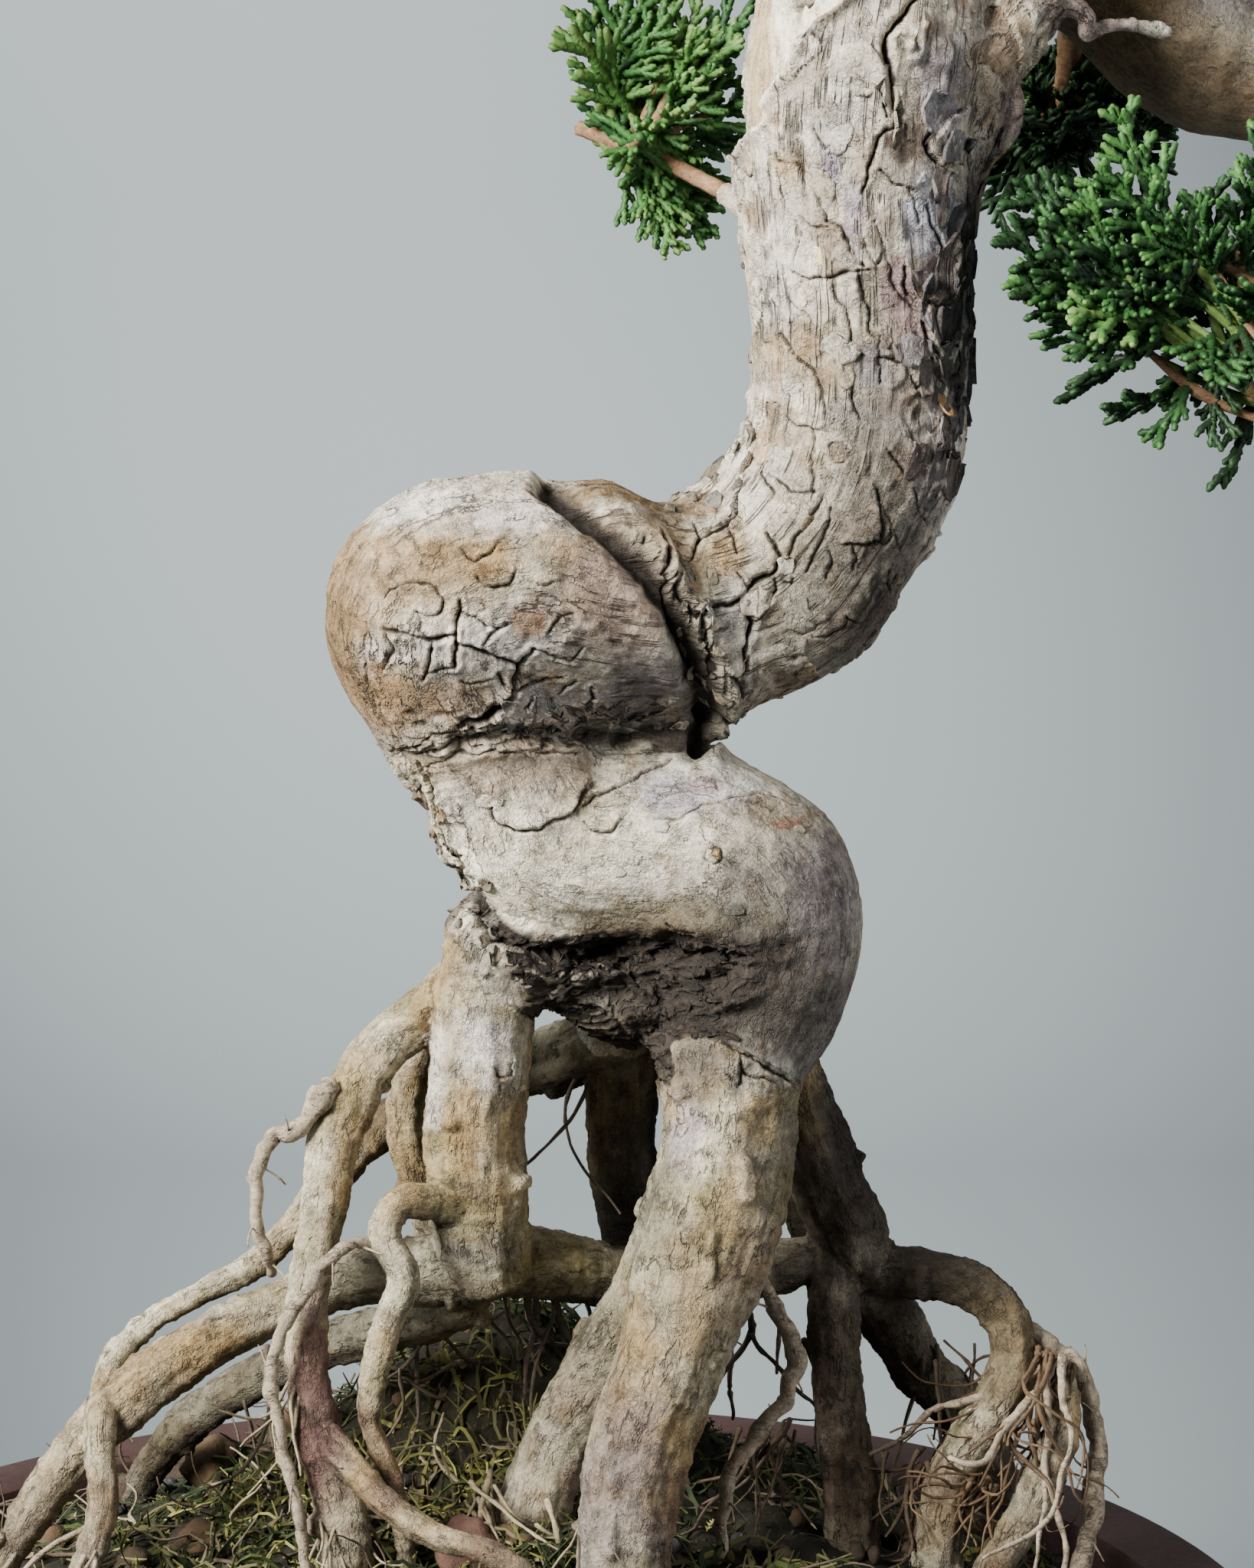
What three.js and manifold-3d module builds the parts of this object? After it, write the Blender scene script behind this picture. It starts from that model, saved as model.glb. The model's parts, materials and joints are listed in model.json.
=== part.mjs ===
// A Chinese juniper bonsai grown over its exposed roots, in a round unglazed clay pot.
// Lengths are millimetres and +Z is up. The origin is the centre of the pot's flat underside,
// and the front of the tree faces -Y. A limb is a list of stations [x, y, z, radius].
import * as THREE from "three";
import { ConvexGeometry } from "three/addons/geometries/ConvexGeometry.js";
import { mergeVertices } from "three/addons/utils/BufferGeometryUtils.js";
import Module from "manifold-3d";

const wasm = await Module();
wasm.setup();

// The gap that neighbouring pieces keep, and the smallest detail that a foliage mass keeps.
const GAP = 0.3;
const FINEST = 0.12;

const POT = {
  rimRadius: 105,
  footRadius: 82,
  height: 65,
  wall: 8,
  floor: 9,
  lipHeight: 10,
  lipProud: 4,
  edge: 1.6,
  segments: 32,
  holeRadius: 6,
  holeRing: 44,
  holes: 3,
};

// The soil lies in a low dome with a heap behind the middle of the tree.
const SOIL = {
  edgeHeight: 56,
  edgeRadius: POT.rimRadius - POT.lipProud - POT.wall - GAP,
  domeRise: 22,
  domePower: 2.5,
  tilt: 0.05,
  heap: { x: -6, y: 34, rise: 9, spread: 20 },
  rings: 8,
};

const COLOURS = {
  bark: 0xb9ad9c,
  root: 0xb8a78a,
  deadwood: 0xe2d3b6,
  foliage: 0x2c6a35,
  clay: 0x6e3d33,
  soil: 0x3b3324,
};

const TRUNK_SIDES = 11;
const BOUGH_SIDES = 8;

// The trunk climbs over its right knee, folds over its left knee and rises from its right elbow.
const TRUNK = [
  [31, -4, 140, 9.8],
  [34.5, -2, 150, 12.8],
  [34.5, 0, 161, 14.4],
  [27.5, 0, 168, 14],
  [17, -1, 169, 13.2],
  [8, -2, 170.5, 13],
  [3.5, -4, 179, 12],
  [-1, -6, 189, 13.4],
  [-4.6, -9, 200, 15.2],
  [2, -8, 203, 15],
  [14, -4, 200.5, 15.2],
  [26, 1, 200.5, 13.6],
  [36.5, 4, 204.5, 14],
  [44, 3, 212, 14],
  [48, 2, 222.5, 13.7],
  [48.6, 1, 236, 13.7],
  [48, 0, 250, 14.6],
  [48.5, 0, 265, 15.8],
  [50.5, 1, 279, 15.4],
  [50.5, 3, 291, 13.2],
  [43, 6, 304, 11.6],
  [29, 8, 320, 10],
  [20, 6, 336, 8.6],
  [22, 3, 351, 7.2],
  [30, 0, 372, 4.8],
];

// Lobes where the trunk's foot spreads into the exposed roots.
const FOOT_LOBES = [
  [
    [14, -1, 164, 9],
    [4, -3, 157, 8.4],
    [1, -4, 151, 7.2],
  ],
  [
    [26, 0, 160, 10],
    [20, 5, 151, 9.4],
    [18, 9, 145, 6.5],
  ],
  [
    [33, 0, 152, 9],
    [37, 5, 145, 7],
    [38.5, 7, 141, 6],
  ],
];

// The exposed roots, from the trunk's foot or a parent root down into the soil.
const ROOTS = {
  front_leg: [
    [32, -5, 143, 9.6],
    [32, -8, 132, 8.3],
    [29, -12, 120, 8.1],
    [25, -17, 107, 6.8],
    [20, -21, 93, 6.4],
    [18, -24, 80, 5.8],
    [18, -25, 66, 6],
  ],
  left_leg: [
    [1, -4, 154, 6.9],
    [-1, -6, 140, 6.4],
    [-1.4, -6, 130, 6.4],
    [-0.7, -5, 120, 6.5],
    [0.5, -3, 112, 5.8],
  ],
  left_arch: [
    [-1, -1, 150.5, 3.6],
    [-7.5, -4, 147.4, 3.5],
    [-12.8, -6, 143.6, 3.4],
    [-17, -9, 137.5, 3.3],
    [-19, -11, 132, 3.2],
    [-20.6, -13, 122, 2.9],
    [-22, -15, 114, 2.8],
    [-22.2, -17, 104, 2.7],
    [-21.2, -18, 96, 3.1],
    [-18.5, -19, 88, 3.3],
    [-17, -20, 78, 3.7],
    [-16, -21, 68, 3.9],
  ],
  left_runner: [
    [0, -4, 113.5, 5],
    [-9.4, -3, 113, 4.6],
    [-18.5, -3, 112, 3.8],
    [-26.4, -5, 109, 3.4],
    [-35.3, -7, 105, 3.6],
    [-43, -9, 100, 3.8],
    [-51, -11, 93, 3.3],
    [-58, -13, 84, 2.7],
    [-63, -14, 75, 2.3],
    [-66, -15, 64, 2.2],
  ],
  right_thigh: [
    [37, 5, 144, 5.8],
    [40.5, 8, 136, 5.8],
    [44, 9, 128, 5.8],
    [47, 11, 119, 5.4],
    [50, 12, 111, 5],
  ],
  back_column: [
    [18, 9, 148, 6],
    [18, 13, 140, 5],
    [18, 15, 126, 4.8],
    [19.5, 18, 115, 4.6],
    [22, 22, 104, 4.2],
    [24, 28, 92, 3.9],
    [25, 31, 78, 3.8],
  ],
  centre_bridge: [
    [1.6, -2, 114.5, 4.6],
    [10.6, 4, 112, 4.7],
    [16, 7, 110, 4.5],
    [24, 9, 108, 4.2],
    [32, 10, 109, 4],
    [40, 11, 110.5, 3.6],
    [46, 12, 111, 3.4],
  ],
  second_leg: [
    [26, -7, 121, 5.2],
    [20.7, -4, 109, 4.9],
    [14.8, -2, 99, 4.8],
    [9.8, -2, 90, 4.8],
    [6, -4, 80, 4.6],
    [5, -5, 68, 4.6],
  ],
  left_rear_strut: [
    [-1, 2, 153, 3.6],
    [-6.5, 6, 147, 3.2],
    [-10.4, 8, 136, 2.9],
    [-10.5, 8, 127, 2.8],
    [-7.3, 6, 119, 2.7],
    [-4, 3, 112, 2.6],
  ],
  long_loop: [
    [17, 10, 142, 4.3],
    [10, 17, 138, 4.5],
    [0, 20, 134.5, 4.2],
    [-8.5, 19, 131, 3.6],
    [-15, 15, 128, 2.9],
    [-21.3, 8, 122, 2.5],
    [-25.5, 4, 117.5, 2.2],
    [-31, 2, 112.5, 1.9],
    [-38, 0, 109, 1.6],
    [-44.5, -2, 105.5, 1.6],
    [-49, -5, 101, 1.9],
    [-49, -16, 94, 2],
    [-48.5, -18, 86, 2],
    [-51.5, -18, 76, 1.9],
    [-53, -18, 64, 1.8],
  ],
  low_runner: [
    [-2, 1, 108, 3.3],
    [-8, 7, 104, 3.3],
    [-14, 12, 101, 3.3],
    [-22, 16, 98, 3.3],
    [-31, 20, 93, 3.1],
    [-41, 24, 86, 2.8],
    [-48, 28, 78, 2.5],
    [-53, 31, 68, 2.3],
  ],
  right_pillar: [
    [47, 11, 113, 3.7],
    [46.6, 10, 106, 3.5],
    [46.8, 9, 98, 3.4],
    [47.8, 8, 88, 3.5],
    [49, 8, 79, 3.7],
    [49.5, 8, 66, 3.8],
  ],
  right_arch: [
    [51, 12, 110, 3.8],
    [58, 12, 109, 3.5],
    [64.6, 10, 108, 3.4],
    [69.4, 8, 104.5, 3.2],
    [70.5, 6, 99, 3],
    [68, 4, 93, 2.9],
    [64, 3, 87.5, 3],
    [61.3, 2, 81, 3.2],
    [60.4, 2, 74, 3.3],
    [60, 2, 64, 3.3],
  ],
  right_brace: [
    [51, 14, 107, 4.2],
    [55, 18, 101, 4],
    [59, 21, 94, 3.8],
    [65.5, 26, 86, 3.6],
    [70, 30, 77, 3.3],
    [73, 33, 62, 3.2],
  ],
  right_whip: [
    [70, 8, 103, 1.6],
    [73, 8.5, 101.5, 1.5],
    [76.4, 9, 99, 1.5],
    [79.5, 9, 97, 1.5],
    [81.4, 8, 92, 1.4],
    [82, 6, 85, 1.4],
    [81, 3, 77, 1.4],
    [78, 1, 66, 1.5],
    [76, 0, 56, 1.5],
  ],
  right_pale: [
    [77.5, 7.5, 97, 1.5],
    [77.2, 4, 90, 2.4],
    [74.4, 1, 84, 2.7],
    [70.4, -3, 78, 2.6],
    [65, -8, 70, 2.7],
    [62, -11, 60, 2.7],
  ],
  left_hook: [
    [-4, -10, 123.3, 2.5],
    [-10.7, -14.5, 124.4, 2.4],
    [-12.4, -16, 120.5, 2.2],
    [-9.8, -17.4, 115.7, 2.1],
    [-12, -17.6, 109.2, 2],
    [-13.6, -17.8, 102.7, 1.9],
    [-14.2, -17.8, 97, 1.7],
    [-11.8, -18, 90, 1.5],
    [-10, -18, 82, 1.4],
    [-9.5, -18, 70, 1.3],
  ],
  left_fork: [
    [-20.5, -18.5, 96, 2],
    [-16.4, -22.5, 92.4, 1.9],
    [-11.3, -25.4, 88, 1.8],
    [-5.4, -28, 84.9, 1.7],
    [1.5, -30, 83.5, 1.7],
    [8.7, -32, 78, 1.8],
    [13, -33, 68, 1.8],
  ],
  left_tendril: [
    [-19, -12, 139.5, 1.4],
    [-22.1, -13, 136, 1.25],
    [-24.5, -13, 133.3, 1.1],
    [-27, -13, 132.8, 1],
    [-28.9, -13, 127, 0.9],
    [-29.2, -13, 121.5, 0.8],
    [-27.9, -12.5, 117.4, 0.75],
    [-27.3, -9.5, 114.2, 0.7],
  ],
  front_tendril: [
    [-14, -16.5, 119.5, 0.9],
    [-17.4, -19.4, 119.6, 0.85],
    [-20.5, -20.6, 116.7, 0.9],
    [-23.6, -21.3, 112, 0.9],
    [-26.6, -21.8, 103.8, 0.85],
    [-25.8, -22.2, 98, 0.8],
    [-23.4, -23, 87.7, 0.8],
    [-22.2, -23.4, 80, 0.75],
    [-22, -23.5, 70, 0.75],
  ],
  right_tendril: [
    [34.5, -3, 116.5, 1.3],
    [37, -2.6, 110.5, 1.1],
    [39.5, -3, 105.5, 1.1],
    [41, -3.6, 101, 1.15],
    [39.8, -5, 97, 1.1],
    [36.5, -7, 93, 1],
    [32.5, -9, 88, 0.9],
    [31, -10, 80, 0.85],
    [30.6, -10.5, 70, 0.8],
  ],
  rear_left: [
    [-1, 21, 133.5, 3.6],
    [-4, 29, 127, 3.5],
    [-7, 37, 115, 3.4],
    [-10, 43, 102, 3.2],
    [-14, 48, 88, 3],
    [-18, 51, 68, 2.9],
  ],
  rear_right: [
    [20, 14, 144, 4],
    [28, 23, 141, 3.9],
    [37, 33, 131, 3.7],
    [43, 40, 117, 3.5],
    [47, 45, 102, 3.3],
    [50, 49, 86, 3.1],
    [52, 52, 64, 3],
  ],
};

// The dead spur that stands out of the stripped wood, and the living boughs.
const DEAD_SPUR = [
  [43, -4, 268, 5.4],
  [41, -6, 284, 5],
  [38.5, -8, 298, 4],
  [35, -9.5, 309, 2.8],
  [33.5, -10, 318, 1.2],
];

const BOUGHS = {
  limb_right: [
    [54, 3, 285, 11.6],
    [62, 6, 289.5, 11.4],
    [71, 11, 290, 11.8],
    [83, 18, 286, 12.5],
    [94, 23, 277.5, 13],
    [104, 23.5, 273, 11.6],
    [114, 20, 274, 9.4],
    [124, 15, 279, 7.2],
    [133, 10, 284, 5.2],
  ],
  bough_right_drop: [
    [122, 14, 276, 4.4],
    [130, 8, 268, 3.8],
    [135, 2, 254, 3.1],
    [134, -3, 241, 2.6],
    [129, -6, 232.5, 2.1],
  ],
  bough_right_shade: [
    [80, 17, 286, 4.2],
    [80, 29, 283, 3.6],
    [80, 36, 278, 3],
  ],
  bough_right_top: [
    [86, 18, 291, 4.8],
    [90, 19, 300, 4],
    [93, 20.5, 305.5, 3.4],
  ],
  bough_left_low: [
    [46, 8, 247, 3.6],
    [41, 17, 248.5, 2.6],
    [35, 22, 252.5, 2],
    [31.5, 25, 255, 1.6],
  ],
  bough_left_back: [
    [42, 9, 305, 5.4],
    [28, 20, 304.5, 4.6],
    [15, 27, 303.5, 3.9],
    [11, 29, 303.5, 3.4],
  ],
  bough_left: [
    [22, 7, 331, 6],
    [6, 5, 334, 5],
    [-8, 4, 329, 4.2],
    [-22, 3, 320.5, 3.3],
  ],
  bough_front: [
    [48, 0, 298, 5],
    [53, -12, 305, 4],
    [57, -20.5, 313, 3.3],
  ],
  bough_front_upper: [
    [24, 2, 332, 4],
    [21, -8, 336, 3.4],
    [20, -16.5, 339.5, 2.8],
  ],
  bough_left_upper: [
    [22, 3, 352, 4.2],
    [16.5, 1, 353.5, 3.6],
    [12.8, 0, 354, 3.2],
  ],
  bough_right_upper: [
    [25, 2, 355, 4.6],
    [33, 3, 355, 3.8],
    [39.5, 4, 357, 3.3],
  ],
  bough_back: [
    [22, 8, 328, 4.4],
    [28, 18, 334, 3.8],
    [31.5, 26.5, 341.5, 3.2],
  ],
};

// Each foliage mass fills an ellipsoid. Its stem starts at its bough's tip and runs inside.
const MASSES = {
  foliage_right_low: {
    centre: [94, -7, 241],
    radii: [37, 20, 26],
    stem: [
      [129, -6, 232.5, 1.9],
      [114, -7, 222, 1.7],
      [98, -8, 228, 1.5],
    ],
  },
  foliage_right_shade: {
    centre: [80, 52, 266],
    radii: [28, 19, 19],
    stem: [
      [80, 36, 278, 2.7],
      [80, 44, 271, 2],
      [79, 54, 266, 1.4],
    ],
  },
  foliage_right_top: {
    centre: [102, 26, 322],
    radii: [39, 31, 18],
    stem: [
      [93, 20.5, 305.5, 3.1],
      [96, 22, 313, 2.2],
      [102, 24, 320, 1.4],
    ],
  },
  foliage_right_tip: {
    centre: [164, 4, 295],
    radii: [34, 30, 19],
    stem: [
      [133, 10, 284, 4.4],
      [147, 7, 290, 3],
      [166, 4, 294, 1.4],
    ],
  },
  foliage_left_low: {
    centre: [24, 35, 265],
    radii: [24, 18, 23],
    stem: [
      [31.5, 25, 255, 1.5],
      [24, 29, 259, 1.4],
      [12, 33, 264, 1.2],
    ],
  },
  foliage_left_back: {
    centre: [-20, 46, 306],
    radii: [36, 26, 17],
    stem: [
      [11, 29, 303.5, 3.1],
      [-2, 35, 304, 2.2],
      [-22, 42, 306, 1.4],
    ],
  },
  foliage_left_tip: {
    centre: [-56, -6, 318],
    radii: [38, 29, 18],
    stem: [
      [-22, 3, 320.5, 3],
      [-36, -1, 319, 2.2],
      [-58, -6, 317, 1.4],
    ],
  },
  foliage_front: {
    centre: [70, -43, 324],
    radii: [35, 25, 18],
    stem: [
      [57, -20.5, 313, 3],
      [62, -30, 318, 2.2],
      [69, -42, 323, 1.4],
    ],
  },
  foliage_front_upper: {
    centre: [10, -40, 346],
    radii: [29, 23, 15],
    stem: [
      [20, -16.5, 339.5, 2.6],
      [17, -26, 342, 2],
      [11, -38, 345, 1.4],
    ],
  },
  foliage_left_upper: {
    centre: [-25, 2, 360],
    radii: [36, 27, 17],
    stem: [
      [12.8, 0, 354, 2.9],
      [-3, 0, 356, 2.2],
      [-26, 0, 358, 1.4],
    ],
  },
  foliage_right_upper: {
    centre: [78, 5, 361],
    radii: [35, 29, 17],
    stem: [
      [39.5, 4, 357, 3],
      [54, 5, 359, 2.2],
      [78, 6, 360, 1.4],
    ],
  },
  foliage_back: {
    centre: [38, 55, 351],
    radii: [37, 28, 18],
    stem: [
      [31.5, 26.5, 341.5, 2.9],
      [34, 36, 346, 2.2],
      [38, 52, 350, 1.4],
    ],
  },
  foliage_apex: {
    centre: [27, 0, 395],
    radii: [44, 37, 25],
    stem: [
      [30, 0, 372, 4],
      [29, 0, 382, 3],
      [26, 0, 396, 1.6],
    ],
  },
};

// Twigs leave the stem and end a spray's length inside the ellipsoid, which the sprays fill out.
const TWIG = {
  perMass: 14,
  radius: 1.2,
  tipRadius: 0.8,
};

const SPRAY = {
  length: 14,
  width: 0.95,
  thickness: 0.09,
  reach: 0.96,
  share: 0.62,
  sunk: 0.15,
};

// The lumpy core that a dense mass has behind its sprays, as a share of the mass's radii.
const CORE = { share: 0.62, unevenness: 0.3 };

// A seeded generator of numbers from 0 to 1, the same in every run.
function seededRandom(seed) {
  let state = seed >>> 0;
  return () => {
    state = (state + 0x6d2b79f5) >>> 0;
    let t = state;
    t = Math.imul(t ^ (t >>> 15), t | 1);
    t ^= t + Math.imul(t ^ (t >>> 7), t | 61);
    return ((t ^ (t >>> 14)) >>> 0) / 4294967296;
  };
}

function materialFor(colour, roughness) {
  return new THREE.MeshStandardMaterial({ color: colour, roughness, metalness: 0 });
}

function solidFrom(geometry) {
  const bare = geometry.index ? geometry.toNonIndexed() : geometry.clone();
  for (const name of Object.keys(bare.attributes)) {
    if (name !== "position") bare.deleteAttribute(name);
  }
  const merged = mergeVertices(bare, 1e-4);
  const mesh = new wasm.Mesh({
    numProp: 3,
    vertProperties: new Float32Array(merged.attributes.position.array),
    triVerts: new Uint32Array(merged.index.array),
  });
  return new wasm.Manifold(mesh);
}

function geometryFrom(solid) {
  const mesh = solid.getMesh();
  const geometry = new THREE.BufferGeometry();
  geometry.setAttribute("position", new THREE.BufferAttribute(mesh.vertProperties, 3));
  geometry.setIndex(new THREE.BufferAttribute(mesh.triVerts, 1));
  geometry.computeVertexNormals();
  return geometry;
}

function joined(solids) {
  return solids.reduce((whole, piece) => whole.add(piece));
}

function largestBody(solid) {
  return solid.decompose().sort((a, b) => b.volume() - a.volume())[0];
}

function vector(station) {
  return new THREE.Vector3(station[0], station[1], station[2]);
}

// Rings of points round a limb, square to its path, with `grow` added all round and at both ends.
// Each ring has two `tips`, a little behind and before it, where a length ends in a low point.
function limbRings(stations, sides, steps, grow) {
  const curve = new THREE.CatmullRomCurve3(stations.map(vector), false, "centripetal");
  const rings = [];
  const tips = [];
  let side = new THREE.Vector3(1, 0, 0);
  for (let i = 0; i <= steps; i += 1) {
    const t = i / steps;
    const tangent = curve.getTangent(t).normalize();
    side = side.clone().addScaledVector(tangent, -side.dot(tangent));
    if (side.lengthSq() < 1e-6) side = new THREE.Vector3(0, 1, 0).cross(tangent);
    side.normalize();
    const across = new THREE.Vector3().crossVectors(tangent, side);
    const place = t * (stations.length - 1);
    const low = Math.min(Math.floor(place), stations.length - 2);
    const radius =
      THREE.MathUtils.lerp(stations[low][3], stations[low + 1][3], place - low) + grow;
    const centre = curve.getPoint(t);
    if (i === 0) centre.addScaledVector(tangent, -grow);
    if (i === steps) centre.addScaledVector(tangent, grow);
    const ring = [];
    for (let k = 0; k < sides; k += 1) {
      const angle = (2 * Math.PI * k) / sides;
      ring.push(
        centre
          .clone()
          .addScaledVector(side, radius * Math.cos(angle))
          .addScaledVector(across, radius * Math.sin(angle)),
      );
    }
    rings.push(ring);
    tips.push([-1, 1].map((way) => centre.clone().addScaledVector(tangent, way * 0.2 * radius)));
  }
  return { rings, tips };
}

// A limb is joined from one convex length between each two rings, so a tight bend makes a clean crease.
function limbSolid(stations, sides, stepsPerStation, grow = 0) {
  const steps = Math.max(1, Math.round((stations.length - 1) * stepsPerStation));
  const { rings, tips } = limbRings(stations, sides, steps, grow);
  const lengths = [];
  for (let i = 0; i < steps; i += 1) {
    const points = [...rings[i], tips[i][0], ...rings[i + 1], tips[i + 1][1]];
    lengths.push(solidFrom(new ConvexGeometry(points)));
  }
  return largestBody(joined(lengths));
}

function trunkSolid(grow) {
  const lobes = FOOT_LOBES.map((lobe) => limbSolid(lobe, BOUGH_SIDES, 1, grow));
  return largestBody(joined([limbSolid(TRUNK, TRUNK_SIDES, 2, grow), ...lobes]));
}

function rootSides(stations) {
  const thickest = Math.max(...stations.map((station) => station[3]));
  if (thickest > 5) return 10;
  return thickest > 2 ? 7 : 5;
}

// The clay pot, turned from one profile, with its drainage holes.
function potSolid() {
  const lipRadius = POT.rimRadius - POT.lipProud;
  const lipFoot = POT.height - POT.lipHeight;
  const innerRim = lipRadius - POT.wall;
  const innerFoot = POT.footRadius - POT.wall;
  const outline = [
    [0, 0],
    [POT.footRadius - POT.edge, 0],
    [POT.footRadius, POT.edge],
    [POT.footRadius + 8, POT.height * 0.3],
    [lipRadius - 1, lipFoot - 1.5],
    [POT.rimRadius - POT.edge, lipFoot],
    [POT.rimRadius, lipFoot + POT.edge],
    [POT.rimRadius, POT.height - POT.edge],
    [POT.rimRadius - POT.edge, POT.height],
    [innerRim + POT.edge, POT.height],
    [innerRim, POT.height - POT.edge],
    [innerRim, SOIL.edgeHeight - 4],
    [innerFoot, POT.floor],
    [0, POT.floor],
  ];
  const profile = outline.map(([r, z]) => new THREE.Vector2(r, z));
  const turned = new THREE.LatheGeometry(profile, POT.segments);
  turned.rotateX(Math.PI / 2);
  let pot = solidFrom(turned);
  for (let i = 0; i < POT.holes; i += 1) {
    const angle = (2 * Math.PI * i) / POT.holes + Math.PI / 2;
    const hole = new THREE.CylinderGeometry(POT.holeRadius, POT.holeRadius, 3 * POT.floor, 12);
    hole.rotateX(Math.PI / 2);
    hole.translate(POT.holeRing * Math.cos(angle), POT.holeRing * Math.sin(angle), 0);
    pot = pot.subtract(solidFrom(hole));
  }
  return pot;
}

function soilHeight(x, y) {
  const share = Math.min(1, Math.hypot(x, y) / SOIL.edgeRadius);
  const { heap } = SOIL;
  const away = (x - heap.x) ** 2 + (y - heap.y) ** 2;
  return (
    SOIL.edgeHeight +
    SOIL.domeRise * (1 - share ** SOIL.domePower) +
    SOIL.tilt * y * (1 - share ** 2) +
    heap.rise * Math.exp(-away / (2 * heap.spread ** 2)) * (1 - share ** 4)
  );
}

// The soil fills the pot up to its uneven surface, raised by `lift` where it cuts the roots.
function soilSolid(lift) {
  const innerFoot = POT.footRadius - POT.wall - GAP;
  const profile = [new THREE.Vector2(0, POT.floor + GAP)];
  profile.push(new THREE.Vector2(innerFoot - 0.2, POT.floor + GAP));
  profile.push(new THREE.Vector2(SOIL.edgeRadius - 0.3, SOIL.edgeHeight - 4));
  for (let i = SOIL.rings; i >= 0; i -= 1) {
    profile.push(new THREE.Vector2((SOIL.edgeRadius * i) / SOIL.rings, POT.height));
  }
  const geometry = new THREE.LatheGeometry(profile, POT.segments);
  geometry.rotateX(Math.PI / 2);
  const place = geometry.attributes.position;
  for (let i = 0; i < place.count; i += 1) {
    if (place.getZ(i) < POT.height - 1) continue;
    place.setZ(i, soilHeight(place.getX(i), place.getY(i)) + lift);
  }
  return solidFrom(geometry);
}

function insideMass(point, mass, share) {
  const away = mass.radii.map((r, i) => (point.getComponent(i) - mass.centre[i]) / r);
  return away.reduce((sum, a) => sum + a * a, 0) < share * share;
}

function distanceToLimb(point, stations) {
  let least = Infinity;
  for (let i = 1; i < stations.length; i += 1) {
    const line = new THREE.Line3(vector(stations[i - 1]), vector(stations[i]));
    const share = line.closestPointToPointParameter(point, true);
    const away = line.at(share, new THREE.Vector3()).distanceTo(point);
    const radius = THREE.MathUtils.lerp(stations[i - 1][3], stations[i][3], share);
    least = Math.min(least, away - radius);
  }
  return least;
}

const limbs = [TRUNK, DEAD_SPUR, ...Object.values(BOUGHS)];

function clearOfLimbs(point, margin) {
  return limbs.every((stations) => distanceToLimb(point, stations) > margin);
}

// One spray of scale leaves: a three-toothed blade from `base` to `end`, turned to face `flat`.
function spraySolid(base, end, flat) {
  const outline = [
    [0, 0],
    [0.5, 0.5],
    [0.58, 0.16],
    [1, 0],
    [0.58, -0.16],
    [0.5, -0.5],
  ];
  const length = base.distanceTo(end);
  const width = SPRAY.width * length;
  const depth = SPRAY.thickness * length;
  const corners = outline.map(([u, v]) => new THREE.Vector2(u * length, -v * width));
  const blade = new THREE.ExtrudeGeometry(new THREE.Shape(corners), { depth, bevelEnabled: false });
  blade.translate(0, 0, -depth / 2);
  const along = end.clone().sub(base).normalize();
  const across = new THREE.Vector3().crossVectors(flat, along).normalize();
  const up = new THREE.Vector3().crossVectors(along, across).normalize();
  blade.applyMatrix4(new THREE.Matrix4().makeBasis(along, across, up));
  blade.translate(base.x, base.y, base.z);
  return solidFrom(blade);
}

function coreSolid(mass, random) {
  const core = new THREE.IcosahedronGeometry(1, 0);
  const bumps = new Map();
  const place = core.attributes.position;
  for (let i = 0; i < place.count; i += 1) {
    const point = new THREE.Vector3().fromBufferAttribute(place, i);
    const key = point.toArray().map((v) => v.toFixed(3)).join();
    if (!bumps.has(key)) bumps.set(key, 1 + CORE.unevenness * (random() - 0.5));
    point.multiplyScalar(bumps.get(key) * CORE.share);
    const [x, y, z] = point.toArray().map((v, k) => v * mass.radii[k] + mass.centre[k]);
    place.setXYZ(i, x, y, z);
  }
  return solidFrom(core);
}

// A mass grows twigs from its stem towards points spread over its ellipsoid, each ending in a spray.
function massSolid(mass, seed) {
  const random = seededRandom(seed);
  const centre = new THREE.Vector3(...mass.centre);
  const radii = new THREE.Vector3(...mass.radii);
  const stemCurve = new THREE.CatmullRomCurve3(mass.stem.map(vector), false, "centripetal");
  const pieces = [limbSolid(mass.stem, 5, 1), coreSolid(mass, random)];
  const turn = Math.PI * (3 - Math.sqrt(5));
  for (let i = 0; i < TWIG.perMass; i += 1) {
    const height = 1 - (2 * (i + 0.5)) / TWIG.perMass;
    const angle = turn * i + 0.6 * random();
    const ring = Math.sqrt(1 - height * height);
    const out = new THREE.Vector3(ring * Math.cos(angle), ring * Math.sin(angle), height);
    const spoke = out.clone().multiply(radii);
    const end = spoke.clone().multiplyScalar(SPRAY.reach).add(centre);
    const length = Math.min(SPRAY.length, SPRAY.share * spoke.length());
    const tip = end.clone().addScaledVector(spoke.clone().normalize(), -length);
    const start = stemCurve.getPoint(0.4 + 0.6 * random());
    const twig = [
      [...start.toArray(), TWIG.radius],
      [...tip.toArray(), TWIG.tipRadius],
    ];
    const flat = new THREE.Vector3(0.3 * (random() - 0.5), 0.3 * (random() - 0.5), 1);
    if (Math.abs(height) > 0.7) flat.set(Math.cos(angle + 1.6), Math.sin(angle + 1.6), 0.3);
    const base = tip.clone().lerp(end, -SPRAY.sunk);
    if (!clearOfLimbs(end, 3) || !clearOfLimbs(tip, 4)) continue;
    pieces.push(spraySolid(base, end, flat.normalize()));
    if (!insideMass(tip, mass, CORE.share)) pieces.push(limbSolid(twig, 3, 1));
  }
  return largestBody(joined(pieces)).simplify(FINEST);
}

const tree = new THREE.Group();
const placed = [];

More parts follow.
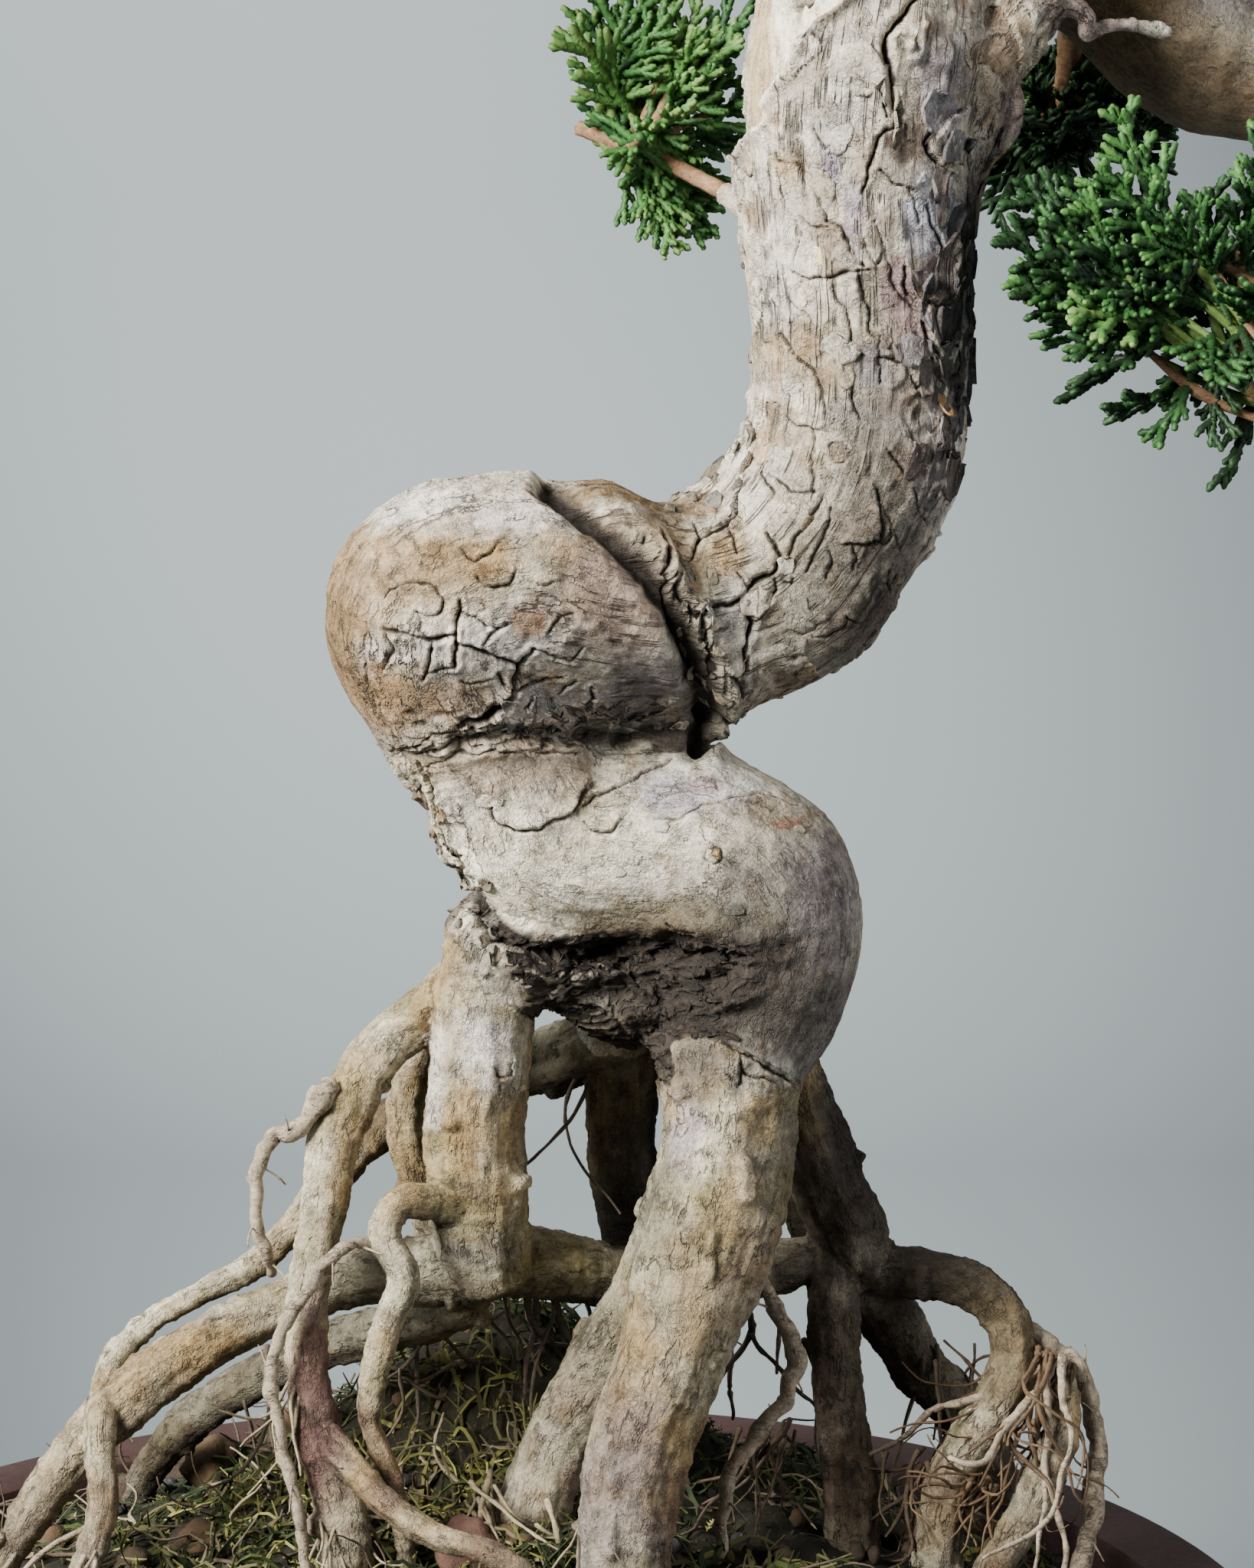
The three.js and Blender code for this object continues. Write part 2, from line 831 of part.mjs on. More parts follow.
// Adds a solid as a named mesh. `grown` is the same piece with the gap added, which cuts later neighbours.
function place(name, solid, material, grown) {
  const mesh = new THREE.Mesh(geometryFrom(solid), material);
  mesh.name = name;
  tree.add(mesh);
  if (grown) placed.push(grown);
}

function boxesMeet(a, b) {
  const first = a.boundingBox();
  const second = b.boundingBox();
  return [0, 1, 2].every((i) => first.min[i] < second.max[i] && second.min[i] < first.max[i]);
}

function cutClear(solid) {
  let left = solid;
  for (const neighbour of placed) {
    if (boxesMeet(left, neighbour)) left = left.subtract(neighbour);
  }
  return largestBody(left);
}

const bark = materialFor(COLOURS.bark, 0.85);
const rootSkin = materialFor(COLOURS.root, 0.8);
const deadwood = materialFor(COLOURS.deadwood, 0.7);
const needles = materialFor(COLOURS.foliage, 0.65);

place("pot", potSolid(), materialFor(COLOURS.clay, 0.75));
place("soil", soilSolid(0), materialFor(COLOURS.soil, 0.95), soilSolid(GAP));
place("trunk", trunkSolid(0), bark, trunkSolid(GAP));

for (const [name, stations] of Object.entries(ROOTS)) {
  const sides = rootSides(stations);
  const root = cutClear(limbSolid(stations, sides, 1));
  place(`root_${name}`, root, rootSkin, limbSolid(stations, sides, 1, GAP));
}

const spur = cutClear(limbSolid(DEAD_SPUR, BOUGH_SIDES, 1));
place("dead_spur", spur, deadwood, limbSolid(DEAD_SPUR, BOUGH_SIDES, 1, GAP));

for (const [name, stations] of Object.entries(BOUGHS)) {
  const bough = cutClear(limbSolid(stations, BOUGH_SIDES, 1));
  place(name, bough, bark, limbSolid(stations, BOUGH_SIDES, 1, GAP));
}

Object.entries(MASSES).forEach(([name, mass], i) => {
  place(name, cutClear(massSolid(mass, 101 + i)), needles);
});

export default tree;
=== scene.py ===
"""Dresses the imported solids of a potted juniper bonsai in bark, roots, foliage, moss and clay.

Every length in this script is in millimetres, as in the solids' own source, and MM turns it into metres.
A limb is a row of stations (x, y, z, radius), and the front of the tree faces -Y.
"""

import json
import logging
import math
from dataclasses import dataclass, field
from enum import Enum
from typing import Any, Sequence

import bpy
import numpy as np
from mathutils import Euler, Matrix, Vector
from mathutils.bvhtree import BVHTree

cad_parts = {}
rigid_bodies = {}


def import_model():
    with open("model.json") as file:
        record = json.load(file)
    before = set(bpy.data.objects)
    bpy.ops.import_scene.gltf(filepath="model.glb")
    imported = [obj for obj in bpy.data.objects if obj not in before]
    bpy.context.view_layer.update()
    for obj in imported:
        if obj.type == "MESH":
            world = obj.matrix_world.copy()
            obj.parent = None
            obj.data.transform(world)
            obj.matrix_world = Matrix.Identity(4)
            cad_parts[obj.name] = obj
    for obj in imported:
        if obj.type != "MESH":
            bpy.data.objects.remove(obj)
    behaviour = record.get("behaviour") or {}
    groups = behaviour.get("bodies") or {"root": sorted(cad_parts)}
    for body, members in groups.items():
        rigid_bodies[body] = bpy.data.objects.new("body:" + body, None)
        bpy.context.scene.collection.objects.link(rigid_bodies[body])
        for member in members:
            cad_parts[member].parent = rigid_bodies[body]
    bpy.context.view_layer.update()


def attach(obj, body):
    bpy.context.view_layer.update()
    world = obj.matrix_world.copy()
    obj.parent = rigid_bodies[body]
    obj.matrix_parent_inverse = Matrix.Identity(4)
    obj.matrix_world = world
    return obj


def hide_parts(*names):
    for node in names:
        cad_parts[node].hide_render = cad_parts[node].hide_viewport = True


LOG = logging.getLogger("bonsai")
MM = 0.001
Station = tuple[float, float, float, float]
Stations = tuple[Station, ...]

TRUNK: Stations = (
    (31, -4, 140, 9.8), (34.5, -2, 150, 12.8), (34.5, 0, 161, 14.4), (27.5, 0, 168, 14),
    (17, -1, 169, 13.2), (8, -2, 170.5, 13), (3.5, -4, 179, 12), (-1, -6, 189, 13.4),
    (-4.6, -9, 200, 15.2), (2, -8, 203, 15), (14, -4, 200.5, 15.2), (26, 1, 200.5, 13.6),
    (36.5, 4, 204.5, 14), (44, 3, 212, 14), (48, 2, 222.5, 13.7), (48.6, 1, 236, 13.7),
    (48, 0, 250, 14.6), (48.5, 0, 265, 15.8), (50.5, 1, 279, 15.4), (50.5, 3, 291, 13.2),
    (43, 6, 304, 11.6), (29, 8, 320, 10), (20, 6, 336, 8.6), (22, 3, 351, 7.2), (30, 0, 372, 4.8),
)

FOOT_LOBES: tuple[Stations, ...] = (
    ((14, -1, 164, 9), (4, -3, 157, 8.4), (1, -4, 151, 7.2)),
    ((26, 0, 160, 10), (20, 5, 151, 9.4), (18, 9, 145, 6.5)),
    ((33, 0, 152, 9), (37, 5, 145, 7), (38.5, 7, 141, 6)),
)

STOUT_ROOTS: dict[str, Stations] = {
    "front_leg": (
        (32, -5, 143, 9.6), (32, -8, 132, 8.3), (29, -12, 120, 8.1), (25, -17, 107, 6.8),
        (20, -21, 93, 6.4), (18, -24, 80, 5.8), (18, -25, 66, 6),
    ),
    "left_leg": (
        (1, -4, 154, 6.9), (-1, -6, 140, 6.4), (-1.4, -6, 130, 6.4), (-0.7, -5, 120, 6.5),
        (0.5, -3, 112, 5.8),
    ),
    "left_arch": (
        (-1, -1, 150.5, 3.6), (-7.5, -4, 147.4, 3.5), (-12.8, -6, 143.6, 3.4), (-17, -9, 137.5, 3.3),
        (-19, -11, 132, 3.2), (-20.6, -13, 122, 2.9), (-22, -15, 114, 2.8), (-22.2, -17, 104, 2.7),
        (-21.2, -18, 96, 3.1), (-18.5, -19, 88, 3.3), (-17, -20, 78, 3.7), (-16, -21, 68, 3.9),
    ),
    "left_runner": (
        (0, -4, 113.5, 5), (-9.4, -3, 113, 4.6), (-18.5, -3, 112, 3.8), (-26.4, -5, 109, 3.4),
        (-35.3, -7, 105, 3.6), (-43, -9, 100, 3.8), (-51, -11, 93, 3.3), (-58, -13, 84, 2.7),
        (-63, -14, 75, 2.3), (-66, -15, 64, 2.2),
    ),
    "right_thigh": (
        (37, 5, 144, 5.8), (40.5, 8, 136, 5.8), (44, 9, 128, 5.8), (47, 11, 119, 5.4), (50, 12, 111, 5),
    ),
    "back_column": (
        (18, 9, 148, 6), (18, 13, 140, 5), (18, 15, 126, 4.8), (19.5, 18, 115, 4.6),
        (22, 22, 104, 4.2), (24, 28, 92, 3.9), (25, 31, 78, 3.8),
    ),
    "centre_bridge": (
        (1.6, -2, 114.5, 4.6), (10.6, 4, 112, 4.7), (16, 7, 110, 4.5), (24, 9, 108, 4.2),
        (32, 10, 109, 4), (40, 11, 110.5, 3.6), (46, 12, 111, 3.4),
    ),
    "second_leg": (
        (26, -7, 121, 5.2), (20.7, -4, 109, 4.9), (14.8, -2, 99, 4.8), (9.8, -2, 90, 4.8),
        (6, -4, 80, 4.6), (5, -5, 68, 4.6),
    ),
    "left_rear_strut": (
        (-1, 2, 153, 3.6), (-6.5, 6, 147, 3.2), (-10.4, 8, 136, 2.9), (-10.5, 8, 127, 2.8),
        (-7.3, 6, 119, 2.7), (-4, 3, 112, 2.6),
    ),
    "long_loop": (
        (17, 10, 142, 4.3), (10, 17, 138, 4.5), (0, 20, 134.5, 4.2), (-8.5, 19, 131, 3.6),
        (-15, 15, 128, 2.9), (-21.3, 8, 122, 2.5), (-25.5, 4, 117.5, 2.2), (-31, 2, 112.5, 1.9),
        (-38, 0, 109, 1.6), (-44.5, -2, 105.5, 1.6), (-49, -5, 101, 1.9), (-49, -16, 94, 2),
        (-48.5, -18, 86, 2), (-51.5, -18, 76, 1.9), (-53, -18, 64, 1.8),
    ),
    "low_runner": (
        (-2, 1, 108, 3.3), (-8, 7, 104, 3.3), (-14, 12, 101, 3.3), (-22, 16, 98, 3.3),
        (-31, 20, 93, 3.1), (-41, 24, 86, 2.8), (-48, 28, 78, 2.5), (-53, 31, 68, 2.3),
    ),
    "right_pillar": (
        (47, 11, 113, 3.7), (46.6, 10, 106, 3.5), (46.8, 9, 98, 3.4), (47.8, 8, 88, 3.5),
        (49, 8, 79, 3.7), (49.5, 8, 66, 3.8),
    ),
    "right_arch": (
        (51, 12, 110, 3.8), (58, 12, 109, 3.5), (64.6, 10, 108, 3.4), (69.4, 8, 104.5, 3.2),
        (70.5, 6, 99, 3), (68, 4, 93, 2.9), (64, 3, 87.5, 3), (61.3, 2, 81, 3.2), (60.4, 2, 74, 3.3),
        (60, 2, 64, 3.3),
    ),
    "right_brace": (
        (51, 14, 107, 4.2), (55, 18, 101, 4), (59, 21, 94, 3.8), (65.5, 26, 86, 3.6),
        (70, 30, 77, 3.3), (73, 33, 62, 3.2),
    ),
    "right_pale": (
        (77.5, 7.5, 97, 1.5), (77.2, 4, 90, 2.4), (74.4, 1, 84, 2.7), (70.4, -3, 78, 2.6),
        (65, -8, 70, 2.7), (62, -11, 60, 2.7),
    ),
    "left_hook": (
        (-4, -10, 123.3, 2.5), (-10.7, -14.5, 124.4, 2.4), (-12.4, -16, 120.5, 2.2),
        (-9.8, -17.4, 115.7, 2.1), (-12, -17.6, 109.2, 2), (-13.6, -17.8, 102.7, 1.9),
        (-14.2, -17.8, 97, 1.7), (-11.8, -18, 90, 1.5), (-10, -18, 82, 1.4), (-9.5, -18, 70, 1.3),
    ),
    "left_fork": (
        (-20.5, -18.5, 96, 2), (-16.4, -22.5, 92.4, 1.9), (-11.3, -25.4, 88, 1.8),
        (-5.4, -28, 84.9, 1.7), (1.5, -30, 83.5, 1.7), (8.7, -32, 78, 1.8), (13, -33, 68, 1.8),
    ),
    "rear_left": (
        (-1, 21, 133.5, 3.6), (-4, 29, 127, 3.5), (-7, 37, 115, 3.4), (-10, 43, 102, 3.2),
        (-14, 48, 88, 3), (-18, 51, 68, 2.9),
    ),
    "rear_right": (
        (20, 14, 144, 4), (28, 23, 141, 3.9), (37, 33, 131, 3.7), (43, 40, 117, 3.5),
        (47, 45, 102, 3.3), (50, 49, 86, 3.1), (52, 52, 64, 3),
    ),
}

THIN_ROOTS: dict[str, Stations] = {
    "right_whip": (
        (70, 8, 103, 1.6), (73, 8.5, 101.5, 1.5), (76.4, 9, 99, 1.5), (79.5, 9, 97, 1.5),
        (81.4, 8, 92, 1.4), (82, 6, 85, 1.4), (81, 3, 77, 1.4), (78, 1, 66, 1.5), (76, 0, 56, 1.5),
    ),
    "left_tendril": (
        (-19, -12, 139.5, 1.4), (-22.1, -13, 136, 1.25), (-24.5, -13, 133.3, 1.1), (-27, -13, 132.8, 1),
        (-28.9, -13, 127, 0.9), (-29.2, -13, 121.5, 0.8), (-27.9, -12.5, 117.4, 0.75),
        (-27.3, -9.5, 114.2, 0.7),
    ),
    "front_tendril": (
        (-14, -16.5, 119.5, 0.9), (-17.4, -19.4, 119.6, 0.85), (-20.5, -20.6, 116.7, 0.9),
        (-23.6, -21.3, 112, 0.9), (-26.6, -21.8, 103.8, 0.85), (-25.8, -22.2, 98, 0.8),
        (-23.4, -23, 87.7, 0.8), (-22.2, -23.4, 80, 0.75), (-22, -23.5, 70, 0.75),
    ),
    "right_tendril": (
        (34.5, -3, 116.5, 1.3), (37, -2.6, 110.5, 1.1), (39.5, -3, 105.5, 1.1), (41, -3.6, 101, 1.15),
        (39.8, -5, 97, 1.1), (36.5, -7, 93, 1), (32.5, -9, 88, 0.9), (31, -10, 80, 0.85),
        (30.6, -10.5, 70, 0.8),
    ),
}

DEAD_SPUR: Stations = (
    (43, -4, 268, 5.4), (41, -6, 284, 5), (38.5, -8, 298, 4), (35, -9.5, 309, 2.8), (33.5, -10, 318, 1.2),
)

BOUGHS: dict[str, Stations] = {
    "limb_right": (
        (54, 3, 285, 11.6), (62, 6, 289.5, 11.4), (71, 11, 290, 11.8), (83, 18, 286, 12.5),
        (94, 23, 277.5, 13), (104, 23.5, 273, 11.6), (114, 20, 274, 9.4), (124, 15, 279, 7.2),
        (133, 10, 284, 5.2),
    ),
    "bough_right_drop": (
        (122, 14, 276, 4.4), (130, 8, 268, 3.8), (135, 2, 254, 3.1), (134, -3, 241, 2.6),
        (129, -6, 232.5, 2.1),
    ),
    "bough_right_shade": ((80, 17, 286, 4.2), (80, 29, 283, 3.6), (80, 36, 278, 3)),
    "bough_right_top": ((86, 18, 291, 4.8), (90, 19, 300, 4), (93, 20.5, 305.5, 3.4)),
    "bough_left_low": ((46, 8, 247, 3.6), (41, 17, 248.5, 2.6), (35, 22, 252.5, 2), (31.5, 25, 255, 1.6)),
    "bough_left_back": (
        (42, 9, 305, 5.4), (28, 20, 304.5, 4.6), (15, 27, 303.5, 3.9), (11, 29, 303.5, 3.4),
    ),
    "bough_left": ((22, 7, 331, 6), (6, 5, 334, 5), (-8, 4, 329, 4.2), (-22, 3, 320.5, 3.3)),
    "bough_front": ((48, 0, 298, 5), (53, -12, 305, 4), (57, -20.5, 313, 3.3)),
    "bough_front_upper": ((24, 2, 332, 4), (21, -8, 336, 3.4), (20, -16.5, 339.5, 2.8)),
    "bough_left_upper": ((22, 3, 352, 4.2), (16.5, 1, 353.5, 3.6), (12.8, 0, 354, 3.2)),
    "bough_right_upper": ((25, 2, 355, 4.6), (33, 3, 355, 3.8), (39.5, 4, 357, 3.3)),
    "bough_back": ((22, 8, 328, 4.4), (28, 18, 334, 3.8), (31.5, 26.5, 341.5, 3.2)),
}


def seeded_random(seed: int) -> np.random.Generator:
    """Returns a generator of random numbers that is the same in every run."""
    return np.random.default_rng(seed)


class StepRandom:
    """The solids' own generator of numbers from 0 to 1, so that twigs start where theirs do."""

    def __init__(self, seed: int) -> None:
        """Starts the row of numbers.

        Args:
            seed: the number that the row is drawn from.
        """
        self.state = seed & 0xFFFFFFFF

    def __call__(self) -> float:
        """Returns the next number."""
        self.state = (self.state + 0x6D2B79F5) & 0xFFFFFFFF
        t = self.state
        t = ((t ^ (t >> 15)) * (t | 1)) & 0xFFFFFFFF
        t ^= (t + (((t ^ (t >> 7)) * (t | 61)) & 0xFFFFFFFF)) & 0xFFFFFFFF
        return ((t ^ (t >> 14)) & 0xFFFFFFFF) / 4294967296


# Patterns in space


def lattice(cells: np.ndarray, seed: int) -> np.ndarray:
    """Gives each cell of a grid its own number.

    Args:
        cells: whole-number grid places, in rows of three.
        seed: picks one of many patterns.

    Returns:
        A number from 0 to 1 for each row.
    """
    c = cells.astype(np.int64).astype(np.uint32)
    h = c[..., 0] * np.uint32(374761393) + c[..., 1] * np.uint32(668265263)
    h = h + c[..., 2] * np.uint32(2246822519) + np.uint32((seed * 3266489917) & 0xFFFFFFFF)
    h = (h ^ (h >> np.uint32(13))) * np.uint32(1274126177)
    h = (h ^ (h >> np.uint32(16))) * np.uint32(2246822519)
    h = h ^ (h >> np.uint32(15))
    return (h >> np.uint32(8)).astype(np.float32) / np.float32(16777216)


def soft_noise(places: np.ndarray, seed: int) -> np.ndarray:
    """Returns smooth noise from -1 to 1 at each place, with lumps about one unit across."""
    low = np.floor(places)
    part = (places - low).astype(np.float32)
    part = part * part * (3 - 2 * part)
    weights = [(1 - part[:, k], part[:, k]) for k in range(3)]
    turns = (374761393, 668265263, 2246822519)
    cells = low.astype(np.int64).astype(np.uint32)
    spun = []
    for k, turn in enumerate(turns):
        first = cells[:, k] * np.uint32(turn)
        spun.append((first, first + np.uint32(turn)))
    start = np.uint32((seed * 3266489917) & 0xFFFFFFFF)
    total = np.zeros(len(places), np.float32)
    for corner in range(8):
        i, j, k = corner & 1, (corner >> 1) & 1, corner >> 2
        mixed = spun[0][i] + spun[1][j] + spun[2][k] + start
        mixed ^= mixed >> np.uint32(15)
        mixed *= np.uint32(1274126177)
        mixed ^= mixed >> np.uint32(16)
        mixed *= np.uint32(2246822519)
        mixed ^= mixed >> np.uint32(13)
        total += weights[0][i] * weights[1][j] * weights[2][k] * (mixed >> np.uint32(8)).astype(np.float32)
    return total * np.float32(2 / 16777216) - 1


def layered_noise(places: np.ndarray, seed: int, layers: int = 3) -> np.ndarray:
    """Returns noise with finer and fainter layers added to it, from about -1 to 1."""
    total = np.zeros(len(places), np.float32)
    for layer in range(layers):
        total += soft_noise(places * 2.0**layer, seed + 17 * layer) * 0.5**layer
    return total / 1.4


def plates(places: np.ndarray, seed: int) -> tuple[np.ndarray, np.ndarray]:
    """Splits space into cells one unit across.

    Args:
        places: rows of three coordinates.
        seed: picks the pattern.

    Returns:
        How near each place is to its cell's edge, 0 on the edge, and a number of its cell from 0 to 1.
    """
    low = np.floor(places)
    nearest = np.full(len(places), 9.0, np.float32)
    second = nearest.copy()
    label = np.zeros(len(places), np.float32)
    for index in range(27):
        step = np.array([index % 3, index // 3 % 3, index // 9]) - 1
        cell = low + step
        seat = np.stack([lattice(cell, seed + k) for k in (1, 2, 3)], axis=1)
        away = np.linalg.norm(cell + 0.15 + 0.7 * seat - places, axis=1).astype(np.float32)
        closer = away < nearest
        second = np.where(closer, nearest, np.minimum(second, away))
        label = np.where(closer, seat[:, 0], label)
        nearest = np.minimum(nearest, away)
    return second - nearest, label


def ease(low: float, high: float, value: np.ndarray) -> np.ndarray:
    """Returns a smooth step from 0 at low to 1 at high."""
    t = np.clip((value - low) / (high - low), 0, 1)
    return t * t * (3 - 2 * t)


def blend(first: np.ndarray, second: Sequence[float] | np.ndarray, share: np.ndarray) -> np.ndarray:
    """Returns colours mixed row by row, with share of the second."""
    return first * (1 - share[:, None]) + np.asarray(second) * share[:, None]


def unit(rows: np.ndarray) -> np.ndarray:
    """Returns rows scaled to a length of one."""
    return rows / np.maximum(np.linalg.norm(rows, axis=-1, keepdims=True), 1e-9)


def near_line(
    places: np.ndarray, normals: np.ndarray, line: Sequence[Sequence[float]], reach: float
) -> tuple[np.ndarray, np.ndarray, np.ndarray]:
    """Measures the places of a surface round a line, as if the line lay on the surface.

    Args:
        places: rows of three coordinates.
        normals: the surface's direction at each.
        line: the line's points.
        reach: how far round the line's box to look.

    Returns:
        The found rows' numbers, their distances, and vectors that turn from the line's way to them.
    """
    deepest = 4.5
    rows = np.array(line, np.float32)
    box = reach + deepest * 0.5
    inside = np.all((places > rows.min(0) - box) & (places < rows.max(0) + box), axis=1)
    index = np.flatnonzero(inside)
    own, facing = places[index], normals[index]
    least = np.full(len(own), 1e3, np.float32)
    turned = np.zeros((len(own), 3), np.float32)
    for start, end in zip(rows, rows[1:]):
        step = end - start
        share = np.clip(((own - start) @ step) / max(float(step @ step), 1e-9), 0, 1)
        off = own - start - share[:, None] * step
        deep = (off * facing).sum(1)
        away = np.linalg.norm(off - facing * deep[:, None], axis=1) + 20 * (np.abs(deep) > deepest)
        closer = away < least
        least = np.where(closer, away, least)
        turned = np.where(closer[:, None], np.cross(off, step), turned)
    return index, least, turned


# Limbs and tubes


@dataclass
class Path:
    """A limb's middle line, sampled along its length."""

    points: np.ndarray
    radii: np.ndarray
    along: np.ndarray = field(init=False)
    side: np.ndarray = field(init=False)
    across: np.ndarray = field(init=False)
    run: np.ndarray = field(init=False)

    def __post_init__(self) -> None:
        """Works out the directions and the distance run at each sample."""
        self.along = unit(np.gradient(self.points, axis=0))
        side = np.array([1.0, 0.0, 0.0])
        if abs(self.along[0, 0]) > 0.9:
            side = np.array([0.0, 1.0, 0.0])
        sides = []
        for tangent in self.along:
            side = side - tangent * side.dot(tangent)
            side = side / max(np.linalg.norm(side), 1e-9)
            sides.append(side)
        self.side = np.array(sides)
        self.across = np.cross(self.along, self.side)
        steps = np.linalg.norm(np.diff(self.points, axis=0), axis=1)
        self.run = np.concatenate([[0.0], np.cumsum(steps)])


def spline(stations: Sequence[Sequence[float]], counted: np.ndarray) -> np.ndarray:
    """Follows a centripetal spline through stations, as the solids' source does.

    Args:
        stations: rows whose first three numbers are a place.
        counted: places along it, where a whole number is a station.

    Returns:
        One row of interpolated numbers for each place.
    """
    rows = np.asarray(stations, float)
    rows = np.vstack([2 * rows[0] - rows[1], rows, 2 * rows[-1] - rows[-2]])
    index = np.clip(np.floor(counted).astype(int), 0, len(stations) - 2)
    t = (counted - index)[:, None]
    p0, p1, p2, p3 = (rows[index + k] for k in range(4))
    gaps = [np.linalg.norm((b - a)[:, :3], axis=1)[:, None] ** 0.5 for a, b in ((p0, p1), (p1, p2), (p2, p3))]
    d0, d1, d2 = (np.maximum(gap, 1e-3) for gap in gaps)
    start = ((p1 - p0) / d0 - (p2 - p0) / (d0 + d1) + (p2 - p1) / d1) * d1
    end = ((p2 - p1) / d1 - (p3 - p1) / (d1 + d2) + (p3 - p2) / d2) * d1
    return (
        p1
        + start * t
        + (-3 * p1 + 3 * p2 - 2 * start - end) * t**2
        + (2 * p1 - 2 * p2 + start + end) * t**3
    )


def path_of(stations: Sequence[Sequence[float]], step: float) -> Path:
    """Samples a limb.

    Args:
        stations: its stations.
        step: the distance between samples.

    Returns:
        The limb's path.
    """
    places = np.asarray(stations, float)[:, :3]
    length = np.linalg.norm(np.diff(places, axis=0), axis=1).sum()
    count = max(3, int(length / step) + 1)
    rows = spline(stations, np.linspace(0, len(stations) - 1, count))
    return Path(rows[:, :3], np.maximum(rows[:, 3], 0.05))


class Sheaf:
    """Gathers many small closed shapes into one mesh of triangles."""

    def __init__(self) -> None:
        """Starts with nothing."""
        self.points: list[np.ndarray] = []
        self.triangles: list[np.ndarray] = []
        self.slots: list[np.ndarray] = []
        self.count = 0

    def add(self, points: np.ndarray, triangles: np.ndarray, slot: int | np.ndarray = 0) -> None:
        """Adds a shape.

        Args:
            points: its corners in millimetres.
            triangles: rows of three corner numbers.
            slot: the material slot of the shape, or of each triangle.
        """
        self.points.append(points)
        self.triangles.append(triangles + self.count)
        self.slots.append(np.broadcast_to(np.asarray(slot), (len(triangles),)))
        self.count += len(points)

    def faces(self) -> int:
        """Returns how many triangles there are so far."""
        return sum(len(rows) for rows in self.triangles)

    def tube(self, path: Path, sides: int, slot: int = 0) -> None:
        """Adds a tube with round ends.

        Args:
            path: its middle line and radii.
            sides: how many sides it has.
            slot: its material slot.
        """
        points, triangles = tube_shape(path, sides)
        self.add(points, triangles, slot)

    def made(
        self, name: str, materials: Sequence[bpy.types.Material], smooth: bool = True
    ) -> bpy.types.Object:
        """Makes the mesh and its object.

        Args:
            name: the piece's name.
            materials: its material slots.
            smooth: whether its faces are shaded smooth.

        Returns:
            The new object, at the origin.
        """
        mesh = bpy.data.meshes.new(name)
        fill_mesh(mesh, np.concatenate(self.points) * MM, np.concatenate(self.triangles))
        mesh.polygons.foreach_set("material_index", np.concatenate(self.slots).astype(np.int32))
        mesh.polygons.foreach_set("use_smooth", np.full(len(mesh.polygons), smooth))
        for material in materials:
            mesh.materials.append(material)
        piece = bpy.data.objects.new(name, mesh)
        bpy.context.scene.collection.objects.link(piece)
        return piece


def fill_mesh(mesh: bpy.types.Mesh, points: np.ndarray, triangles: np.ndarray) -> None:
    """Fills an empty mesh with triangles.

    Args:
        mesh: the mesh.
        points: corners in metres.
        triangles: rows of three corner numbers.
    """
    mesh.vertices.add(len(points))
    mesh.vertices.foreach_set("co", points.astype(np.float32).ravel())
    mesh.loops.add(triangles.size)
    mesh.loops.foreach_set("vertex_index", triangles.astype(np.int32).ravel())
    mesh.polygons.add(len(triangles))
    mesh.polygons.foreach_set("loop_start", np.arange(0, triangles.size, 3, dtype=np.int32))
    mesh.update(calc_edges=True)


def tube_shape(path: Path, sides: int, twist: float = 0.0) -> tuple[np.ndarray, np.ndarray]:
    """Works out a closed tube.

    Args:
        path: its middle line and radii.
        sides: how many sides it has.
        twist: how far each ring turns on from the last, in radians.

    Returns:
        Its corners and its triangles.
    """
    rings = len(path.points)
    turn = np.linspace(0, 2 * np.pi, sides, endpoint=False)[None, :] + twist * np.arange(rings)[:, None]
    out = path.side[:, None] * np.cos(turn)[..., None] + path.across[:, None] * np.sin(turn)[..., None]
    body = path.points[:, None] + out * path.radii[:, None, None]
    first = path.points[0] - path.along[0] * path.radii[0] * 0.6
    last = path.points[-1] + path.along[-1] * path.radii[-1] * 0.6
    points = np.vstack([body.reshape(-1, 3), first, last])
    ring = np.arange(rings - 1)[:, None] * sides
    k = np.arange(sides)[None, :]
    k2 = (k + 1) % sides
    a, b, c, d = (x.ravel() for x in (ring + k, ring + k2, ring + sides + k2, ring + sides + k))
    low, high = rings * sides, rings * sides + 1
    last_ring = (rings - 1) * sides
    k, k2 = k.ravel(), k2.ravel()
    caps = np.vstack([
        np.stack([k2, k, np.full(sides, low)], 1),
        np.stack([last_ring + k, last_ring + k2, np.full(sides, high)], 1),
    ])
    return points, np.vstack([np.stack([a, b, c], 1), np.stack([a, c, d], 1), caps])


# Shader building


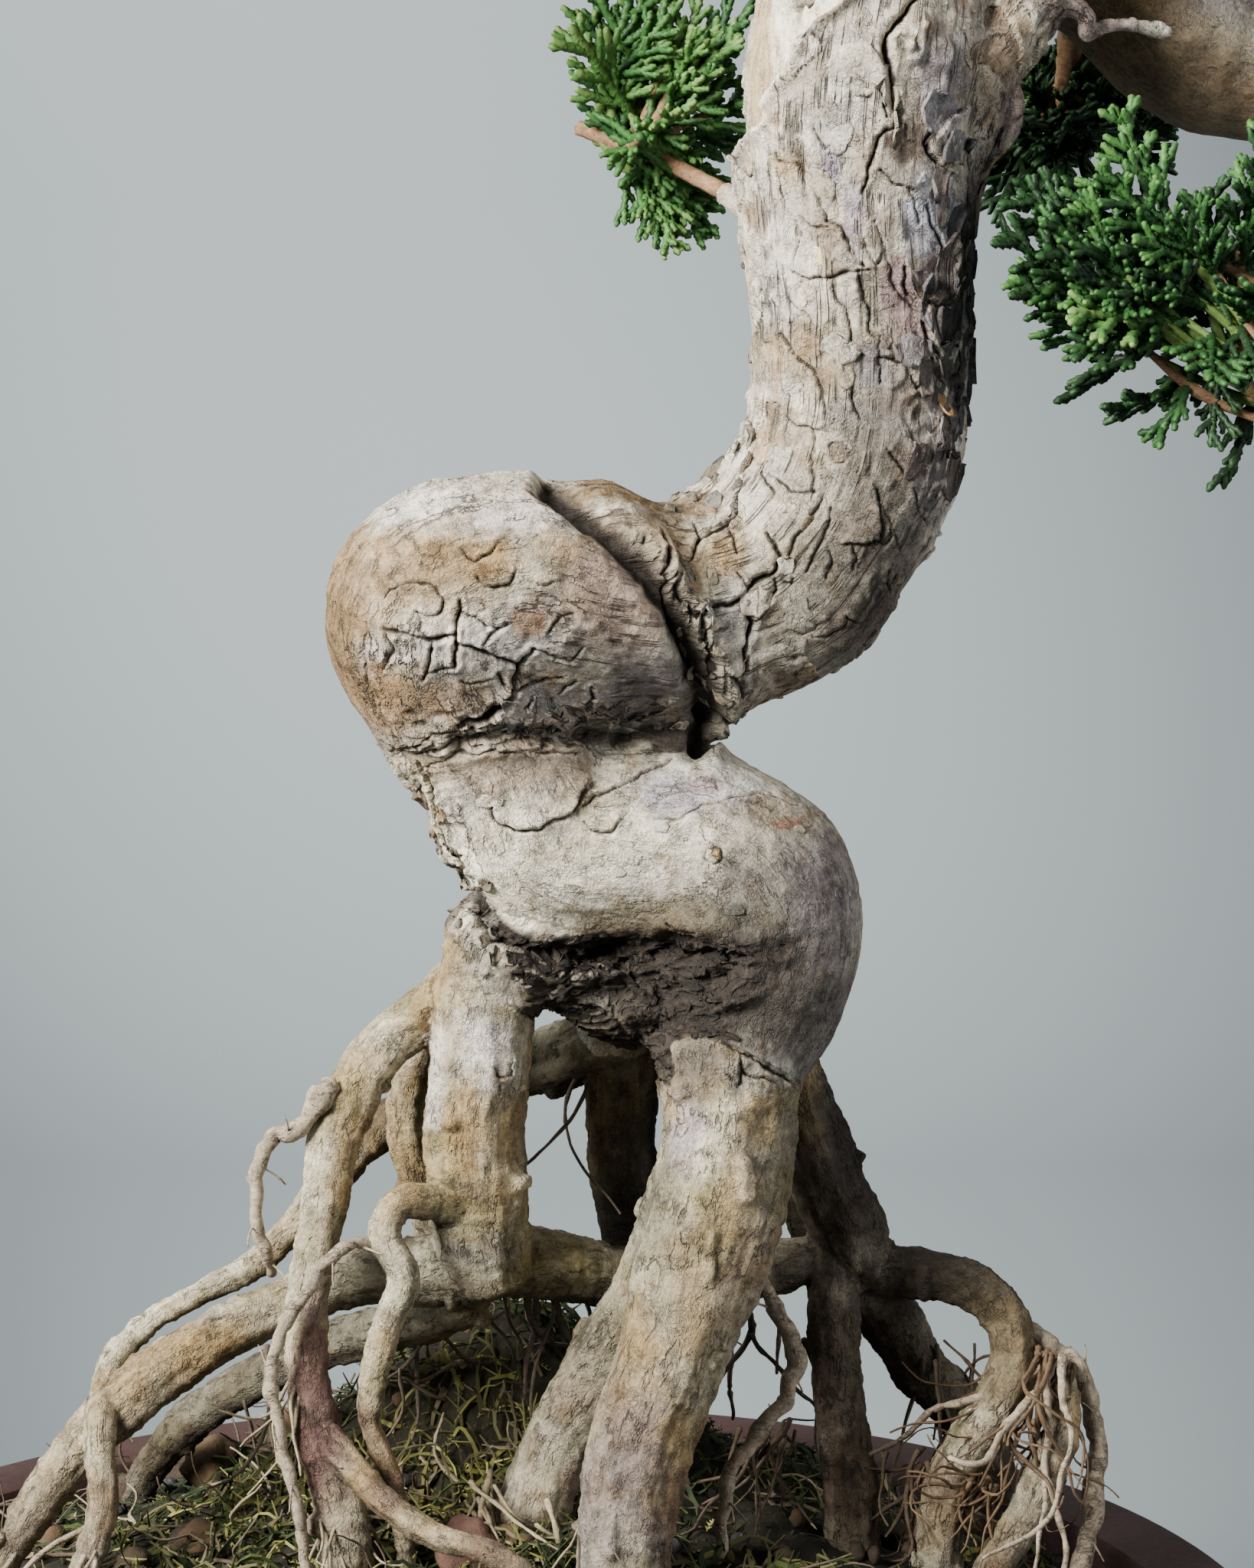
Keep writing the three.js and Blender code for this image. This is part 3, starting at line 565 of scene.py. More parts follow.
class Sheet:
    """Adds and links a node tree's nodes by short calls."""

    def __init__(self, tree: bpy.types.NodeTree) -> None:
        """Takes the tree.

        Args:
            tree: the node tree to fill.
        """
        self.tree = tree

    def add(self, kind: str, inputs: dict[Any, Any] | None = None, **settings: Any) -> bpy.types.Node:
        """Adds a node.

        Args:
            kind: the node's type name without its ShaderNode prefix.
            inputs: values or sockets for its inputs, by name or number.
            settings: the node's own settings.

        Returns:
            The new node.
        """
        node = self.tree.nodes.new(kind if kind.startswith("Node") else "ShaderNode" + kind)
        for name, value in settings.items():
            setattr(node, name, value)
        for key, value in (inputs or {}).items():
            if isinstance(value, bpy.types.NodeSocket):
                self.tree.links.new(value, node.inputs[key])
            else:
                node.inputs[key].default_value = value
        return node

    def noise(self, vector: Any, scale: float, detail: float = 3.0, rough: float = 0.55) -> Any:
        """Returns the output of a noise texture."""
        inputs = {"Vector": vector, "Scale": scale, "Detail": detail, "Roughness": rough}
        return self.add("TexNoise", inputs).outputs["Fac"]

    def math(self, kind: str, first: Any, second: Any = 0.5) -> Any:
        """Returns the output of a math node."""
        return self.add("Math", {0: first, 1: second}, operation=kind).outputs[0]

    def span(self, value: Any, low: float, high: float, out_low: float = 0.0, out_high: float = 1.0) -> Any:
        """Returns a value mapped from one span to another, and held inside it."""
        inputs = {"Value": value, "From Min": low, "From Max": high, "To Min": out_low, "To Max": out_high}
        return self.add("MapRange", inputs, clamp=True).outputs["Result"]

    def mix(self, share: Any, first: Any, second: Any, kind: str = "MIX") -> Any:
        """Returns two colours mixed."""
        inputs = {0: share, 6: first, 7: second}
        return self.add("Mix", inputs, data_type="RGBA", blend_type=kind).outputs[2]


def new_group(name: str, inputs: dict[str, tuple[str, Any]], outputs: dict[str, str]) -> tuple[Any, Sheet]:
    """Starts a shader node group.

    Args:
        name: its name.
        inputs: each input's socket type and starting value.
        outputs: each output's socket type.

    Returns:
        The group and a sheet to fill it with.
    """
    group = bpy.data.node_groups.new(name, "ShaderNodeTree")
    for title, (kind, value) in inputs.items():
        socket = group.interface.new_socket(title, in_out="INPUT", socket_type="NodeSocket" + kind)
        if value is not None:
            socket.default_value = value
    for title, kind in outputs.items():
        group.interface.new_socket(title, in_out="OUTPUT", socket_type="NodeSocket" + kind)
    return group, Sheet(group)


FINISH_OUTPUTS = {"Color": "Color", "Roughness": "Float", "Height": "Float"}


def weathered_wood_group() -> Any:
    """Builds the group that all bark and bare wood shares: shed layers, cracks, grain, pores and dust."""
    group, sheet = new_group(
        "Weathered wood",
        {
            "Vector": ("Vector", None),
            "Grain": ("Vector", None),
            "Tone": ("Color", (0.4, 0.34, 0.27, 1)),
            "Gap": ("Float", 1.0),
            "Flaking": ("Float", 0.5),
            "Bark": ("Float", 1.0),
            "Roughness": ("Float", 0.8),
        },
        FINISH_OUTPUTS,
    )
    given = sheet.add("NodeGroupInput").outputs
    vector, flaking = given["Vector"], given["Flaking"]
    warp = sheet.add("TexNoise", {"Vector": vector, "Scale": 420.0, "Detail": 3.0}).outputs["Color"]
    bent = sheet.add("VectorMath", {0: warp, 1: (0.0026, 0.0026, 0.0026)}, operation="MULTIPLY").outputs[0]
    bent = sheet.add("VectorMath", {0: vector, 1: bent}, operation="ADD").outputs[0]

    layers = sheet.math("MULTIPLY", sheet.noise(bent, 170.0, 5.0, 0.55), 12.0)
    level = sheet.math("FLOOR", layers)
    part = sheet.math("SUBTRACT", layers, level)
    shedding = sheet.span(sheet.noise(vector, 210.0, 2.0), 0.42, 0.6)
    shedding = sheet.math("MULTIPLY", shedding, flaking)
    # Painted shadow along the foot of each shed layer's edge, and a painted highlight on the band just above
    # it.
    drop = sheet.math("MULTIPLY", sheet.span(part, 0.02, 0.15, 1.0, 0.0), shedding)
    edge_highlight = sheet.math("MULTIPLY", sheet.span(part, 0.15, 0.4, 1.0, 0.0), shedding)
    turn = sheet.add("TexWhiteNoise", {"W": level}, noise_dimensions="1D").outputs["Value"]

    along = sheet.add("VectorMath", {0: given["Grain"], 1: (0.4, 1.0, 1.0)}, operation="MULTIPLY").outputs[0]
    hair = sheet.math("ABSOLUTE", sheet.math("SUBTRACT", sheet.noise(along, 420.0, 4.0, 0.6), 0.5))
    hair = sheet.span(hair, 0.004, 0.034, 1.0, 0.0)
    split = sheet.math("MULTIPLY", hair, sheet.span(sheet.noise(vector, 260.0, 2.0), 0.44, 0.56))
    split = sheet.math("MULTIPLY", split, sheet.span(flaking, 0.0, 0.8, 0.35, 1.0))
    split = sheet.math("MULTIPLY", split, given["Bark"])
    gap = sheet.span(given["Gap"], 0.03, 0.085, 1.0, 0.0)
    halo = sheet.span(given["Gap"], 0.06, 0.17, 0.22, 0.0)

    drawn = sheet.add("VectorMath", {0: given["Grain"], 1: (0.2, 1.0, 1.0)}, operation="MULTIPLY").outputs[0]
    fibre = sheet.noise(drawn, 1700.0, 3.0, 0.6)
    pulled = {0: given["Grain"], 1: (0.42, 1.0, 1.0)}
    pulled = sheet.add("VectorMath", pulled, operation="MULTIPLY").outputs[0]
    pulled = sheet.add("VectorMath", {0: pulled, 1: bent}, operation="ADD").outputs[0]
    pore = sheet.add("TexVoronoi", {"Vector": pulled, "Scale": 1700.0}, feature="DISTANCE_TO_EDGE")
    pore_line = sheet.span(pore.outputs["Distance"], 0.0, 0.12, 1.0, 0.0)
    pore_line = sheet.math("MULTIPLY", pore_line, sheet.span(sheet.noise(vector, 480.0, 2.0), 0.45, 0.62))
    broad = sheet.noise(vector, 190.0, 4.0, 0.65)
    fine = sheet.noise(bent, 2500.0, 3.0, 0.72)

    shade = sheet.span(broad, 0.3, 0.7, 0.7, 1.3)
    shade = sheet.math("ADD", shade, sheet.span(fine, 0.3, 0.7, -0.36, 0.36))
    shade = sheet.math("ADD", shade, sheet.span(fibre, 0.3, 0.7, -0.2, 0.2))
    lit = sheet.add("VectorMath", {0: given["Tone"], "Scale": shade}, operation="SCALE").outputs[0]
    warm = sheet.span(sheet.noise(bent, 340.0, 5.0, 0.7), 0.53, 0.66, 0.0, 0.6)
    browned = sheet.mix(1.0, lit, (0.62, 0.46, 0.3, 1), "MULTIPLY")
    colour = sheet.mix(sheet.math("MULTIPLY", warm, given["Bark"]), lit, browned)
    bleached = sheet.span(sheet.noise(bent, 560.0, 4.0, 0.68), 0.55, 0.68, 0.0, 0.55)
    paler = sheet.add("VectorMath", {0: lit, "Scale": 1.45}, operation="SCALE").outputs[0]
    colour = sheet.mix(sheet.math("MULTIPLY", bleached, given["Bark"]), colour, paler)
    dulled = sheet.math("MULTIPLY", sheet.span(turn, 0.0, 1.0, 0.0, 0.3), shedding)
    darker = sheet.add("VectorMath", {0: lit, "Scale": 0.5}, operation="SCALE").outputs[0]
    colour = sheet.mix(dulled, colour, darker)
    # The painted highlight above each layer's edge, then the painted shadow at its foot.
    colour = sheet.mix(sheet.math("MULTIPLY", edge_highlight, 0.3), colour, paler)
    colour = sheet.mix(sheet.math("MULTIPLY", drop, 0.75), colour, (0.06, 0.045, 0.034, 1))
    colour = sheet.mix(sheet.math("MULTIPLY", pore_line, 0.6), colour, darker)
    colour = sheet.mix(halo, colour, (0.10, 0.078, 0.06, 1))
    colour = sheet.mix(sheet.math("MULTIPLY", split, 0.8), colour, (0.035, 0.027, 0.02, 1))
    colour = sheet.mix(gap, colour, (0.024, 0.018, 0.013, 1))

    height = sheet.math("MULTIPLY", sheet.math("ADD", fine, sheet.math("MULTIPLY", fibre, 0.7)), 0.55)
    height = sheet.math("ADD", height, sheet.math("MULTIPLY", sheet.math("ADD", part, level), 0.2))
    height = sheet.math("SUBTRACT", height, sheet.math("MULTIPLY", drop, 0.35))
    height = sheet.math("SUBTRACT", height, sheet.math("MULTIPLY", pore_line, 0.25))
    height = sheet.math("SUBTRACT", height, sheet.math("MULTIPLY", sheet.math("MAXIMUM", split, gap), 0.8))
    rough = sheet.math("ADD", given["Roughness"], sheet.span(broad, 0.3, 0.7, -0.1, 0.1))
    sheet.add("NodeGroupOutput", {"Color": colour, "Roughness": rough, "Height": height})
    return group


def grit_group() -> Any:
    """Builds the group that clay, soil and stones share: coarse and fine grains over a cloudy base."""
    group, sheet = new_group(
        "Gritty body",
        {
            "Vector": ("Vector", None),
            "Base": ("Color", (0.2, 0.1, 0.08, 1)),
            "Fleck": ("Color", (0.3, 0.2, 0.15, 1)),
            "Grain": ("Float", 1.0),
            "Roughness": ("Float", 0.8),
        },
        FINISH_OUTPUTS,
    )
    given = sheet.add("NodeGroupInput").outputs
    scaled = {0: given["Vector"], "Scale": given["Grain"]}
    scaled = sheet.add("VectorMath", scaled, operation="SCALE").outputs[0]
    cloud = sheet.noise(scaled, 90.0, 4.0, 0.6)
    grain = sheet.noise(scaled, 900.0, 3.0, 0.65)
    fleck = sheet.add("TexVoronoi", {"Vector": scaled, "Scale": 1300.0}).outputs["Distance"]
    spots = sheet.span(fleck, 0.12, 0.3, 0.75, 0.0)
    shade = sheet.math("ADD", sheet.span(cloud, 0.3, 0.7, 0.72, 1.25), sheet.span(grain, 0.3, 0.7, -0.2, 0.2))
    base = sheet.add("VectorMath", {0: given["Base"], "Scale": shade}, operation="SCALE").outputs[0]
    colour = sheet.mix(sheet.math("MULTIPLY", spots, sheet.span(cloud, 0.4, 0.62)), base, given["Fleck"])
    height = sheet.math("ADD", sheet.math("MULTIPLY", grain, 0.6), sheet.math("MULTIPLY", spots, 0.3))
    rough = sheet.math("ADD", given["Roughness"], sheet.span(cloud, 0.3, 0.7, -0.08, 0.08))
    sheet.add("NodeGroupOutput", {"Color": colour, "Roughness": rough, "Height": height})
    return group


def shared_group(builder: Any, name: str) -> Any:
    """Returns a node group, building it the first time that it is asked for."""
    return bpy.data.node_groups.get(name) or builder()


def new_material(name: str) -> tuple[bpy.types.Material, Sheet, bpy.types.Node]:
    """Starts a material.

    Args:
        name: its name.

    Returns:
        The material, a sheet to fill it with, and its Principled shader.
    """
    material = bpy.data.materials.new(name)
    material.use_nodes = True
    sheet = Sheet(material.node_tree)
    shader = material.node_tree.nodes["Principled BSDF"]
    return material, sheet, shader


def finish_shader(sheet: Sheet, shader: bpy.types.Node, group: bpy.types.Node, depth: float) -> None:
    """Links a finish group's outputs to the shader.

    Args:
        sheet: the material's sheet.
        shader: its Principled shader.
        group: the placed group node.
        depth: the relief's depth in millimetres.
    """
    links = sheet.tree.links
    links.new(group.outputs["Color"], shader.inputs["Base Color"])
    links.new(group.outputs["Roughness"], shader.inputs["Roughness"])
    relief = sheet.add("Bump", {"Height": group.outputs["Height"], "Strength": 1.0, "Distance": depth * MM})
    links.new(relief.outputs["Normal"], shader.inputs["Normal"])


@dataclass(frozen=True)
class WoodFinish:
    """Bark or bare wood. Without a tone of its own it takes the tones and marks painted on its piece."""

    name: str
    tone: tuple[float, float, float] | None = None
    flaking: float = 0.3
    bark: float = 0.7
    roughness: float = 0.8
    relief: float = 0.3

    def material(self) -> bpy.types.Material:
        """Builds the material."""
        material, sheet, shader = new_material(self.name)
        group = sheet.add("Group", node_tree=shared_group(weathered_wood_group, "Weathered wood"))
        place = sheet.add("TexCoord").outputs["Object"]
        sheet.tree.links.new(place, group.inputs["Vector"])
        if self.tone is None:
            self.link_paint(sheet, group)
        else:
            sheet.tree.links.new(place, group.inputs["Grain"])
            group.inputs["Tone"].default_value = (*self.tone, 1)
            group.inputs["Flaking"].default_value = self.flaking
            group.inputs["Bark"].default_value = self.bark
        group.inputs["Roughness"].default_value = self.roughness
        finish_shader(sheet, shader, group, self.relief)
        shader.inputs["Specular IOR Level"].default_value = 0.25
        return material

    def link_paint(self, sheet: Sheet, group: bpy.types.Node) -> None:
        """Links the piece's painted layers to the group.

        Args:
            sheet: the material's sheet.
            group: the placed group node.
        """
        links = sheet.tree.links
        links.new(sheet.add("Attribute", attribute_name="Tone").outputs["Color"], group.inputs["Tone"])
        marks = sheet.add("Attribute", attribute_name="Marks").outputs["Vector"]
        parts = sheet.add("SeparateXYZ", {0: marks}).outputs
        for part, name in zip(parts, ("Gap", "Flaking", "Bark")):
            links.new(part, group.inputs[name])
        grain = sheet.add("Attribute", attribute_name="Grain").outputs["Vector"]
        grain = sheet.add("VectorMath", {0: grain, "Scale": 0.2}, operation="SCALE").outputs[0]
        links.new(grain, group.inputs["Grain"])


@dataclass(frozen=True)
class GritFinish:
    """Fired clay, soil or stone."""

    name: str
    base: tuple[float, float, float]
    fleck: tuple[float, float, float]
    grain: float = 1.0
    roughness: float = 0.8
    relief: float = 0.15

    def material(self) -> bpy.types.Material:
        """Builds the material."""
        material, sheet, shader = new_material(self.name)
        group = sheet.add("Group", node_tree=shared_group(grit_group, "Gritty body"))
        sheet.tree.links.new(sheet.add("TexCoord").outputs["Object"], group.inputs["Vector"])
        group.inputs["Base"].default_value = (*self.base, 1)
        group.inputs["Fleck"].default_value = (*self.fleck, 1)
        group.inputs["Grain"].default_value = self.grain
        group.inputs["Roughness"].default_value = self.roughness
        finish_shader(sheet, shader, group, self.relief)
        shader.inputs["Specular IOR Level"].default_value = 0.3
        return material


@dataclass(frozen=True)
class LeafFinish:
    """A plain leaf colour with a waxy skin."""

    name: str
    colour: tuple[float, float, float]
    roughness: float = 0.5

    def material(self) -> bpy.types.Material:
        """Builds the material."""
        material, sheet, shader = new_material(self.name)
        shader.inputs["Base Color"].default_value = (*self.colour, 1)
        grain = sheet.noise(sheet.add("TexCoord").outputs["Object"], 2600.0, 2.0)
        rough = sheet.span(grain, 0.3, 0.7, self.roughness - 0.1, self.roughness + 0.12)
        sheet.tree.links.new(rough, shader.inputs["Roughness"])
        relief = sheet.add("Bump", {"Height": grain, "Strength": 0.5, "Distance": 0.08 * MM})
        sheet.tree.links.new(relief.outputs["Normal"], shader.inputs["Normal"])
        shader.inputs["Specular IOR Level"].default_value = 0.3
        return material


# Modelling helpers


def only_select(piece: bpy.types.Object) -> None:
    """Deselects everything, then selects one piece and makes it active."""
    bpy.ops.object.select_all(action="DESELECT")
    piece.select_set(True)
    bpy.context.view_layer.objects.active = piece


def apply_modifier(piece: bpy.types.Object, kind: str, **settings: Any) -> None:
    """Adds a modifier and applies it.

    Args:
        piece: the object.
        kind: the modifier's type.
        settings: the modifier's settings.
    """
    only_select(piece)
    modifier = piece.modifiers.new(kind.title(), kind)
    for name, value in settings.items():
        setattr(modifier, name, value)
    bpy.ops.object.modifier_apply(modifier=modifier.name)


def vertex_rows(mesh: bpy.types.Mesh, key: str) -> np.ndarray:
    """Returns a vertex property as rows of three, with places in millimetres."""
    rows = np.empty(len(mesh.vertices) * 3, np.float32)
    mesh.vertices.foreach_get(key, rows)
    rows = rows.reshape(-1, 3)
    return rows / MM if key == "co" else rows


def keep(piece: bpy.types.Object, slot: str, *nodes: str) -> bpy.types.Object:
    """Registers a finished piece.

    Args:
        piece: the object.
        slot: a material slot of the record, which is not used.
        nodes: the CAD nodes that it stands for.

    Returns:
        The piece.
    """
    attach(piece, "root")
    if nodes:
        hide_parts(*nodes)
    LOG.info("%s: %d faces", piece.name, len(piece.data.polygons))
    return piece


# The wood


@dataclass(frozen=True)
class Crease:
    """A groove in the front of the trunk, along a line of (x, z) places as seen from the front."""

    line: tuple[tuple[float, float], ...]
    width: float
    depth: float
    # dark is how strongly shade is painted into the groove, and pale_end the x below which it gets none.
    dark: float = 1.0
    pale_end: float = -30.0

    def distance(self, places: np.ndarray) -> np.ndarray:
        """Returns how far each place is from the line, seen from the front."""
        flat = places[:, [0, 2]]
        least = np.full(len(flat), 1e3, np.float32)
        for a, b in zip(self.line, self.line[1:]):
            start, step = np.array(a, np.float32), np.array(b, np.float32) - np.array(a, np.float32)
            share = np.clip(((flat - start) @ step) / (step @ step), 0, 1)
            least = np.minimum(least, np.linalg.norm(flat - start - share[:, None] * step, axis=1))
        return least


class BarkTone(Enum):
    """The bark's tones, of which DARK also serves as painted shade in folds, hollows and on the heavy limb.
    """

    PALE = (0.56, 0.51, 0.405)
    MID = (0.36, 0.31, 0.235)
    OCHRE = (0.31, 0.205, 0.092)
    LAVENDER = (0.27, 0.245, 0.255)
    INNER = (0.25, 0.16, 0.09)
    DARK = (0.032, 0.025, 0.019)
    BARE = (0.86, 0.775, 0.61)
    RUST = (0.16, 0.10, 0.065)
    OLIVE = (0.25, 0.215, 0.11)


@dataclass(frozen=True)
class Crack:
    """A crack, whose left-hand side may stand higher by its step.

    Its line was read off the photograph, as places across and down that Studio.photo measures.
    """

    width: float
    depth: float
    step: float
    line: tuple[tuple[int, int], ...]


@dataclass(frozen=True)
class StainLightOrShade:
    """A patch of another tone on the bark: some are stains, the others painted shade and painted light."""

    place: tuple[float, float, float]
    reach: tuple[float, float, float]
    tone: tuple[float, float, float]
    strength: float = 0.8
    trunk_only: bool = True


@dataclass(frozen=True)
class Knob:
    """A small healed knob, ringed like a closed branch scar."""

    place: tuple[float, float, float]
    radius: float
    height: float
    ring: float = 0.25


@dataclass(frozen=True)
class Shade:
    """Painted light or shade in a patch seen from the front: the bark is lighter or darker by a factor."""

    x: float
    z: float
    wide: float
    high: float
    factor: float


TAN = (0.25, 0.155, 0.064)
UMBER = (0.155, 0.105, 0.08)
MAUVE = (0.36, 0.31, 0.36)
ROSE = (0.36, 0.24, 0.235)
# A pale tone for painted highlights where the bark is lit.
PAINTED_HIGHLIGHT = (0.66, 0.62, 0.55)
HONEY = (0.42, 0.27, 0.11)
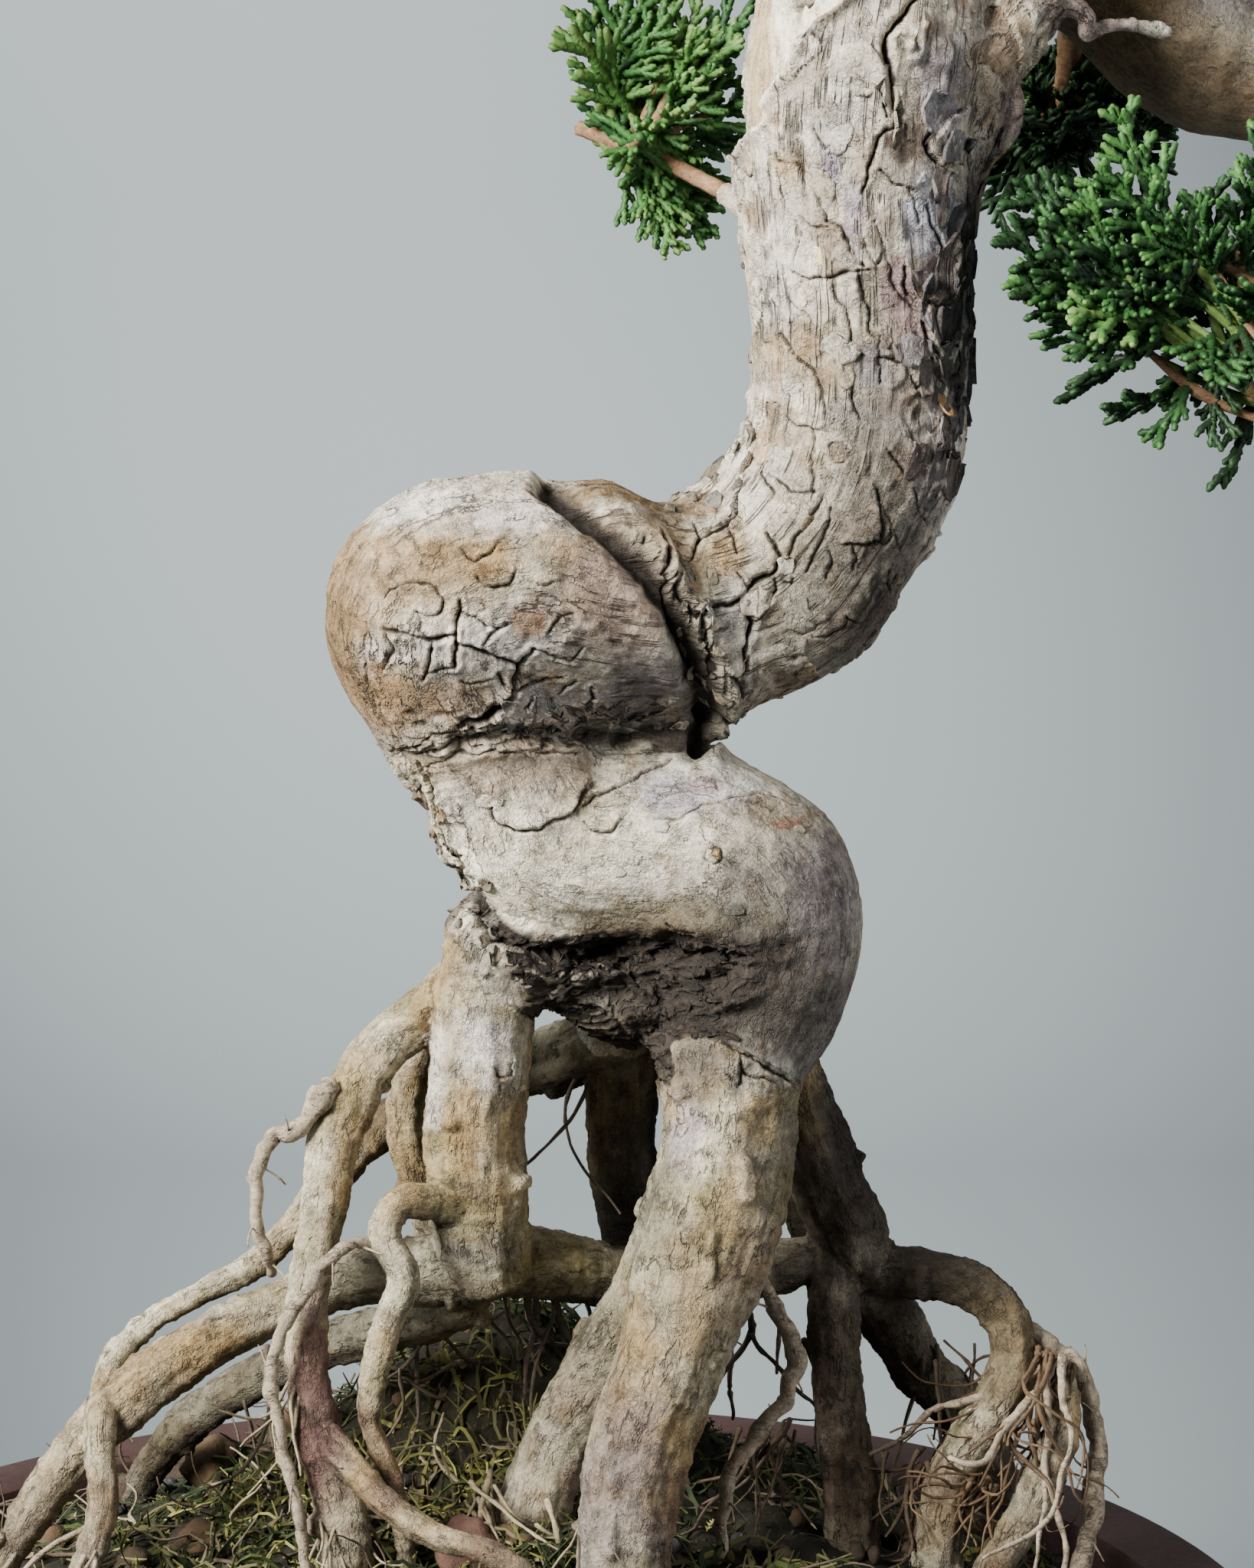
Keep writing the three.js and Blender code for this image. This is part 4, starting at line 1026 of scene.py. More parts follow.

# Stains, and patches of painted shade and painted light, on the bark.
STAINS_LIGHT_AND_SHADE: tuple[StainLightOrShade, ...] = (
    StainLightOrShade((-17, -14, 203), (9, 14, 13), TAN, 0.92),
    StainLightOrShade((-5, -19, 206), (15, 14, 9), (0.52, 0.385, 0.235), 0.5),
    StainLightOrShade((-9, -19, 205), (7, 12, 6), TAN, 0.6),
    StainLightOrShade((-6, -9, 172), (9, 13, 12), (0.7, 0.61, 0.42), 0.6),
    StainLightOrShade((-2, -20, 207), (8, 10, 4), TAN, 0.75),
    # Painted highlights on the bulge's top and front.
    StainLightOrShade((-8, -14, 213.5), (9, 10, 3.5), PAINTED_HIGHLIGHT, 0.8),
    StainLightOrShade((7, -18, 212.5), (9, 8, 3.0), PAINTED_HIGHLIGHT, 0.65),
    StainLightOrShade((3, -22, 197), (12, 10, 5.5), PAINTED_HIGHLIGHT, 0.6),
    StainLightOrShade((-12, -20, 195), (4, 10, 3), PAINTED_HIGHLIGHT, 0.6),
    StainLightOrShade((18.5, -17, 203), (8, 12, 9), (0.37, 0.27, 0.22), 0.7),
    StainLightOrShade((13, -20, 201), (7, 10, 6), (0.28, 0.205, 0.16), 0.6),
    StainLightOrShade((20, -14, 189.5), (8, 12, 7), (0.25, 0.215, 0.21), 0.75),
    StainLightOrShade((-18, -12, 198), (5, 14, 7), (0.2, 0.13, 0.06), 0.75),
    StainLightOrShade((-12, -14, 191.5), (7, 12, 4.5), TAN, 0.85),
    StainLightOrShade((9, -16, 189), (9, 10, 3.4), (0.46, 0.42, 0.38), 0.75),
    StainLightOrShade((6.4, -21.7, 199.5), (2.8, 4, 2.6), (0.2, 0.105, 0.05), 0.85),
    StainLightOrShade((-3, -20, 190), (7, 9, 3), (0.24, 0.15, 0.085), 0.6),
    StainLightOrShade((1.7, -22.5, 206.9), (3.6, 5, 2.6), HONEY, 0.5),
    StainLightOrShade((-10, -18, 191), (4, 8, 3), TAN, 0.7),
    # Painted light below the waist.
    StainLightOrShade((8, -15, 180), (12, 10, 3.4), (0.6, 0.48, 0.38), 0.7),
    StainLightOrShade((-3, -13, 176), (4, 8, 4), PAINTED_HIGHLIGHT, 0.6),
    # Painted light on the tube's top.
    StainLightOrShade((2, -12, 168), (9, 10, 9), (0.8, 0.74, 0.56), 0.8),
    StainLightOrShade((13, -14, 169), (16, 10, 7.5), (0.78, 0.725, 0.57), 0.75),
    StainLightOrShade((28, -12, 168), (15, 10, 8), (0.62, 0.56, 0.46), 0.4),
    # Painted shadow in the waist fold, and painted shade under the knee and on the tube's lower side.
    StainLightOrShade((25, -10, 184), (8, 14, 2.8), (0.05, 0.04, 0.032), 0.95),
    StainLightOrShade((44, -9, 149), (9, 14, 14), (0.14, 0.12, 0.108), 0.9),
    StainLightOrShade((30, -13, 161.5), (15, 12, 5), (0.24, 0.215, 0.155), 0.7),
    StainLightOrShade((-12, -16, 190), (9, 12, 6), (0.27, 0.165, 0.08), 0.75),
    StainLightOrShade((2, -14, 181), (14, 10, 4), (0.42, 0.32, 0.22), 0.55),
    # Painted light on the tube's top.
    StainLightOrShade((16, -14, 171), (16, 10, 5), (0.74, 0.68, 0.5), 0.45),
    # Painted shade on the elbow's lower right and under the tube.
    StainLightOrShade((50, -8, 205), (10, 14, 14), (0.175, 0.15, 0.118), 0.75),
    StainLightOrShade((51, -12, 222), (7, 10, 13), (0.27, 0.228, 0.185), 0.6),
    StainLightOrShade((37, -10, 162), (14, 14, 8), (0.2, 0.172, 0.142), 0.75),
    StainLightOrShade((44, -14, 256), (1.5, 6, 5), MAUVE, 0.9),
    StainLightOrShade((47, -14, 250), (1.5, 6, 5), MAUVE, 0.9),
    StainLightOrShade((52.5, -13, 240.5), (2.6, 6, 6), ROSE, 0.85),
    StainLightOrShade((55.5, -12, 234.5), (2.4, 6, 4), ROSE, 0.8),
    StainLightOrShade((49.5, -12, 231.5), (3.2, 6, 3.4), (0.27, 0.25, 0.26), 0.7),
    StainLightOrShade((57.5, -11, 250), (5.2, 10, 6.5), (0.62, 0.61, 0.66), 0.92),
    StainLightOrShade((57.5, -13, 266), (4.2, 7, 7), (0.34, 0.30, 0.305), 0.9),
    StainLightOrShade((53.5, -14, 258.5), (4.2, 6, 3.2), UMBER, 0.85),
    StainLightOrShade((54.5, -11, 219.5), (4, 6, 3), UMBER, 0.55),
    StainLightOrShade((52.6, -11, 227), (5, 6, 3), (0.2, 0.145, 0.11), 0.6),
    StainLightOrShade((58.3, -9, 242.4), (3.8, 6, 3.4), (0.19, 0.15, 0.14), 0.8),
    StainLightOrShade((60.5, -8, 236.4), (3.4, 6, 4), (0.2, 0.165, 0.16), 0.8),
    StainLightOrShade((62.5, -3, 240), (3.5, 10, 22), (0.36, 0.33, 0.33), 0.6),
    StainLightOrShade((48.5, -14, 256), (2.2, 5, 4), (0.27, 0.19, 0.12), 0.6),
    StainLightOrShade((39.4, -11.4, 256.2), (2.6, 4, 2.8), HONEY, 0.65),
    StainLightOrShade((37.8, -6, 231.5), (2.5, 5, 1.6), HONEY, 0.4),
    # Painted highlight on the upright's left side.
    StainLightOrShade((37, -12, 243), (5, 8, 14), PAINTED_HIGHLIGHT, 0.3),
    StainLightOrShade((42, -10, 218.9), (3, 5, 2.4), TAN, 0.5),
    # Painted highlight on the elbow's left.
    StainLightOrShade((31.4, -10, 199), (4, 8, 5), PAINTED_HIGHLIGHT, 0.5),
    StainLightOrShade((49.5, -12, 219.5), (5, 8, 4), (0.22, 0.18, 0.14), 0.6),
    StainLightOrShade((50, -14, 249), (3, 6, 3.4), (0.28, 0.21, 0.165), 0.6),
    StainLightOrShade((46, -12, 206), (8, 10, 6), (0.27, 0.235, 0.18), 0.5),
    # Painted shade on the elbow's right edge.
    StainLightOrShade((57.5, -8, 213), (4, 12, 7), (0.17, 0.145, 0.14), 0.7),
    StainLightOrShade((47, -14, 270), (5, 7, 10), (0.5, 0.46, 0.38), 0.6),
    # Painted light on the tube's top, and low on the trunk's left.
    StainLightOrShade((28, -10, 177.6), (12, 10, 3), (0.74, 0.69, 0.64), 0.7),
    StainLightOrShade((0.8, -8, 143.5), (5, 9, 7), PAINTED_HIGHLIGHT, 0.8, False),
    StainLightOrShade((24, -4, 213.4), (8, 10, 3.2), (0.17, 0.112, 0.056), 0.88),
    StainLightOrShade((48, -10, 211), (4.2, 6, 3.4), (0.22, 0.165, 0.12), 0.5),
    StainLightOrShade((50, -5, 199), (9, 9, 3), (0.2, 0.15, 0.115), 0.65),
    StainLightOrShade((36, -4, 190.5), (10, 9, 3), (0.3, 0.235, 0.17), 0.5),
    StainLightOrShade((29, -10, 197), (2.2, 8, 12), (0.33, 0.305, 0.23), 0.55),
    StainLightOrShade((16, -6, 214.8), (7, 10, 3.2), (0.18, 0.118, 0.052), 0.92),
    StainLightOrShade((24.7, -11, 176.5), (5.5, 7, 3), (0.32, 0.29, 0.31), 0.8),
    StainLightOrShade((28.8, -9, 177.6), (2.4, 5, 0.9), (0.3, 0.17, 0.18), 0.7),
    StainLightOrShade((39.5, -8, 172.8), (2.4, 5, 0.9), (0.28, 0.13, 0.07), 0.75),
    StainLightOrShade((37, -9, 175), (4.5, 6, 2.4), TAN, 0.45),
    StainLightOrShade((30, -13, 169.5), (1.0, 3, 1.0), HONEY, 0.9),
    # Painted shade on the tube's right side.
    StainLightOrShade((44, -8, 163), (7, 12, 11), (0.2, 0.175, 0.165), 0.8),
    StainLightOrShade((20, -9, 159.6), (11, 8, 3), TAN, 0.6),
    # Painted shade under the tube and under the knee.
    StainLightOrShade((24, -12, 160.5), (15, 8, 4), (0.17, 0.14, 0.09), 0.85),
    StainLightOrShade((34, -9, 155), (9, 12, 5.5), (0.075, 0.058, 0.043), 0.92),
    StainLightOrShade((26, -10, 148.5), (8, 14, 8), (0.03, 0.024, 0.019), 0.97),
    StainLightOrShade((36, -11, 150.5), (9, 14, 9.5), (0.085, 0.07, 0.056), 0.92),
    StainLightOrShade((36, -15, 137), (3.5, 6, 6), (0.36, 0.25, 0.11), 0.75, False),
    StainLightOrShade((33.4, -18, 126.4), (3, 5, 9), HONEY, 0.5, False),
    StainLightOrShade((26.6, -14, 133), (3, 5, 6), MAUVE, 0.5, False),
    StainLightOrShade((17, -26, 90), (8, 12, 14), (0.17, 0.14, 0.13), 0.8, False),
    StainLightOrShade((27, -22, 112), (3, 5, 10), (0.34, 0.24, 0.12), 0.55, False),
    StainLightOrShade((-2, -12, 133), (3.4, 6, 9), HONEY, 0.6, False),
    # Painted highlight on the left leg.
    StainLightOrShade((-6, -10, 140), (2, 5, 8), PAINTED_HIGHLIGHT, 0.6, False),
    StainLightOrShade((-21, -20, 98), (6, 12, 18), (0.12, 0.058, 0.05), 0.92, False),
    StainLightOrShade((13, -9, 98), (7, 10, 20), (0.235, 0.205, 0.135), 0.75, False),
    StainLightOrShade((-38, -10, 106), (8, 6, 2.5), TAN, 0.5, False),
    StainLightOrShade((-14, -10, 118), (8, 10, 7), (0.30, 0.26, 0.17), 0.5, False),
    # Painted shade on the roots on the right and further back.
    StainLightOrShade((50, 9, 127), (11, 13, 22), (0.030, 0.023, 0.019), 0.94, False),
    StainLightOrShade((44, 5, 98), (8, 12, 28), (0.11, 0.082, 0.06), 0.8, False),
    StainLightOrShade((56, 14, 108), (11, 14, 12), (0.19, 0.15, 0.115), 0.7, False),
    StainLightOrShade((66, 6, 111), (15, 14, 9), (0.085, 0.062, 0.038), 0.9, False),
    StainLightOrShade((68, 4, 100), (11, 12, 10), (0.12, 0.088, 0.042), 0.8, False),
    StainLightOrShade((28, -12, 142), (6, 12, 5), (0.13, 0.108, 0.082), 0.85, False),
    StainLightOrShade((36, -12, 141), (6, 10, 3.5), (0.42, 0.39, 0.33), 0.7, False),
    StainLightOrShade((60, -6, 227.5), (4, 8, 5), (0.4, 0.36, 0.33), 0.6),
    StainLightOrShade((61, -5, 273), (4, 8, 5), (0.42, 0.38, 0.36), 0.6),
    StainLightOrShade((45.5, -14, 263), (3.4, 6, 5), (0.6, 0.56, 0.47), 0.6),
    StainLightOrShade((63, 0, 254), (3, 6, 5), (0.27, 0.2, 0.185), 0.85),
    StainLightOrShade((68, -3, 264.5), (3.2, 6, 6), (0.25, 0.18, 0.165), 0.85),
    StainLightOrShade((76, -2, 275), (9, 7, 3.6), (0.25, 0.18, 0.165), 0.85),
    StainLightOrShade((34, -10, 112), (5, 14, 30), (0.36, 0.31, 0.24), 0.5, False),
    StainLightOrShade((4, -14, 92), (9, 12, 12), (0.3, 0.25, 0.2), 0.5, False),
    # Painted shade on the back column.
    StainLightOrShade((22, 22, 122), (12, 14, 27), (0.034, 0.027, 0.021), 0.92, False),
    StainLightOrShade((-60, -12, 86), (16, 14, 15), (0.28, 0.225, 0.15), 0.6, False),
    StainLightOrShade((-50, -10, 92), (12, 14, 6), (0.32, 0.25, 0.15), 0.5, False),
)

# Painted light and painted shade on the bark's front: a factor above 1 lightens, below 1 darkens.
SHADES: tuple[Shade, ...] = (
    Shade(48.5, 200, 7, 6, 0.58), Shade(44, 195, 6, 4, 0.7), Shade(53, 208, 5, 6, 0.7),
    Shade(51, 219, 6, 7, 0.72), Shade(46, 231, 6, 8, 0.88), Shade(24, 187, 4, 6, 0.6),
    Shade(31, 187.5, 5, 4, 0.65), Shade(13, 193, 6, 5, 0.88), Shade(-15, 201, 5, 6, 0.85),
    Shade(35, 160.5, 8, 4.5, 0.6), Shade(25, 153, 6, 5, 0.4), Shade(36, 147, 5, 6, 0.6),
    Shade(34, 169, 8, 5, 0.85), Shade(42, 167, 4, 6, 0.78), Shade(60, 228, 2.6, 14, 2.0),
    Shade(57.5, 210, 3, 8, 1.6), Shade(47.5, 161, 2, 8, 1.3), Shade(26.5, 201, 5, 5, 1.35),
    Shade(-1, 186, 6, 4, 1.25), Shade(10, 151, 4, 4, 1.7), Shade(11, 141, 4, 4, 1.5),
    Shade(-16, 114, 4, 5, 0.65), Shade(20, 125, 5, 9, 0.35), Shade(40, 131, 4, 7, 0.6),
    Shade(62, 110, 7, 5, 0.5), Shade(10, 108, 8, 5, 0.5), Shade(-35, 88, 16, 5, 0.75),
)

KNOBS: tuple[Knob, ...] = (
    Knob((53.3, -14.5, 270.4), 1.8, 2.2, 0.45),
    Knob((57.1, -12.6, 269.8), 1.6, 1.9, 0.45),
    Knob((55.3, -14.0, 273.0), 1.4, 1.3),
    Knob((0.6, -10.8, 153.8), 1.6, 0.9, 0.4),
    Knob((-1.4, -11.1, 149.4), 1.2, 0.6, 0.4),
    Knob((-4.4, -10.7, 142.4), 1.2, 0.6, 0.4),
    Knob((-5.7, -10.2, 133.8), 1.1, 0.8, 0.4),
    Knob((33.0, -15.2, 136.7), 0.8, 0.6),
    Knob((38.5, -12.7, 135.1), 0.8, 0.5),
    Knob((30.2, -14.8, 139.1), 0.8, 0.4),
    Knob((27.1, -18.2, 125.5), 0.7, 0.5),
    Knob((30.0, -13.2, 169.5), 0.8, 0.35),
)

CRACKS: tuple[Crack, ...] = (
    Crack(0.42, 0.9, 0, ((601, 785), (598, 805), (597, 830), (598, 850), (596, 872))),
    Crack(0.42, 0.9, 0, ((500, 820), (520, 824), (540, 830), (555, 834), (575, 833), (590, 828),
        (597, 826))),
    Crack(0.45, 0.9, 0, ((597, 838), (615, 843), (630, 850), (645, 856), (660, 864), (680, 875))),
    Crack(0.5, 1, 0, ((695, 850), (685, 862), (680, 875), (676, 888), (672, 902))),
    Crack(0.38, 0.8, 0, ((504, 824), (509, 838), (512, 848), (508, 860), (503, 872))),
    Crack(0.36, 0.8, 0, ((564, 835), (562, 850), (559, 868), (555, 887))),
    Crack(0.3, 0.6, 0, ((654, 883), (662, 893), (672, 902))),
    Crack(0.34, 0.7, 0, ((672, 902), (695, 897), (714, 892), (735, 889))),
    Crack(0.75, 1.3, 0, ((670, 905), (664, 920), (650, 928), (640, 938), (625, 944), (598, 947))),
    Crack(0.26, 0.5, 0, ((605, 800), (620, 806), (635, 815), (650, 818), (661, 812))),
    Crack(0.3, 0.6, 0, ((651, 818), (642, 828), (636, 840))),
    Crack(0.2, 0.35, 0, ((545, 800), (548, 808), (548, 820), (558, 832))),
    Crack(0.26, 0.5, 0, ((473, 845), (478, 865), (481, 885), (485, 908))),
    Crack(0.2, 0.35, 0.25, ((497, 790), (500, 778), (508, 769), (522, 764), (540, 760), (560, 762),
        (574, 771), (579, 785), (573, 799), (560, 804), (545, 800))),
    Crack(0.2, 0.35, 0.2, ((646, 710), (637, 722), (625, 730), (612, 727), (603, 716))),
    Crack(0.22, 0.4, 0.25, ((671, 748), (665, 765), (652, 768), (638, 763), (625, 752))),
    Crack(0.18, 0.3, 0.2, ((725, 759), (712, 765), (702, 757))),
    Crack(0.2, 0.4, 0, ((717, 826), (726, 815), (735, 803), (750, 800))),
    Crack(0.22, 0.4, 0, ((695, 850), (712, 852), (730, 860), (748, 866), (760, 850))),
    Crack(0.24, 0.5, 0, ((755, 890), (740, 900), (728, 912), (722, 930), (735, 940))),
    Crack(0.26, 0.5, 0, ((762, 930), (775, 915), (770, 902))),
    Crack(0.26, 0.5, 0, ((700, 930), (706, 918), (690, 922), (678, 930), (660, 935))),
    Crack(0.26, 0.5, 0, ((762, 932), (785, 936), (806, 940), (825, 945))),
    Crack(0.22, 0.4, 0, ((560, 880), (575, 876), (590, 873), (597, 868))),
    Crack(0.2, 0.35, 0, ((600, 893), (615, 897), (635, 893), (652, 886))),
    Crack(0.22, 0.45, 0, ((532, 992), (555, 982), (590, 972), (630, 965), (670, 960), (710, 956),
        (745, 955))),
    Crack(0.2, 0.4, 0, ((556, 965), (590, 955), (630, 952), (668, 948), (700, 948))),
    Crack(0.24, 0.5, 0, ((640, 972), (670, 968), (700, 966), (730, 968), (765, 975))),
    Crack(0.24, 0.5, 0, ((740, 950), (762, 960), (775, 975), (785, 985))),
    Crack(0.2, 0.35, 0, ((548, 1003), (590, 988), (640, 980), (700, 980), (760, 985), (820, 990))),
    Crack(0.18, 0.3, 0, ((512, 985), (530, 975), (555, 968))),
    Crack(0.45, 0.9, 0, ((867, 690), (869, 710), (871, 730), (866, 748))),
    Crack(0.3, 0.6, 0, ((902, 730), (910, 712), (913, 695), (908, 680))),
    Crack(0.32, 0.7, 0, ((912, 700), (930, 690), (951, 681), (958, 665), (960, 650))),
    Crack(0.26, 0.5, 0, ((951, 681), (957, 702), (961, 722))),
    Crack(0.36, 0.7, 0, ((960, 612), (963, 625), (958, 640), (956, 655))),
    Crack(0.36, 0.8, 0.2, ((1004, 700), (1010, 710), (1016, 725), (1014, 740), (1005, 752),
        (985, 756), (974, 765), (966, 780), (955, 790), (935, 796), (915, 799))),
    Crack(0.3, 0.6, 0, ((1012, 752), (1013, 768), (1003, 785), (993, 800), (987, 812))),
    Crack(0.22, 0.4, 0, ((962, 746), (970, 755), (975, 763))),
    Crack(0.42, 0.9, 0, ((967, 790), (975, 800), (981, 815), (978, 830), (973, 845), (969, 860),
        (966, 872), (950, 877))),
    Crack(0.55, 1, 0, ((885, 760), (895, 780), (905, 795), (915, 806), (920, 822), (925, 845),
        (930, 870), (925, 892))),
    Crack(0.5, 1, 0, ((870, 750), (878, 775), (888, 800), (895, 820), (900, 840), (905, 862),
        (912, 882), (924, 895))),
    Crack(0.3, 0.5, 0, ((902, 840), (912, 836), (922, 838))),
    Crack(0.3, 0.6, 0, ((925, 895), (935, 880), (942, 870), (955, 880), (958, 895))),
    Crack(0.24, 0.5, 0, ((1022, 735), (1031, 720), (1037, 702), (1050, 690), (1061, 670), (1072, 653))),
    Crack(0.26, 0.5, 0, ((1056, 590), (1064, 605), (1063, 625), (1061, 642))),
    Crack(0.22, 0.4, 0.2, ((1064, 643), (1047, 644), (1033, 640), (1018, 630), (1005, 618))),
    Crack(0.22, 0.45, 0, ((1052, 745), (1056, 733), (1066, 720), (1075, 703), (1083, 685), (1084, 662))),
    Crack(0.24, 0.5, 0.3, ((1143, 640), (1151, 655), (1151, 680), (1149, 705), (1135, 710),
        (1120, 714), (1103, 710))),
    Crack(0.22, 0.4, 0, ((1083, 720), (1085, 738), (1080, 755))),
    Crack(0.2, 0.4, 0, ((1140, 705), (1155, 712), (1163, 703), (1160, 690))),
    Crack(0.22, 0.4, 0, ((1163, 745), (1160, 762), (1162, 775))),
    Crack(0.22, 0.4, 0, ((1112, 715), (1118, 730), (1115, 742))),
    Crack(0.24, 0.5, 0, ((1100, 798), (1112, 802), (1128, 805))),
    Crack(0.2, 0.3, 0, ((1058, 828), (1075, 822), (1093, 812), (1100, 800))),
    Crack(0.18, 0.3, 0, ((1155, 660), (1162, 680), (1168, 700), (1178, 720))),
    Crack(0.18, 0.3, 0, ((1195, 640), (1200, 660), (1207, 675), (1215, 690))),
    Crack(0.24, 0.5, 0, ((1023, 758), (1030, 765), (1035, 756))),
    Crack(0.5, 0.9, 0, ((1022, 843), (1030, 848), (1036, 852))),
    Crack(0.22, 0.4, 0, ((1000, 600), (992, 615), (1000, 632), (1008, 640), (1000, 655))),
    Crack(0.6, 1.2, 0, ((1195, 2), (1180, 20), (1165, 35), (1156, 50), (1158, 70), (1160, 90),
        (1162, 110), (1166, 130), (1173, 150), (1170, 165))),
    Crack(0.36, 0.8, 0, ((1170, 168), (1155, 172), (1146, 180), (1141, 195), (1136, 215), (1131, 235),
        (1126, 255))),
    Crack(0.24, 0.5, 0.3, ((1060, 248), (1070, 262), (1078, 275), (1082, 290), (1098, 298),
        (1105, 315), (1115, 333), (1127, 346))),
    Crack(0.26, 0.5, 0.2, ((1132, 350), (1115, 354), (1097, 359), (1075, 364), (1055, 366),
        (1042, 361), (1032, 352))),
    Crack(0.24, 0.4, 0.2, ((1121, 360), (1127, 377), (1130, 400), (1133, 425), (1145, 442))),
    Crack(0.16, 0.3, 0, ((1012, 365), (1020, 383), (1035, 398), (1052, 413), (1058, 425))),
    Crack(0.2, 0.4, 0.3, ((1012, 430), (1025, 445), (1041, 463), (1056, 480), (1066, 495),
        (1071, 512), (1075, 530), (1075, 552))),
    Crack(0.22, 0.4, 0.35, ((1073, 563), (1064, 562), (1052, 556), (1038, 552), (1025, 543))),
    Crack(0.24, 0.5, 0, ((1060, 562), (1063, 590))),
    Crack(0.2, 0.4, 0.3, ((1100, 470), (1105, 490), (1110, 510), (1117, 530), (1121, 546))),
    Crack(0.2, 0.35, 0, ((1150, 440), (1148, 470), (1149, 500))),
    Crack(0.3, 0.6, 0.5, ((1250, 383), (1240, 395), (1220, 399), (1200, 396), (1187, 385),
        (1179, 370), (1181, 352))),
    Crack(0.3, 0.6, 0.5, ((1260, 425), (1252, 450), (1240, 462), (1227, 470), (1218, 456),
        (1210, 438), (1210, 415))),
    Crack(0.28, 0.5, 0, ((1158, 345), (1163, 360), (1170, 376), (1180, 392), (1193, 405), (1207, 411))),
    Crack(0.2, 0.4, 0, ((1188, 248), (1195, 268), (1200, 290))),
    Crack(0.26, 0.5, 0, ((1212, 270), (1219, 292), (1229, 315), (1237, 332))),
    Crack(0.2, 0.4, 0.25, ((1063, 168), (1068, 185), (1075, 197), (1083, 190))),
    Crack(0.3, 0.6, 0.6, ((1243, 228), (1227, 217), (1214, 203), (1210, 186), (1222, 167),
        (1240, 152), (1256, 145))),
    Crack(0.3, 0.6, 0, ((1258, 180), (1263, 195), (1268, 212), (1272, 235), (1275, 250))),
    Crack(0.16, 0.3, 0, ((1012, 228), (1016, 245), (1020, 262), (1021, 278))),
    Crack(0.18, 0.3, 0.2, ((1000, 205), (1010, 200), (1012, 212), (1025, 215), (1040, 210),
        (1048, 230), (1050, 245))),
    Crack(0.14, 0.3, 0, ((1038, 290), (1044, 310))),
    Crack(0.14, 0.3, 0, ((1041, 318), (1037, 332), (1033, 348))),
    Crack(0.22, 0.4, 0.4, ((1243, 570), (1238, 590), (1230, 585), (1220, 563), (1215, 545))),
    Crack(0.22, 0.4, 0.3, ((1190, 570), (1200, 585), (1195, 607), (1182, 617), (1172, 603), (1165, 590))),
    Crack(0.22, 0.4, 0.35, ((1205, 470), (1203, 495), (1198, 508), (1193, 490))),
    Crack(0.22, 0.4, 0.35, ((1195, 448), (1198, 462), (1190, 478), (1175, 478), (1165, 470),
        (1150, 465))),
    Crack(0.22, 0.4, 0.35, ((1108, 100), (1125, 102), (1140, 108), (1152, 120), (1155, 138),
        (1160, 155))),
    Crack(0.26, 0.5, 0.3, ((1135, 60), (1148, 78), (1155, 95), (1160, 100))),
    Crack(0.22, 0.4, 0.3, ((1203, 240), (1195, 248), (1180, 242), (1165, 238), (1150, 225))),
    Crack(0.2, 0.4, 0.2, ((1088, 375), (1093, 388), (1102, 400), (1108, 420), (1112, 445), (1115, 470))),
    Crack(0.18, 0.3, 0.2, ((1085, 296), (1070, 300), (1058, 298), (1045, 285))),
    Crack(0.18, 0.3, 0.15, ((1150, 328), (1150, 338), (1140, 345), (1131, 328), (1128, 310))),
    Crack(0.18, 0.3, 0, ((1140, 290), (1150, 308), (1156, 325), (1158, 342))),
    Crack(0.16, 0.3, 0, ((1218, 470), (1225, 485), (1232, 498), (1240, 480), (1248, 462))),
    Crack(0.18, 0.4, 0, ((1205, 420), (1213, 445), (1215, 460))),
    Crack(0.22, 0.5, 0, ((1253, 290), (1257, 320), (1262, 350), (1267, 380))),
    Crack(0.24, 0.5, 0.45, ((763, 1028), (755, 1040), (750, 1056), (740, 1066), (720, 1073),
        (700, 1082), (674, 1087), (655, 1079), (644, 1062), (640, 1042))),
    Crack(0.2, 0.3, 0.35, ((808, 1074), (800, 1084), (788, 1088), (773, 1082), (762, 1068))),
    Crack(0.16, 0.3, 0.25, ((900, 975), (880, 988), (850, 1000), (820, 1018), (790, 1035), (758, 1050))),
    Crack(0.14, 0.2, 0.15, ((940, 1046), (965, 1038), (990, 1034), (1015, 1034), (1050, 1046),
        (1080, 1065))),
    Crack(0.14, 0.2, 0.15, ((855, 1072), (890, 1066), (915, 1052), (945, 1046))),
    Crack(0.2, 0.3, 0.2, ((921, 1125), (925, 1110), (935, 1103), (944, 1106), (946, 1118),
        (936, 1128), (921, 1125))),
    Crack(0.16, 0.25, 0.2, ((870, 1205), (880, 1218), (893, 1225), (905, 1222))),
    Crack(0.3, 0.6, 0.3, ((925, 1352), (955, 1366), (985, 1382), (1010, 1398), (1040, 1414))),
    Crack(0.24, 0.4, 0.2, ((968, 1388), (972, 1402), (985, 1408), (1000, 1406), (1015, 1412))),
    Crack(0.22, 0.4, 0.2, ((968, 1395), (970, 1415), (962, 1420), (950, 1405))),
    Crack(0.9, 2.2, 0, ((672, 1238), (700, 1249), (750, 1254), (800, 1254), (850, 1251), (900, 1246),
        (950, 1246), (970, 1252))),
    Crack(0.8, 1.6, 0, ((600, 1122), (606, 1150), (619, 1178), (628, 1202), (642, 1224), (672, 1238))),
    Crack(0.5, 1, 0, ((543, 998), (556, 1020), (563, 1050), (570, 1080), (580, 1108))),
    Crack(0.2, 0.3, 0.15, ((554, 1358), (566, 1365), (560, 1390), (570, 1405))),
    Crack(0.2, 0.3, 0.15, ((648, 1395), (655, 1410), (668, 1402), (672, 1390))),
)


